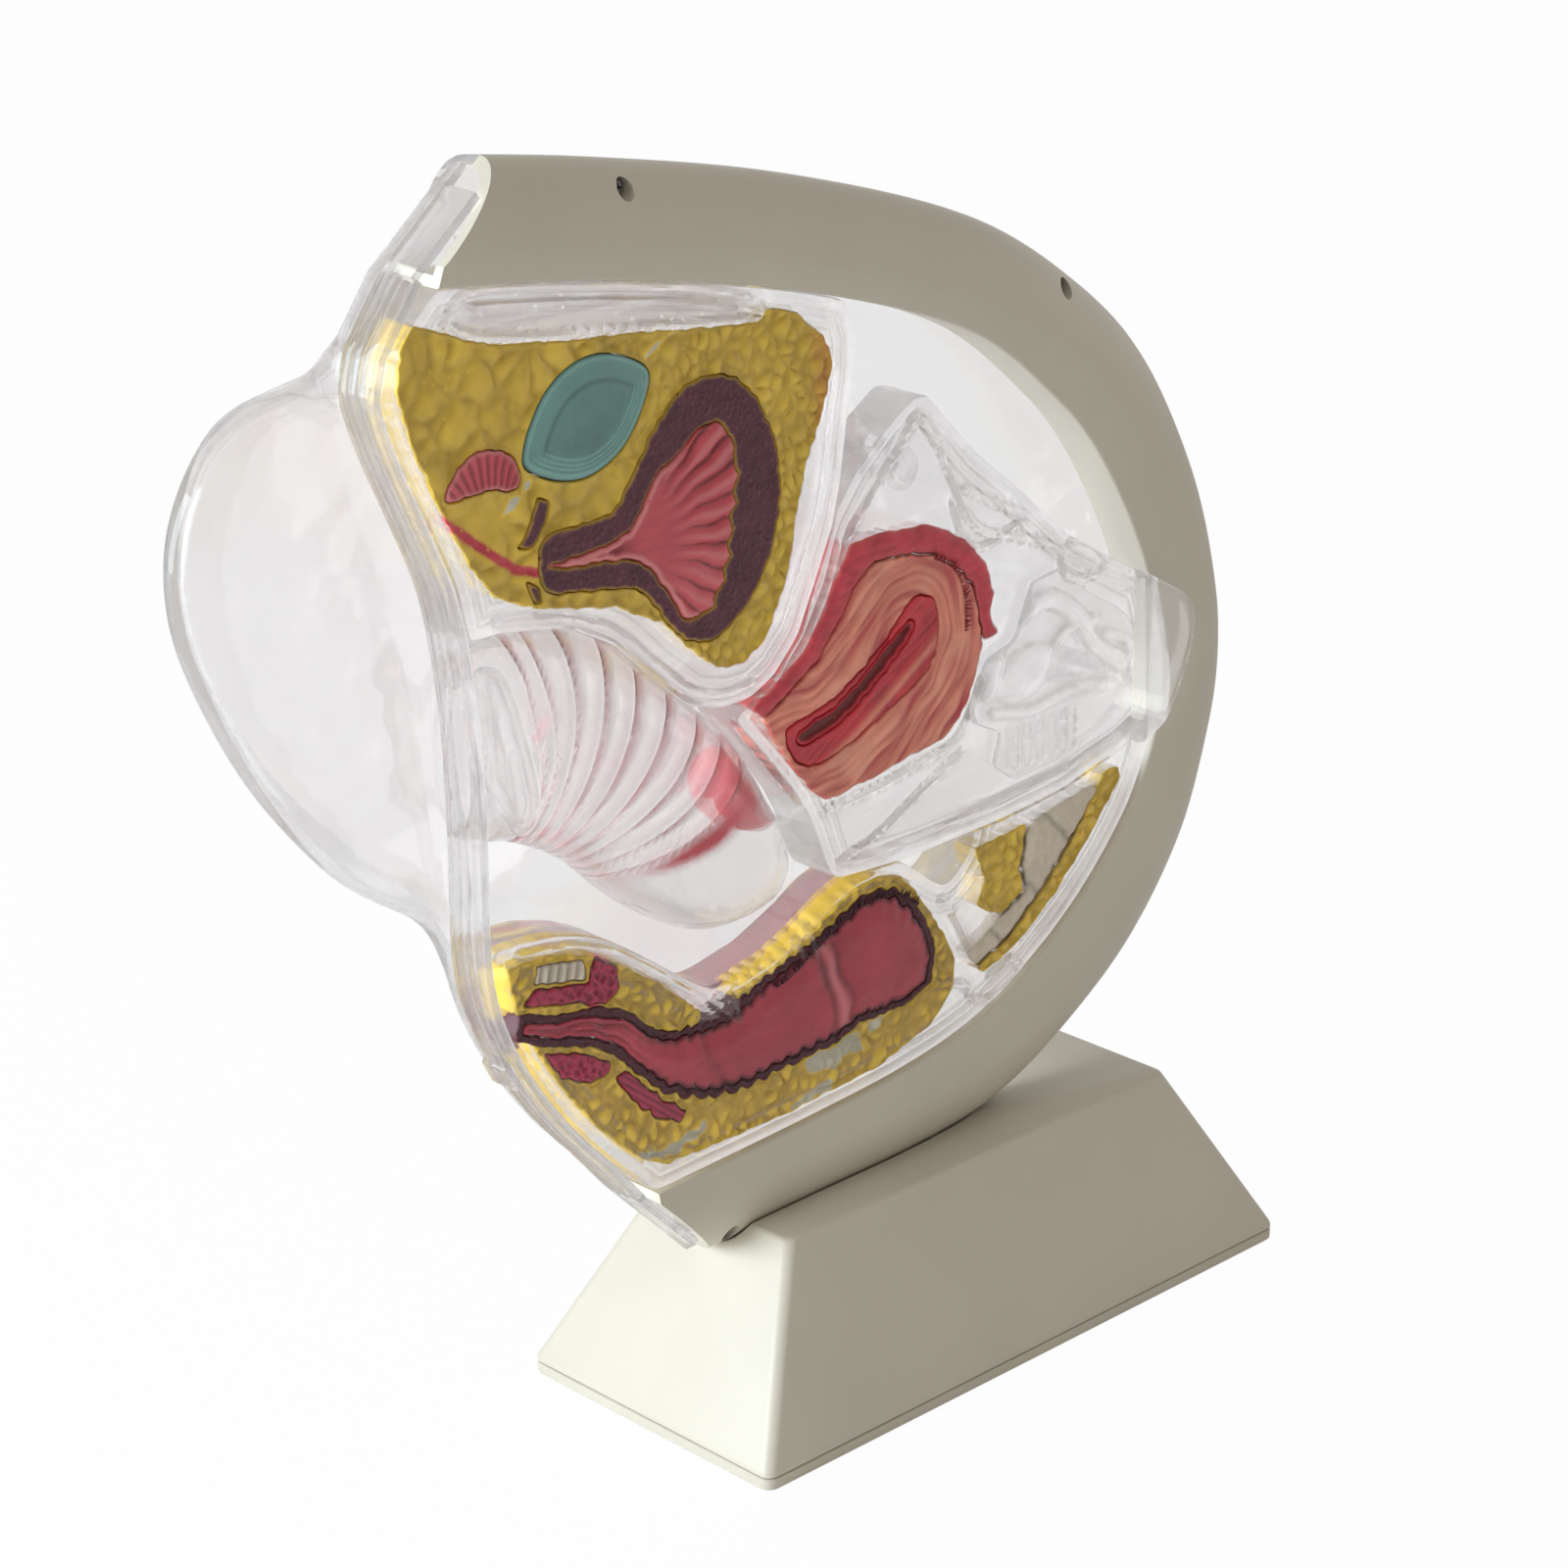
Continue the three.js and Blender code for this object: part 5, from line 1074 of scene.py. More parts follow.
# Each relief gives, for x, z and the gap to the outline, the rise in millimetres, the painted shade and light
# from 0 in a valley to 1 on a ridge, and how much of the paint's second colour shows
def lobed(x, z, gap):
    """Lobes of fat: rounded pebbles, large in the upper fat's skin side and finer elsewhere."""
    relief = bpy.context.scene.model_relief
    coarse = (1 - ramp(x, -125, -80)) * (z > 180)
    bent_x = x + 2.2 * clouds(x, z, 9.0, 3.1)
    bent_z = z + 2.2 * clouds(x, z, 9.0, 8.4)
    rise = np.zeros(len(x))
    for width, share in ((relief.lobe * 1.2, coarse), (relief.lobe * 0.62, 1 - coarse)):
        near, far = cells(bent_x, bent_z, width)
        rise += share * (1 - (2 * near / (near + far)) ** 2.6)
    soft = 0.6 * clouds(x, z, 2.6, 5.0) + 0.4 * clouds(x, z, 18.0, 2.0)
    patch = bell(np.hypot(x + 149, 1.3 * (z - 246.5)), 0, 8.5)
    rise = rise * (1 - 0.8 * patch)
    pale = np.zeros(len(x))
    for run, half in PALE_RUNS:
        uneven = line_gap(x, z, [run]) + 1.6 * clouds(x, z, 4.0, 6.0)
        pale = np.maximum(pale, 1 - ramp(uneven, half - 0.5, half + 0.5))
    red = 0.3 * ramp(x, -52, -45) * (z > 225)
    for run, half in RED_RUNS:
        uneven = line_gap(x, z, [run]) + 0.4 * clouds(x, z, 3.0, 6.0)
        red = np.maximum(red, 1 - ramp(uneven, half - 0.25, half + 0.25))
    # Painted shade in the valleys between the lobes and painted light on their tops
    shown = np.minimum(0.3 + 0.36 * rise + 0.24 * soft + 0.3 * patch, 0.84)
    return relief.lobe_height * (rise - 0.9) + 0.3 * soft, np.maximum(shown, pale), red


# Runs of x, z on the fat and half their width: ligaments and pale patches, the urethra and a band of muscle
PALE_RUNS = [
    ([(-101, 274.6), (-97, 277), (-92, 279)], 1.1), ([(-136, 252.4), (-140, 249.6), (-143.5, 246.4)], 1.0),
    ([(-77, 97.6), (-69, 95.4), (-61.5, 93.4)], 3.2), ([(-49, 88), (-42, 87), (-35, 88.6)], 3.0),
    ([(-28, 92), (-20, 98)], 2.4), ([(-108, 82), (-97, 80.6), (-86, 83)], 1.6), ([(-56, 78), (-44, 80.5)], 1.8),
]
RED_RUNS = [
    ([(-133, 232.2), (-140, 234.6), (-147, 239.4), (-155, 246), (-164, 252.6)], 1.1),
    ([(-117.4, 137), (-118, 132), (-119.5, 127)], 2.4),
]


def grained(width, size):
    """A stippled face with grains of a width and a height, and a thin light outline."""
    def height(x, z, gap):
        near, far = cells(x, z, width)
        rise = ramp(far - near, 0, 0.6 * width)
        # Painted shade between the grains and painted light on their tops
        return size * (rise - 0.5), 0.3 + 0.45 * rise + 0.2 * clouds(x, z, 9.0), 0.7 * bell(gap, 0.0, 0.35)
    return height


def netted(x, z, gap):
    """A net of raised cords with hollows between them."""
    near, far = cells(x, z, 2.2)
    cord = 1 - ramp(far - near, 0, 0.9)
    # Painted shade in the hollows and painted light on the cords
    return 0.6 * (cord - 0.5), 0.25 + 0.65 * cord, 0 * x


BLADDER_NECK = (-110, 232.6)


def bladder_turn(x, z):
    """Phase of the bladder's folds, which fan out from its neck."""
    return 18.0 * np.arctan2(z - BLADDER_NECK[1], x - BLADDER_NECK[0])


def folded_bladder(x, z, gap):
    """Folds that fan out from the bladder's neck, a pale border and a dark channel in the neck."""
    reach = np.hypot(x - BLADDER_NECK[0], z - BLADDER_NECK[1])
    fold = np.abs(np.sin(bladder_turn(x, z) + 0.5 * clouds(x, z, 6.0)))
    strength = ramp(reach, 12, 30) * ramp(x, -104, -92)
    fine = clouds(x * 0.4, z * 2.0, 3.0, 2.0)
    border = bell(gap, 0.7, 0.6) * (1 - ramp(x + 0.15 * (z - 230), -92, -86))
    channel = (1 - ramp(x, -112, -103)) * ramp(gap, 1.3, 2.1)
    top = ramp(z + 0.3 * (x + 90), 238, 252)
    valley = 1 - ramp(fold, 0.0, 0.45)
    # Painted shade in the folds' valleys and painted highlight on their crests; darker towards the top and in the
    # channel
    shown = 0.5 + strength * (0.28 * fold - 0.4 * valley) + 0.12 * fine - 0.17 * top - 0.42 * channel
    return 1.2 * strength * (fold - 0.6) - 0.7 * channel + 0.4 * border, shown, np.maximum(
        0.9 * border, 0.5 * strength * ramp(fold, 0.8, 1.0))


def layered_symphysis(x, z, gap):
    """Concentric layers round a raised middle, with a crease on its upper side and a pale rim."""
    (cx, cz), _, _, tilt = SYMPHYSIS
    across = -(x - cx) * math.sin(math.radians(tilt)) + (z - cz) * math.cos(math.radians(tilt))
    lower = 1 - ramp(across, -3.5, 1.5)
    lines = lower * sum(bell(gap, g, 0.24) for g in (1.5, 2.6, 3.7, 4.9))
    crease = (1 - lower) * bell(gap, 5.4, 0.7)
    middle = ramp(gap, 5.6, 7.2)
    rise = 0.9 * ramp(gap, 0, 6) + 0.25 * lines - 0.45 * crease
    # Painted shade in the crease and painted highlight on the layer lines
    shown = 0.5 + 0.3 * lines - 0.3 * crease - 0.1 * middle + 0.02 * across + 0.08 * clouds(x, z, 5.0)
    return rise, shown, 0.7 * bell(gap, 0.8, 0.35) + 0.6 * lines


def ribbed_fan(centre, spread):
    """Fine ribs that fan out from a point, and a pale rim."""
    def height(x, z, gap):
        rib = 0.5 + 0.5 * np.sin(np.arctan2(z - centre[1], x - centre[0]) * spread + 0.8 * clouds(x, z, 4.0))
        # Painted shade in the troughs between the ribs and painted light on their crests
        return 0.5 * (rib - 0.5), 0.22 + 0.45 * rib, 0.7 * bell(gap, 0.2, 0.6)
    return height


def ribs_along(direction, pitch, size):
    """Straight ribs across a direction."""
    def height(x, z, gap):
        rib = 0.5 + 0.5 * np.cos(2 * math.pi * (x * direction[0] + z * direction[1]) / pitch)
        # Painted shade in the troughs between the ribs and painted light on their crests
        return size * (rib - 0.5), 0.2 + 0.7 * rib, 0 * x
    return height


def muscle_fibres(x, z, gap):
    """Fibres that run round the cavity in rings, with pale patches."""
    axis = curved([(-60, 170), (-44, 171), (-30, 178), (-18, 190)])
    ring = line_gap(x, z, [axis])
    bent = ring + 1.6 * clouds(x, z, 9.0, 3.0)
    streak = np.array([noise.noise(Vector((a / 1.3, b / 15, 0.4))) for a, b in zip(bent, x + z)])
    bed = clouds(x, z, 10.0, 6.0)
    deep = ramp(ring, 9, 4) * 0.16
    shown = 0.5 - deep + 0.6 * streak + 0.22 * bed
    return 0.5 * streak + 0.4 * bed, shown, 0.4 * ramp(bed + 0.5 * streak, 0.05, 0.5)


def outer_band(x, z, gap):
    """Smooth band of the outer layer, with a pale seam towards the muscle."""
    streak = clouds(x * 0.4, z, 1.6, 2.0)
    tint = 0.5 + 0.3 * streak + 0.25 * clouds(x, z, 8.0)
    return 0.4 * ramp(gap, 0, 2) + 0.25 * streak, tint, 0.3 * bell(gap, 0, 0.4)


def lining_streaks(x, z, gap):
    """The uterus lining: a salmon ridge along a crimson bed, deeper towards the cavity."""
    across = 0.5 * (x + 34) - 0.86 * (z - 178)
    streak = clouds(across / 1.2, (x + z) / 16, 1)
    ridge = bell(across + 0.02 * (x + 30) ** 2 * 0.1, 6.2, 1.2) * ramp(x, -60, -50)
    return 0.35 * streak + 0.5 * ridge, 0.6 + 0.45 * streak - 0.15 * ramp(gap, 1, 4), ridge


def cavity_slit(x, z, gap):
    """The cavity: a dark slit that rises to a crimson edge."""
    return -1.2 * ramp(gap, 0.2, 1.5), 0.7 - 0.7 * ramp(gap, 0.3, 1.2), 0 * x


def rectal_folds(x, z, gap):
    """A smooth lumen with a few cross folds and a soft belly."""
    swell = clouds(x, z, 16.0, 1.0)
    bent = x + 0.35 * (z - 108) + 2.0 * clouds(x, z, 9.0, 7.0)
    fold = bell(bent, -45, 1.6) + 0.8 * bell(bent, -39.5, 1.3) + 0.5 * bell(bent, -86, 1.8)
    neck = (1 - ramp(x, -112, -98)) * np.sin(gap * 3.2 + clouds(x, z, 6.0))
    fine = clouds(x * 0.3, z, 1.8, 5.0)
    rise = 1.1 * ramp(gap, 0, 6) + 0.6 * swell - 0.7 * fold + 0.35 * neck
    rim = ramp(x, -112, -98) * (1 - ramp(gap + 0.5 * clouds(x, z, 2.0, 9.0), 0.5, 1.6))
    # Painted light on the swell and between the two folds, and painted shade in the folds' creases
    shown = 0.62 + 0.25 * swell - 0.45 * fold + 0.25 * neck + 0.14 * fine - 0.6 * rim
    return rise, shown, 0.5 * bell(bent, -42.4, 1.5)


def vertebrae(x, z, gap):
    """Bone with grooves between the vertebrae and a fine spongy grain."""
    run = 0.72 * x + 0.69 * z
    groove = bell((run - 90.0) % 16 - 8, 0.0, 0.9)
    pits = clouds(x, z, 1.4)
    # Painted shade in the grooves between the vertebrae
    return 0.7 * ramp(gap, 0, 2.5) - 0.7 * groove + 0.2 * pits, 0.7 - 0.45 * groove + 0.25 * pits, 0 * x


def mouth_outline(distance):
    """Inner line of the frame and the strip, drawn in by a distance: what the trays fit into."""
    line = [place + inwards * (width + distance) for place, inwards, width in (
        rim_at(i / 120) for i in range(121))]
    outer = np.array([p[:2] for p in perineum_line(60)])
    return np.vstack((line, outer + beside(outer) * (STRIP_WALL + 0.4 + distance)))


def common_outline(one, other):
    """Outline of what two outlines share."""
    size = len(one)
    edges = [(i, (i + 1) % size) for i in range(size)]
    edges += [(size + i, size + (i + 1) % len(other)) for i in range(len(other))]
    result = delaunay_2d_cdt([Vector(p) for p in np.vstack((one, other))], edges, [], 0, 1e-4)
    places = np.array([tuple(v) for v in result[0]])
    triangles = np.array([f for f in result[2] if len(f) == 3])
    centres = places[triangles].mean(axis=1)
    kept = triangles[inside(centres, [one]) & inside(centres, [other])]
    loops = [places[[a for a, _ in loop]] for loop in chained(boundary_order(kept))]
    return max(loops, key=lambda ring: abs(ring_area(ring)))


def moulded(lines):
    """Relief of a clear tray: grooves along its edge, raised lines and the slow waves of a moulding.

    The shade value paints thin dark lines, painted shade, beside the raised lines and in the edge's grooves; the
    second value paints the grey-pink that the creases and the solid wall over the upper fat show of the parts
    behind, a painted refraction.
    """
    def height(x, z, gap):
        to_line = line_gap(x, z, lines)
        bead = 1.0 * bell(to_line, 0, 0.6) - 0.4 * bell(to_line, 1.5, 0.5)
        groove = sum(share * bell(gap, at, 0.5) for at, share in ((3.2, 1.0), (6.0, 0.7), (8.4, 0.4)))
        waves = 0.3 * clouds(x, z, 13.0, 4.0)
        wall_edge = line_gap(x, z, [[*WALL_LENS, WALL_LENS[0]]])
        wall = inside(np.column_stack((x, z)), [WALL_LENS]) * ramp(wall_edge, 0, 0.9)
        wall *= 0.34 + 0.2 * clouds(x * 0.15, z, 2.2, 3.0)
        patchy = np.clip(0.5 + clouds(x, z, 15.0, 5.0), 0, 1)
        # Painted refraction: grey-pink in the edge's grooves, beside the raised lines and over the upper fat's
        # wall
        painted_refraction = 0.3 * groove * patchy + 0.2 * bell(to_line, 0.9, 0.35) + wall
        # Painted shade: thin dark lines beside the raised lines and in the edge's grooves
        thin = 0.4 * bell(to_line, 1.2, 0.35) + 0.4 * bell(gap, 4.6, 0.3) * patchy + 0.3 * bell(gap, 7.4, 0.3)
        return bead + waves - 0.55 * groove - 0.9, np.clip(thin, 0, 1), np.clip(painted_refraction, 0, 1)
    return height


def lens_shaped(ring):
    """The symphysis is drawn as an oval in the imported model; here its two ends are pointed."""
    (cx, cz), length, height, tilt = SYMPHYSIS
    turn = math.radians(tilt)
    u = ((ring[:, 0] - cx) * math.cos(turn) + (ring[:, 1] - cz) * math.sin(turn)) / (length / 2)
    v = ((ring[:, 1] - cz) * math.cos(turn) - (ring[:, 0] - cx) * math.sin(turn)) / (height / 2)
    reach = np.hypot(u, v)
    if reach.min() < 0.8 or reach.max() > 1.3:
        return ring
    size = float(np.median(reach))
    angle = np.arctan2(v, u)
    u = size * np.cos(angle) * length / 2
    v = size * np.sin(angle) * (1 - 0.42 * np.abs(np.cos(angle)) ** 2.5) * height / 2
    return np.column_stack((cx + u * math.cos(turn) - v * math.sin(turn),
                            cz + u * math.sin(turn) + v * math.cos(turn)))


RECTUM_AXIS = [(-104, 110), (-92, 103), (-76, 101), (-60, 103), (-45, 107), (-30, 111), (-16, 110)]


def beaded(ring):
    """Bulges an outline between the rectum's folds."""
    fine = np.array(curved(RECTUM_AXIS, 40))
    gaps = np.linalg.norm(ring[:, None] - fine[None], axis=2)
    nearest = gaps.argmin(axis=1)
    reach = gaps.min(axis=1)
    away = (ring - fine[nearest]) / np.maximum(reach, 0.1)[:, None]
    run = np.concatenate(([0], np.cumsum(np.linalg.norm(np.diff(fine, axis=0), axis=1))))
    bulge = 1.3 * np.abs(np.sin(run * math.pi / 4.6)) - 0.8
    ends = ramp(run, 0, 12) * (1 - ramp(run, run[-1] - 4, run[-1]))
    return ring + away * (bell(reach, 11, 6) * (bulge * ends)[nearest])[:, None]


# The painted inlays: node, relief, paint, slot and the distance between the relief's points in millimetres
INLAYS = [
    ("upper_fat", lobed, "painted_fat", "fat_paint", 0.6),
    ("perineal_fat", lobed, "painted_fat", "fat_paint", 0.5),
    ("lower_fat", lobed, "painted_fat", "fat_paint", 0.6),
    ("sacral_fat_front", lobed, "painted_fat", "fat_paint", 0.6),
    ("sacral_fat_rear", lobed, "painted_fat", "fat_paint", 0.6),
    ("pubic_symphysis", layered_symphysis, "painted_cartilage", "cartilage_paint", 0.4),
    ("clitoris", ribbed_fan((-147, 243), 46), "painted_bladder_lining", "flesh_paint", 0.4),
    ("bladder_wall", grained(1.5, 0.5), "stippled_bladder_wall", "wall_paint", 0.5),
    ("bladder_lining", folded_bladder, "painted_bladder_lining", "lining_paint", 0.42),
    ("urethral_sphincter_upper", grained(1.2, 0.3), "stippled_bladder_wall", "wall_paint", 0.5),
    ("urethral_sphincter_lower", grained(1.2, 0.3), "stippled_bladder_wall", "wall_paint", 0.5),
    ("rectum_lining", rectal_folds, "painted_rectum_lining", "lining_paint", 0.5),
    ("rectum_wall", grained(1.6, 0.9), "stippled_rectum_wall", "wall_paint", 0.5),
    ("anal_sphincter_upper", netted, "netted_sphincter", "muscle_paint", 0.42),
    ("anal_sphincter_lower", netted, "netted_sphincter", "muscle_paint", 0.42),
    ("perineal_body", ribs_along((0.98, -0.2), 2.8, 1.0), "painted_bone", "bone_paint", 0.42),
    ("levator_strip", ribs_along((0.62, 0.78), 1.5, 0.5), "netted_sphincter", "muscle_paint", 0.42),
    ("sacrum", vertebrae, "painted_bone", "bone_paint", 0.6),
    ("uterus_muscle", muscle_fibres, "painted_uterus_muscle", "flesh_paint", 0.5),
    ("uterus_outer_layer", outer_band, "painted_outer_layer", "muscle_paint", 0.5),
    ("uterus_lining", lining_streaks, "painted_uterus_lining", "lining_paint", 0.45),
    ("uterine_cavity", cavity_slit, "painted_cavity", "muscle_paint", 0.42),
]

# The side of the bladder's lining that its folds scallop
LINING_EDGE = [(-86, 256), (-80, 252), (-75.5, 247), (-74, 241), (-74.6, 234), (-74.4, 228), (-76.5, 221),
               (-80, 215), (-86, 210.5)]


def hand_cut(ring, spacing, grow=0.0):
    """An inlay's or a pocket's outline as cut by hand: eased, uneven and scalloped beside the bladder."""
    ring = beaded(outward(lens_shaped(wobbled(softened(ring, spacing), 0.6, 2.6)), grow))
    weight = bell(line_gap(*ring.T, [LINING_EDGE]), 0, 3.0)
    wave = 1 - 2 * np.abs(np.cos(bladder_turn(*ring.T)))
    return ring + np.column_stack((0.9 * weight * wave, 0.0 * wave))


# Runs of x, z along which a layer's edge grows fine spikes to the left of the run
BRISTLES = {
    "rectum_wall": [[(-62, 112.4), (-58, 113.5), (-50, 117.5), (-42, 122), (-34, 124.6),
                     (-26, 125.2), (-19, 123.4), (-14, 119.5)]],
    "uterus_outer_layer": [[(-9, 207.5), (-3, 204), (0.6, 199), (2.2, 193), (2, 187)]],
}


def with_bristles(made, runs, material):
    """Joins fine spikes to a layer of tissue, standing on its face along its edge."""
    sizes = bpy.context.scene.model_bristles
    points, edges, away = [], [], []
    for run in runs:
        fine = np.array(curved(run))
        edges += [(len(points) + i, len(points) + i + 1) for i in range(len(fine) - 1)]
        points += [(x * MM, (INLAY_FRONT - 0.5) * MM, z * MM) for x, z in fine]
        away += [(-x, -0.12, -z) for x, z in beside(fine)]
    mesh = bpy.data.meshes.new("runs")
    mesh.from_pydata(points, edges, [])
    mesh.attributes.new("away", "FLOAT_VECTOR", "POINT").data.foreach_set("vector", np.ravel(away))
    line = bpy.data.objects.new("runs", mesh)
    bpy.context.scene.collection.objects.link(line)
    grown(line, bristle_tree(), {"Spacing": sizes.spacing * MM, "Length": sizes.length * MM,
                                 "Thickness": sizes.thickness * MM, "Seed": sizes.seed}, material)
    with bpy.context.temp_override(active_object=made, selected_editable_objects=[made, line]):
        bpy.ops.object.join()
    return made


class MODEL_OT_inlays(bpy.types.Operator):
    """Make the painted inlays with their relief"""
    bl_idname = "model.inlays"
    bl_label = "Painted inlays"

    def execute(self, context):
        looks = {}
        for node, height, paint, slot, spacing in INLAYS:
            if paint not in looks:
                looks[paint] = brushed_paint(paint)
            rings = [hand_cut(ring, min(spacing, 0.55), 0.1) for ring in face_loops(node, INLAY_FRONT)
                     if abs(ring_area(ring)) > 0.5]
            made = relief_piece(f"{node}_relief", rings, height, spacing=spacing)
            if node in BRISTLES:
                made = with_bristles(made, BRISTLES[node], looks[paint])
            dress(made, [node], looks[paint], body=MOVING if node.startswith("uter") else FIXED)
        return {"FINISHED"}


def channel_section(width):
    """Section of the frame: distance in from the rim and depth."""
    turns = [i * math.pi / 28 for i in range(15)]
    outer = [(FRAME_NOSE * (1 - math.cos(a)), -FRAME_DEPTH * math.sin(a)) for a in turns]
    nose, deep = FRAME_NOSE - FRAME_WALL, FRAME_DEPTH - FRAME_WALL
    inner = [(FRAME_NOSE - nose * math.cos(a), -deep * math.sin(a)) for a in turns][::-1]
    edge = -FRAME_DEPTH + FRAME_FLAT_FALL
    ease = [(width - 0.8 + 0.8 * math.sin(i * math.pi / 8), edge + 1.1 - 0.8 * math.cos(i * math.pi / 8))
            for i in range(5)]
    return [*outer, *ease, (width, 0), (width - FRAME_WALL, 0), (width - FRAME_WALL, edge + FRAME_WALL), *inner]


def swept(section_at, stations=150, start=0.0, stop=1.0):
    """Rings of a section swept along the rim."""
    rings = []
    for i in range(stations + 1):
        place, inwards, width = rim_at(start + (stop - start) * i / stations)
        rings.append([(*(place + inwards * s), y) for s, y in section_at(width)])
    return [[(x, y, z) for x, z, y in ring] for ring in rings]


def beyond(end, reach=160.0):
    """Everything past an end face, as a slab to cut with."""
    a, b, step = end_line(end, 0)
    away = np.array((-step[1], step[0])) * reach
    return slab([a - step * reach, b + step * reach, b + step * reach + away, a - step * reach + away],
                -reach, reach)


def frame_screw_places():
    shares = [rim_at(RIM_START + (RIM_STOP - RIM_START) * share) for share in FRAME_SCREW_SHARES]
    return [place + inwards * FRAME_SCREW_INSET for place, inwards, _ in shares]


def frame_solid(extra, start=0.0, stop=1.0, stations=60):
    """The frame's outer form without its hollow, grown by a distance."""
    turns = [(i - 12) * math.pi / 24 for i in range(25)]

    def section(width):
        return [(FRAME_NOSE - (FRAME_NOSE + extra) * math.cos(a), (FRAME_DEPTH + extra) * math.sin(a))
                for a in turns]
    return tube(swept(section, stations, start, stop))


class MODEL_OT_frame(bpy.types.Operator):
    """Make the ivory frame with its rounded nose and its screw recesses"""
    bl_idname = "model.frame"
    bl_label = "Frame"

    def execute(self, context):
        made = object_from("frame_moulding", *tube(swept(channel_section)))
        spots = frame_screw_places()
        bosses = object_from("bosses", *bars(FRAME_BOSS, spots, "Y", -FRAME_DEPTH, 0))
        combine(bosses, "INTERSECT", frame_solid(-FRAME_WALL / 5))
        combine(made, "UNION", bosses)
        combine(made, "DIFFERENCE", beyond(UPPER_END), beyond(LOWER_END),
                bars(FRAME_SCREW_RECESS, spots, "Y", -FRAME_DEPTH - 3, -FRAME_SCREW_SINK),
                bars(SCREW_HOLE, spots, "Y", -FRAME_DEPTH, 3))
        dress(made, ["front_frame"], moulded_ivory(), 35)
        return {"FINISHED"}


def stand_ring(z, inset=0.0, edge=0.0):
    """Rounded outline of the stand at a height."""
    share = max(z - STAND_LIP, 0) / (STAND_HEIGHT - STAND_LIP)
    length, width = (b + (t - b) * share - 2 * (inset + edge) for b, t in zip(STAND_BOTTOM, STAND_TOP))
    radius = max(STAND_CORNER - inset / 2, 0.6)
    ring = []
    for quarter, (sx, sy) in enumerate(CORNERS):
        for i in range(9):
            angle = (quarter + i / 8) * math.pi / 2
            ring.append((sx * (length / 2 - radius) + radius * math.cos(angle),
                         sy * (width / 2 - radius) + radius * math.sin(angle), z))
    return np.array(ring)


class MODEL_OT_stand(bpy.types.Operator):
    """Make the wedge stand with its eased edges, its seat and its plate"""
    bl_idname = "model.stand"
    bl_label = "Stand"

    def execute(self, context):
        bottom = PLATE_THICKNESS + CLEARANCE
        top = [stand_ring(STAND_HEIGHT - STAND_EASE * (1 - math.sin(i * math.pi / 8)),
                          edge=STAND_EASE * (1 - math.cos(i * math.pi / 8))) for i in range(5)]
        rings = [stand_ring(bottom, edge=0.25), stand_ring(bottom + 0.25), stand_ring(STAND_LIP - 0.3),
                 stand_ring(STAND_LIP + 0.5), *top]
        made = object_from("stand_moulding", *loft(rings))
        hollow = [stand_ring(h, STAND_WALL) for h in (bottom - 1, STAND_LIP, STAND_HEIGHT - STAND_ROOF)]
        combine(made, "DIFFERENCE", loft(hollow), frame_solid(2 * CLEARANCE, 0.7, 1.0, 50))
        ivory = moulded_ivory()
        dress(made, ["stand_housing"], ivory, 35)
        rings = [stand_ring(h, edge=e) for h, e in ((0, 0.4), (0.3, 0.1), (0.6, 0), (PLATE_THICKNESS - 0.3, 0),
                                                     (PLATE_THICKNESS, 0.3))]
        plate = object_from("stand_floor", *loft(rings))
        spots = plate_screw_places()
        combine(plate, "DIFFERENCE", bars(PLATE_SCREW_RECESS, spots, "Z", -1, 2.1),
                bars(SCREW_HOLE, spots, "Z", -1, 5))
        dress(plate, ["stand_plate"], ivory, 35)
        return {"FINISHED"}


def plate_screw_places():
    half_x, half_y = (size / 2 - PLATE_SCREW_INSET for size in STAND_BOTTOM)
    return [(sx * half_x, sy * half_y) for sx, sy in CORNERS]


def perineum_line(count=90):
    """The perineum's outer line, finely drawn: x, z and the dome's reach."""
    return [along(PERINEUM, i / count) for i in range(count + 1)]


def shell_edge():
    """Points round the shell's front edge with the direction inwards and the dome's reach."""
    edge = []
    rim_count = 150
    for i in range(rim_count + 1):
        place, inwards, _ = rim_at(RIM_START + (RIM_STOP - RIM_START) * i / rim_count)
        edge.append((place, inwards, 0.0))
    lower, upper = end_line(LOWER_END, STRIP_GROWTH)[1], end_line(UPPER_END, STRIP_GROWTH)[0]
    line = []

    def straight(a, b, count):
        line.extend([(*(a + (b - a) * i / count), 0.0) for i in range(1, count)])
    straight(edge[-1][0], lower, 12)
    line.append((*lower, 0.0))
    fine = perineum_line()
    straight(lower, np.array(fine[0][:2]), 8)
    line += [tuple(p) for p in fine]
    straight(np.array(fine[-1][:2]), upper, 6)
    line.append((*upper, 0.0))
    straight(upper, edge[0][0], 12)
    for i, (x, z, reach) in enumerate(line):
        before = line[i - 1] if i else (*edge[-1][0], 0)
        after = line[i + 1] if i + 1 < len(line) else (*edge[0][0], 0)
        run = np.array((after[0] - before[0], after[1] - before[1]))
        run /= np.linalg.norm(run)
        edge.append((np.array((x, z)), np.array((run[1], -run[0])), max(reach, 0.0)))
    return edge


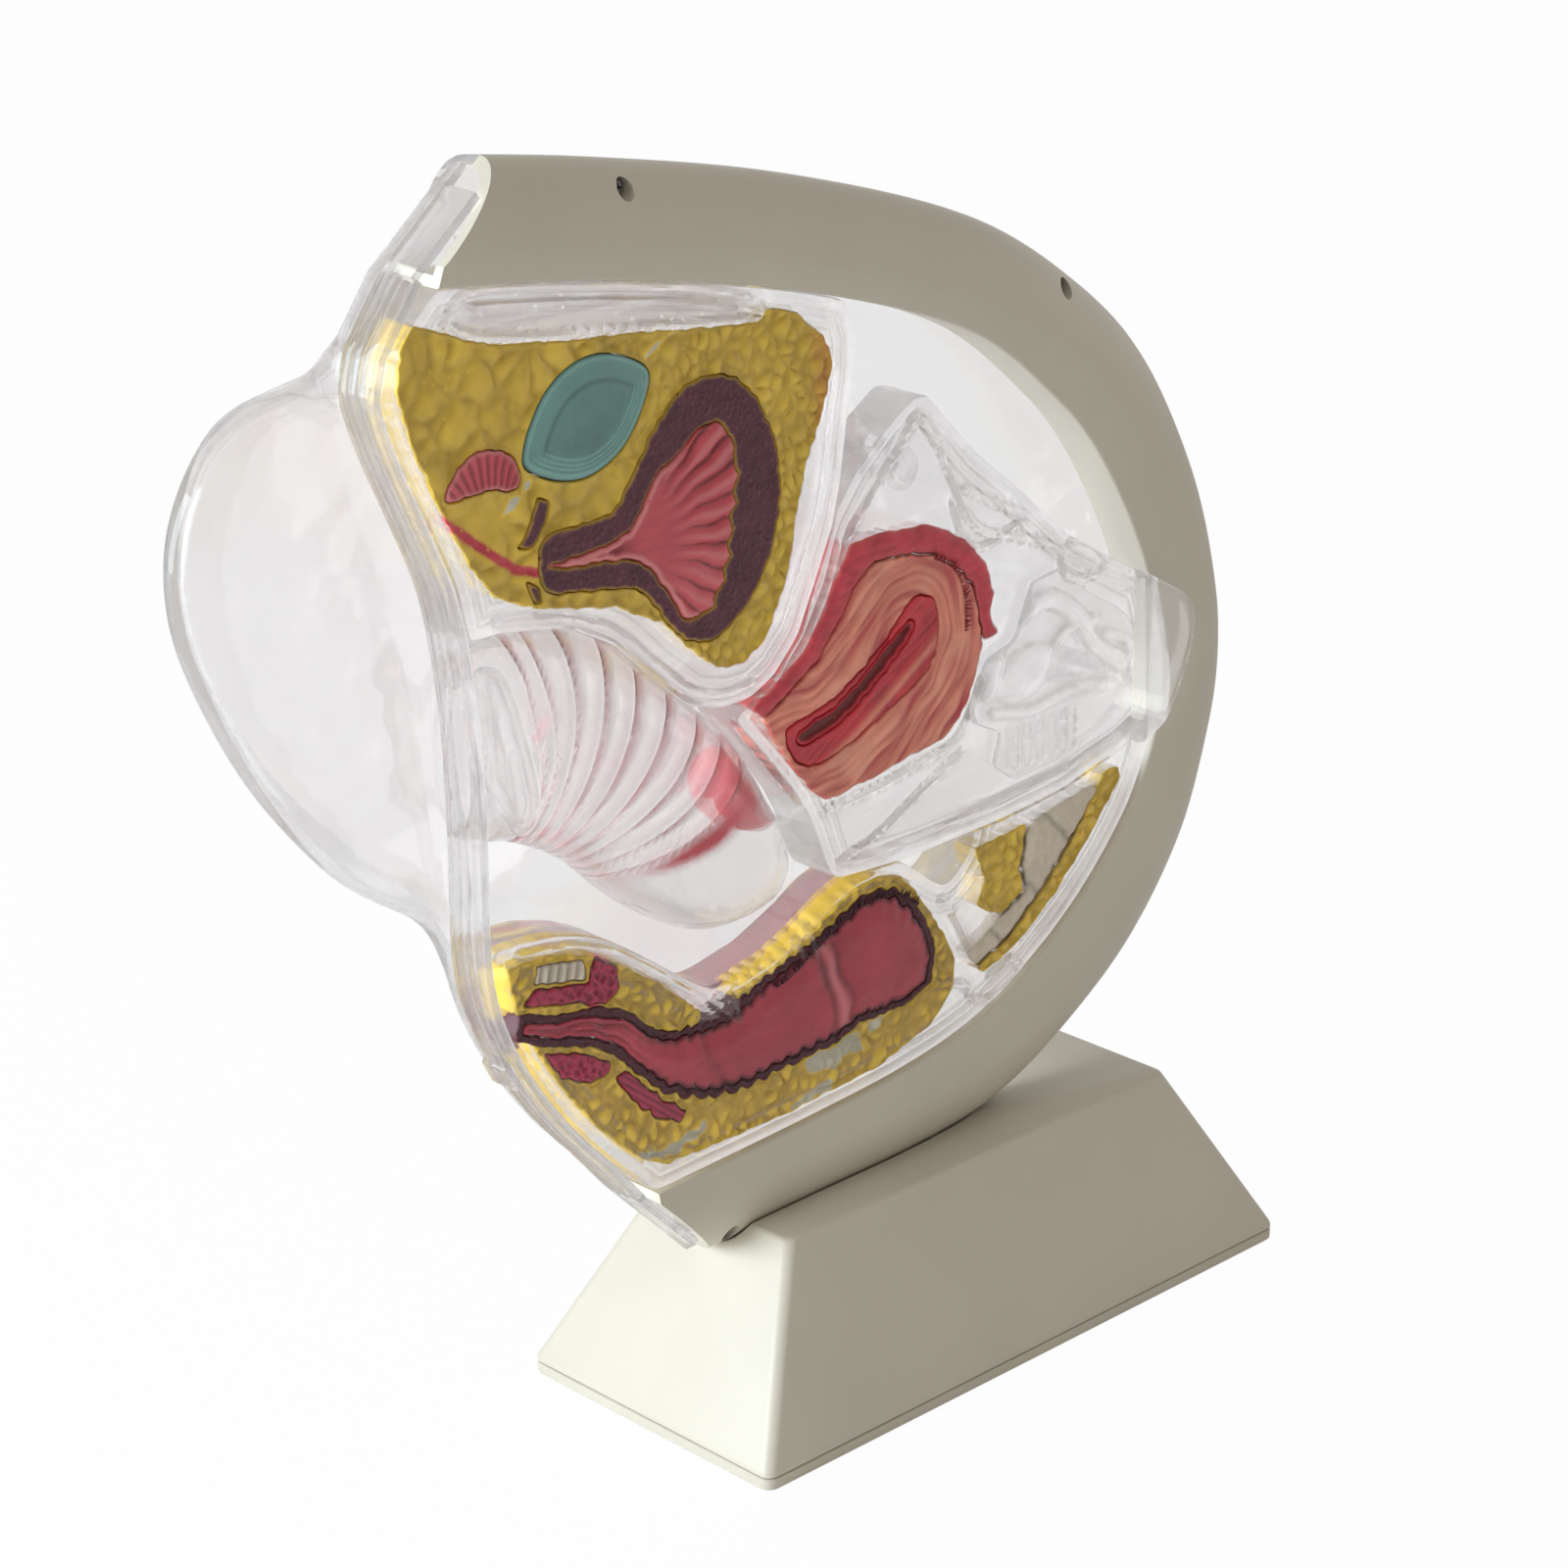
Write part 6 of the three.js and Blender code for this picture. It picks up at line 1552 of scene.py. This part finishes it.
def shell_rings(inset, levels=34):
    """Rings of the shell's outer form, or with an inset of the space inside its wall, and its tip."""
    front, middle = CLEARANCE, SHELL_DEPTH / 2
    deep = FRAME_DEPTH - CLEARANCE - inset
    edge = shell_edge()
    centre = np.array(SHELL_CENTRE, float)
    rings = []
    for k in range(levels + 1):
        level = 7.0 * k / levels
        turn = min(level, 4.0) * math.pi / 8
        swing = level * math.pi / 7
        past = along(SHELL_BACK, max(level - 4, 0) / 3)
        ring = []
        for place, inwards, reach in edge:
            dome = ramp(reach, 0, 20)
            s = FRAME_NOSE - (FRAME_NOSE - inset) * math.cos(turn)
            to_centre = (centre - place) / np.linalg.norm(centre - place)
            step = (past[0] - FRAME_NOSE) * (1 - dome)
            inward = s * (1 - dome) + inset * dome
            out = max(reach - inset, 0) * math.sin(swing)
            rim_depth = front + deep * math.sin(turn) + past[1]
            dome_depth = middle - (middle - front - inset) * math.cos(swing)
            x, z = place + inwards * inward + to_centre * step - np.array((out, 0))
            ring.append((x, rim_depth * (1 - dome) + dome_depth * dome, z))
        # The deeper rings are eased, so that the corners of the edge fade towards the back
        rings.append(eased(np.array(ring), int(30 * max(k / levels - 0.35, 0))))
    tip = np.array((centre[0], SHELL_DEPTH - inset, centre[1]))
    for share in (0.25, 0.5, 0.75):
        rings.append(rings[levels] + (tip - rings[levels]) * share)
    return rings, tip


def strip_walls():
    """The strip down the perineum and up the two end faces, as a slab with rounded front edges."""
    lower, upper = end_line(LOWER_END, STRIP_GROWTH)[1], end_line(UPPER_END, STRIP_GROWTH)[0]
    outer = np.array([lower, *[p[:2] for p in perineum_line()], upper])
    ease = STRIP_WALL / 2
    section = [(0.0, 0.0)]
    for y in STRIP_RIDGES:
        section += [(0.0, y + 0.8), (-0.4, y), (0.0, y - 0.8)]
    section.append((0.0, STRIP_FRONT + ease))
    turns = [i * math.pi / 10 for i in range(1, 10)]
    section += [(ease - ease * math.cos(a), STRIP_FRONT + ease - ease * math.sin(a)) for a in turns]
    section += [(STRIP_WALL, STRIP_FRONT + ease), (STRIP_WALL, 0.0)]
    rings = [[(*(p + n * s), y) for s, y in section] for p, n in zip(outer, beside(outer))]
    return tube([[(x, y, z) for x, z, y in ring] for ring in rings])


def end_tab(end, flip):
    """A tab of the strip that lies on an end face of the frame."""
    near, far = end_line(end, CLEARANCE)[:2], end_line(end, STRIP_GROWTH)[:2]
    if flip:
        near, far = near[::-1], far[::-1]
    reach = [line[0] + (line[1] - line[0]) * TAB_SHARE for line in (near, far)]
    return slab([near[0], reach[0], reach[1], far[0]], TAB_FRONT, 0)


class MODEL_OT_rear_shell(bpy.types.Operator):
    """Make the clear rear shell with its dome and its posts, and the clear strip that stands on it"""
    bl_idname = "model.rear_shell"
    bl_label = "Rear shell and strip"

    def execute(self, context):
        outer, outer_tip = shell_rings(0)
        inner, inner_tip = shell_rings(SHELL_WALL)
        for rings in (outer, inner):
            rings[0][:, 1] = CLEARANCE
        made = object_from("clear_rear_shell", *hollow_loft(outer, outer_tip, inner, inner_tip))
        tray_screws, frame_screws = [*UPPER_TRAY_SCREWS, *LOWER_TRAY_SCREWS], frame_screw_places()
        posts = object_from("posts", *bars(TRAY_POST, tray_screws, "Y", TRAY_BACK + CLEARANCE, POST_REACH))
        combine(posts, "UNION", bars(PEG_SOCKET, UTERUS_PEGS, "Y", TRAY_BACK + CLEARANCE, POST_REACH),
                bars(FRAME_BOSS, frame_screws, "Y", CLEARANCE, 11))
        combine(posts, "INTERSECT", loft(outer, outer_tip))
        combine(made, "UNION", posts)
        bores = object_from("bores", *bars(PEG_BORE, UTERUS_PEGS, "Y", 1, 16.3))
        combine(bores, "UNION", bars(SCREW_HOLE, frame_screws, "Y", -1, 6.7),
                bars(SCREW_HOLE, tray_screws, "Y", 1, 10), bars(HEAD_BORE, tray_screws, "Y", 9, 30),
                bars(SCREW_HOLE, CRADLE_SCREWS, "Z", 40, 61))
        combine(made, "DIFFERENCE", bores)
        clear = clear_moulding("clear_shell_acrylic", 0.5)
        dress(made, ["rear_body_shell"], clear, 40)
        strip = object_from("clear_strip", *strip_walls())
        combine(strip, "DIFFERENCE", introitus_plug())
        combine(strip, "UNION", end_tab(UPPER_END, False), end_tab(LOWER_END, True))
        dress(strip, ["perineum_strip"], clear, 40)
        return {"FINISHED"}


def introitus_plug():
    """Points and faces of the opening in the strip, an oval bar along X."""
    turns = [2 * math.pi * i / 40 for i in range(40)]
    middle, height, width = INTROITUS["z"], INTROITUS["height"] / 2, INTROITUS["width"] / 2
    return loft([np.array([(INTROITUS["x"] + shift, INTROITUS["y"] + width * math.cos(a),
                            middle + height * math.sin(a)) for a in turns]) for shift in (-15, 15)])


def canal_ring(u, extra, sides=56):
    """A ring of the canal's wall at u along its axis."""
    x, z, radius, across = along(CANAL, u)
    run = along(CANAL, u + 1e-3) - along(CANAL, u - 1e-3)
    length = math.hypot(run[0], run[1])
    side = (-run[1] / length, run[0] / length)
    ring = []
    for i in range(sides):
        angle = 2 * math.pi * i / sides
        reach = (radius + extra) * math.cos(angle)
        ring.append((x + side[0] * reach, (across + extra) * math.sin(angle), z + side[1] * reach))
    return np.array(ring)


def canal_end(extra):
    start, end = np.array(CANAL[-1][:2], float), np.array(CANAL_TIP, float)
    step = (end - start) / np.linalg.norm(end - start)
    x, z = end + step * extra
    return np.array((x, 0, z))


def canal_solid(extra):
    return loft([canal_ring(i / 60, extra) for i in range(61)], canal_end(extra))


def cervix_rings(count=26, sides=40):
    """Rings of the cervix from its outer end to its inner one, which has a dent."""
    x, z, half_length, half_across, half_wide, tilt = CERVIX
    cos, sin = math.cos(math.radians(tilt)), math.sin(math.radians(tilt))
    rings = []
    for k in range(1, count):
        lat = math.pi * k / count
        run = half_length * math.cos(lat) + 2.2 * math.exp(-((math.pi - lat) / 0.25) ** 2)
        ring = []
        for i in range(sides):
            a = 2 * math.pi * i / sides
            lump = 1 + 0.04 * noise.noise(Vector((math.cos(a) * 2, math.sin(a) * 2, lat * 3)))
            across, side = (h * math.sin(lat) * s * lump for h, s in (
                (half_across, math.sin(a)), (half_wide, math.cos(a))))
            ring.append((x + run * cos + side * sin, across, z - run * sin + side * cos))
        rings.append(np.array(ring))
    return rings


# Where the first and the last groove lie along the canal, at its upper edge and at its lower one
RUGA_SPAN = ((0.11, 0.28), (0.64, 0.49))


class MODEL_OT_canal(bpy.types.Operator):
    """Make the clear vaginal canal with its rugae, and the cervix in its closed end"""
    bl_idname = "model.canal"
    bl_label = "Canal and cervix"

    def execute(self, context):
        rugae = context.scene.model_rugae
        steps = 320
        outer = [canal_ring(i / steps, 0) for i in range(steps + 1)]
        inner = [canal_ring(i / steps, -CANAL_WALL) for i in range(steps + 1)]
        points, faces = hollow_loft(outer, canal_end(0), inner, canal_end(-CANAL_WALL))
        made = object_from("canal_moulding", points, faces)
        count = len(outer[0])
        # Only the outer face of the near wall is folded, from its upper edge to its lower one
        turn = np.arange(count) * 2 * math.pi / count
        high = np.tile(0.5 + 0.5 * np.cos(turn), steps + 1)
        share = np.repeat(np.arange(steps + 1) / steps, count)
        first = RUGA_SPAN[0][1] + (RUGA_SPAN[0][0] - RUGA_SPAN[0][1]) * high
        last = RUGA_SPAN[1][1] + (RUGA_SPAN[1][0] - RUGA_SPAN[1][1]) * high + 0.12 * high * (1 - high)
        run = (share - first) / (last - first)
        near = np.tile(ramp(-np.sin(turn), 0.05, 0.4), steps + 1)
        near *= ramp(run, -0.06, 0.0) * (1 - ramp(run, 1.0, 1.06))
        pink = near * bell(high, 0.52 - 0.12 * run, 0.12 + 0.14 * run) * ramp(run, 0.0, 1.0) ** 0.5
        patch = np.tile(ramp(-np.sin(turn), 0.0, 0.3), steps + 1)
        patch *= bell(run, 1.06, 0.05) * bell(high, 0.45, 0.24)
        # Painted shade for the near wall's grooves, strongest at its upper edge and weakest in its middle
        dark = near * (0.75 + 0.25 * ramp(high, 0.7, 0.9) - 0.45 * bell(high, 0.5, 0.2))
        values = {"run": run, "near": near, "pink": np.clip(pink, 0, 1), "dark": dark,
                  # The light value paints a faint white highlight on the near wall's bands
                  "light": 0.04 * near * ramp(high, 0.1, 0.3)}
        rest = np.zeros(len(points) - len(run))
        for label, value in values.items():
            store(made, label, np.append(value, rest))
        clear = clear_moulding("clear_canal_acrylic", 0.2, tuple(paints().lining), 0.65)
        grown(made, ruga_tree(), {
            "Count": rugae.count, "Height": rugae.height * MM, "Groove": rugae.groove}, clear)
        layer = made.data.attributes["second"].data
        for i in np.flatnonzero(patch > 0.02):
            layer[i].value = max(layer[i].value, min(1.5 * patch[i], 1))
        lip = [(p[0] + (STRIP_WALL + 0.7), p[1]) for p in perineum_line()]
        past = [*lip, (-230, 330), (-230, 60)]
        combine(made, "DIFFERENCE", slab(past, -40, 40))
        dress(made, ["vaginal_canal"], clear, 40)
        cervix = object_from("cervix_moulding", *loft(cervix_rings()))
        combine(cervix, "INTERSECT", canal_solid(-CANAL_WALL - CLEARANCE))
        store(cervix, "relief", [0.6 + 0.3 * noise.noise(v.co / MM / 3) for v in cervix.data.vertices])
        dress(cervix, ["cervix"], brushed_paint("painted_bladder_lining"), 40)
        return {"FINISHED"}


# Rows of points along a tray's edge, so that its grooves run clean: millimetres from the outline
EDGE_ROWS = (0.25, 0.6, 1.0, 1.5, 2.1, 2.7, 3.2, 3.8, 4.6, 5.4, 6.0, 6.6, 7.4, 8.2, 9.0)


def clear_tray(name, node, outline, lines):
    """A clear tray with rounded edges, its relief, its pockets and the room it leaves for the canal."""
    spacing = bpy.context.scene.model_relief.grid
    ring = softened(common_outline(np.array(outline, float), mouth_outline(CLEARANCE)), spacing, 6)
    fine = [curved(run) for run in lines]
    made = relief_piece(name, [ring], moulded(fine), TRAY_FRONT, TRAY_BACK, round_edge=2.2, rows=EDGE_ROWS,
                        lines=fine, painted=False)
    pockets = [slab(hand_cut(r, 0.5), TRAY_FRONT - 6, POCKET_FLOOR)
               for r in face_loops(node, TRAY_FRONT)[1:] if abs(ring_area(r)) > 2]
    if pockets:
        combine(made, "DIFFERENCE", combine(object_from("pockets", *pockets[0]), "UNION", *pockets[1:]))
    return combine(made, "DIFFERENCE", canal_solid(1.5))


def room_of(tray):
    """Points and faces of the room that a tray takes, with the clearance round it."""
    return slab(outward(softened(np.array(tray, float), 1.0, 2), CLEARANCE), -30, 10)


class MODEL_OT_trays(bpy.types.Operator):
    """Make the two fixed clear trays with their moulded relief"""
    bl_idname = "model.trays"
    bl_label = "Fixed trays"

    def execute(self, context):
        clear = clear_moulding("clear_tray_acrylic", 0.06, tuple(paints().painted_refraction))
        upper = clear_tray("upper_tray_moulding", "upper_tissue_tray", UPPER_TRAY, UPPER_LINES)
        dress(upper, ["upper_tissue_tray"], clear, 45)
        lower = clear_tray("lower_tray_moulding", "lower_tissue_tray", LOWER_TRAY, LOWER_LINES)
        combine(lower, "DIFFERENCE", room_of(UTERUS_TRAY))
        dress(lower, ["lower_tissue_tray"], clear, 45)
        return {"FINISHED"}


def outward(ring, distance):
    """An outline moved outwards by a distance."""
    run = np.roll(ring, -1, 0) - np.roll(ring, 1, 0)
    run /= np.linalg.norm(run, axis=1)[:, None]
    side = math.copysign(1, ring_area(ring))
    return ring + np.column_stack((run[:, 1], -run[:, 0])) * distance * side


class MODEL_OT_uterus_tray(bpy.types.Operator):
    """Make the moving tray with its grip lip and pegs, and the clear ovary and tube"""
    bl_idname = "model.uterus_tray"
    bl_label = "Uterus tray"

    def execute(self, context):
        made = clear_tray("uterus_tray_moulding", "uterus_tray", UTERUS_TRAY, UTERUS_LINES)
        ring = softened(np.array(UTERUS_TRAY, float), 1.0, 2)
        front = -FRAME_DEPTH - CLEARANCE
        side = [(LIP_START, 300), (300, 300), (300, 0), (LIP_START, 0)]
        lip_ring = common_outline(ring, np.array(side, float))
        lip = relief_piece("lip", [softened(lip_ring, 0.8, 2)], flat_relief,
                           front - LIP_THICKNESS, front, spacing=0.8, round_edge=1.1, painted=False)
        neck_ring = common_outline(lip_ring, mouth_outline(CLEARANCE))
        combine(made, "UNION", lip, slab(neck_ring, front - 1, TRAY_FRONT + 3))
        combine(made, "DIFFERENCE", room_of(UPPER_TRAY))
        combine(made, "UNION", bars(PEG, UTERUS_PEGS, "Y", TRAY_BACK - 1, TRAY_BACK + PEG_LENGTH))
        clear = clear_moulding("clear_uterus_tray_acrylic", 0.06, tuple(paints().painted_refraction))
        dress(made, ["uterus_tray"], clear, 45, MOVING)
        rings = [softened(face_loops("ovary_and_tube", INLAY_BACK)[0], 0.8)]
        made = relief_piece("ovary_and_tube_relief", rings, ovary_relief, OVARY_FRONT, INLAY_BACK, painted=False)
        dress(made, ["ovary_and_tube"], clear, 45, MOVING)
        return {"FINISHED"}


TUBE_PATH = [(14.5, 167), (20, 180), (34, 186.6), (46, 180), (54, 170), (64, 163)]
FOLD_PATHS = [[(16, 161), (30, 158.5), (46, 160.5), (60, 158)], [(58, 172), (66, 168), (69, 158)],
              [(36, 172), (44, 177), (54, 177)]]


def ovary_relief(x, z, gap):
    """An ovary, the tube that arches over it, folds of bowel and a row of fimbriae."""
    along_it = (x - 27) * math.cos(0.2) + (z - 169) * math.sin(0.2)
    across = -(x - 27) * math.sin(0.2) + (z - 169) * math.cos(0.2)
    ovary = 4.2 * np.sqrt(np.maximum(1 - (along_it / 11.5) ** 2 - (across / 7.2) ** 2, 0))
    to_tube = line_gap(x, z, [curved(TUBE_PATH)])
    tube = 3.2 * np.sqrt(np.maximum(1 - (to_tube / 2.9) ** 2, 0))
    fold = 2.2 * bell(line_gap(x, z, [curved(run) for run in FOLD_PATHS]), 0, 1.6)
    comb = 2.6 * np.maximum(np.cos(2 * math.pi * (x - 24.4) / 4.6), 0)
    comb *= np.clip(np.minimum((z - 143.5) / 1.5, (156 - z) / 2), 0, 1) * (x > 22) * (x < 47)
    rise = np.maximum(np.maximum(ovary, tube), np.maximum(fold, comb))
    # Painted shade and painted refraction in a thin line round the foot of each raised form
    outline = bell(rise, 0.9, 0.5) * (gap > 1)
    return rise, 0.28 * outline, 0.25 * outline


def flat_relief(x, z, gap):
    return 0 * x, 0 * x, 0 * x


def swirled(x, z, gap):
    """Folds that follow the outline of the labial fold."""
    return 0.5 * np.sin(gap * 1.6 + 2 * clouds(x, z, 8.0)) - 0.5, 0 * x + 0.5, 0 * x


class MODEL_OT_small_clear(bpy.types.Operator):
    """Make the labial fold and the clip of the strip"""
    bl_idname = "model.small_clear"
    bl_label = "Fold and clip"

    def execute(self, context):
        clear = clear_moulding("clear_fold_acrylic", 0.2)
        ring = softened(face_loops("labial_fold", STRIP_FRONT)[0], 0.8)
        fold = relief_piece("labial_fold_relief", [ring], swirled, STRIP_FRONT, STRIP_FRONT + 1.6, 0.8, 0.7)
        dress(fold, ["labial_fold"], clear)
        ring = softened(face_loops("perineum_clip", STRIP_FRONT + 2)[0], 0.5, 1)
        clip = relief_piece("perineum_clip_relief", [ring], flat_relief, STRIP_FRONT + 2, STRIP_FRONT + 10,
                            0.5, 0.6)
        dress(clip, ["perineum_clip"], clear)
        return {"FINISHED"}


# How many screws of each kind are packed
SCREWS = {"plate": 4, "cradle": 2, "frame": 3, "tray": 5}


class MODEL_OT_screws(bpy.types.Operator):
    """Make the self-tapping screws of the stand, the frame and the trays"""
    bl_idname = "model.screws"
    bl_label = "Screws"

    def execute(self, context):
        sizes = context.scene.model_screws
        tree, steel = screw_tree(), plated_steel()
        for node in (f"{kind}_screw_{i + 1}" for kind, count in SCREWS.items() for i in range(count)):
            low, high = (np.array(corner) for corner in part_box(node))
            axis = int(np.argmax(high - low))
            middle = (low + high) / 2
            # A tray's screws go in from behind, and all the others from below or from the front
            from_high = node.startswith("tray")
            middle[axis] = high[axis] if from_high else low[axis]
            made = object_from(f"{node}_threaded", [(0, 0, 0)], [])
            head = float(np.min(high - low))
            values = {"Length": float(high[axis] - low[axis]), "Core": sizes.shank * MM, "Head": head,
                      "Thread": sizes.thread * MM, "Pitch": sizes.pitch * MM, "Sides": sizes.sides,
                      "Head height": sizes.head_height * MM, "Cross": sizes.cross * head / SCREW_HEAD}
            grown(made, tree, values, steel)
            way = np.zeros(3)
            way[axis] = -1 if from_high else 1
            turn = Vector((0, 0, 1)).rotation_difference(Vector(way)).to_matrix().to_4x4()
            made.data.transform(Matrix.Translation(middle) @ turn)
            dress(made, [node], degrees=40)
        return {"FINISHED"}


def stage_world(settings):
    """A white room: warm plain light on the object, bright behind it and dimmer where gloss mirrors it."""
    world = bpy.data.worlds.new("studio")
    bpy.context.scene.world = world
    world.use_nodes = True
    tree = world.node_tree
    tree.nodes.clear()
    path = add(tree, "ShaderNodeLightPath")
    direction = add(tree, "ShaderNodeTexCoord").outputs["Generated"]
    height = add(tree, "ShaderNodeSeparateXYZ", {"Vector": direction}).outputs["Z"]
    looks = []
    for middle, top in (((0.95, 0.94, 0.94, 1), (0.8, 0.78, 0.77, 1)),
                        ((0.62, 0.6, 0.59, 1), (0.35, 0.34, 0.33, 1))):
        room = add(tree, "ShaderNodeValToRGB", {
            "Fac": height}, stops=[(0.05, (1, 1, 1, 1)), (0.35, middle), (0.85, top)])
        looks.append(add(tree, "ShaderNodeBackground", {"Color": room, "Strength": 1.0}))
    # Through the clear plastic the room is bright, and what the gloss mirrors on the viewer's side is dimmer
    toward = add(tree, "ShaderNodeVectorMath", {0: direction, 1: (0.7, 0.71, 0.0)}, operation="DOT_PRODUCT")
    dim = add(tree, "ShaderNodeMapRange", {
        "Value": toward, "From Min": -0.3, "From Max": 0.4, "To Min": 0.4, "To Max": 1.0})
    tree.links.new(dim.outputs["Result"], looks[1].inputs["Strength"])
    white = add(tree, "ShaderNodeBackground", {"Color": (1, 1, 1, 1), "Strength": 1.0})
    last = add(tree, "ShaderNodeBackground", {"Color": (1.0, 0.955, 0.885, 1), "Strength": settings.ambient})
    for ray, look in (("Is Glossy Ray", looks[1]), ("Is Transmission Ray", looks[0]), ("Is Camera Ray", white)):
        last = add(tree, "ShaderNodeMixShader", {0: path.outputs[ray], 1: last, 2: look})
    add(tree, "ShaderNodeOutputWorld", {"Surface": last})


def floor_paper():
    """Matt white paper that keeps a pale shadow and shows white to the camera and through clear plastic."""
    material, tree, place = material_tree("white_paper")
    path = add(tree, "ShaderNodeLightPath")
    fibre = add(tree, "ShaderNodeTexNoise", {"Vector": place, "Scale": 300.0, "Detail": 2.0})
    shown = add(tree, "ShaderNodeValToRGB", {
        "Fac": fibre}, stops=[(0.3, (0.86, 0.86, 0.86, 1)), (0.7, (0.9, 0.9, 0.9, 1))])
    matt = add(tree, "ShaderNodeBsdfDiffuse", {"Color": shown})
    bright = add(tree, "ShaderNodeEmission", {"Color": (1, 1, 1, 1), "Strength": 1.0})
    seen = add(tree, "ShaderNodeMath", {
        0: path.outputs["Is Camera Ray"], 1: path.outputs["Is Transmission Ray"]}, operation="MAXIMUM")
    share = add(tree, "ShaderNodeMath", {0: seen, 1: 0.965}, operation="MULTIPLY")
    mixed = add(tree, "ShaderNodeMixShader", {0: share, 1: matt, 2: bright})
    add(tree, "ShaderNodeOutputMaterial", {"Surface": mixed})
    return material


class MODEL_OT_stage(bpy.types.Operator):
    """Set up the floor, the light and the camera at the photograph's view"""
    bl_idname = "model.stage"
    bl_label = "Stage"

    def execute(self, context):
        settings = context.scene.model_stage
        scene = context.scene
        scene.view_settings.view_transform = "Standard"
        corners = [(x * FLOOR_REACH, y * FLOOR_REACH, FLOOR_LEVEL) for x, y in CORNERS]
        floor = object_from("floor_paper", corners, [(0, 1, 2, 3)], floor_paper())
        stage_world(settings)
        lamp = bpy.data.lights.new("window", "AREA")
        lamp.shape, (lamp.size, lamp.size_y), lamp.energy = "RECTANGLE", WINDOW_SIZE, settings.key
        lamp.color = (0.82, 0.93, 1.0)
        window = bpy.data.objects.new("window", lamp)
        window.location = WINDOW_PLACE
        window.rotation_euler = (Vector((0, 0, 0.16)) - window.location).to_track_quat("-Z", "Y").to_euler()
        scene.collection.objects.link(window)
        camera = bpy.data.cameras.new("camera")
        camera.lens, camera.sensor_width, camera.sensor_fit = settings.lens, 36.0, "HORIZONTAL"
        camera.clip_start, camera.clip_end = 0.05, 20.0
        eye = bpy.data.objects.new("camera", camera)
        yaw, down = math.radians(settings.yaw), math.radians(settings.elevation)
        look = Vector((math.sin(yaw) * math.cos(down), math.cos(yaw) * math.cos(down), -math.sin(down)))
        turn = look.to_track_quat("-Z", "Y").to_matrix() @ Matrix.Rotation(math.radians(settings.roll), 3, "Z")
        eye.matrix_world = Matrix.Translation(settings.camera) @ turn.to_4x4()
        scene.collection.objects.link(eye)
        scene.camera = eye
        # Rays pass many clear walls before they reach the paper behind
        for kind in ("max", "transmission", "transparent_max"):
            setattr(scene.cycles, f"{kind}_bounces", CLEAR_BOUNCES)
        return {"FINISHED"}


OPERATORS = [MODEL_OT_frame, MODEL_OT_stand, MODEL_OT_rear_shell, MODEL_OT_canal, MODEL_OT_trays,
             MODEL_OT_uterus_tray, MODEL_OT_small_clear, MODEL_OT_inlays, MODEL_OT_screws, MODEL_OT_stage]


class MODEL_PT_panel(bpy.types.Panel):
    """Lists the model's settings and the steps that make it"""
    bl_label = "Pelvis teaching model"
    bl_idname = "MODEL_PT_panel"
    bl_space_type = "VIEW_3D"
    bl_region_type = "UI"
    bl_category = "Model"

    def draw(self, context):
        for name, group in SETTINGS.items():
            box = self.layout.box()
            for field in group.__annotations__:
                box.prop(getattr(context.scene, name), field)
        for operator in OPERATORS:
            self.layout.operator(operator.bl_idname)


CLASSES = [*SETTINGS.values(), *OPERATORS, MODEL_PT_panel]


def register():
    for item in CLASSES:
        bpy.utils.register_class(item)
    for name, group in SETTINGS.items():
        setattr(bpy.types.Scene, name, PointerProperty(type=group))


def unregister():
    for name in SETTINGS:
        delattr(bpy.types.Scene, name)
    for item in reversed(CLASSES):
        bpy.utils.unregister_class(item)


def main():
    register()
    for operator in OPERATORS:
        group, name = operator.bl_idname.split(".")
        getattr(getattr(bpy.ops, group), name)()


if __name__ == "__main__":
    main()
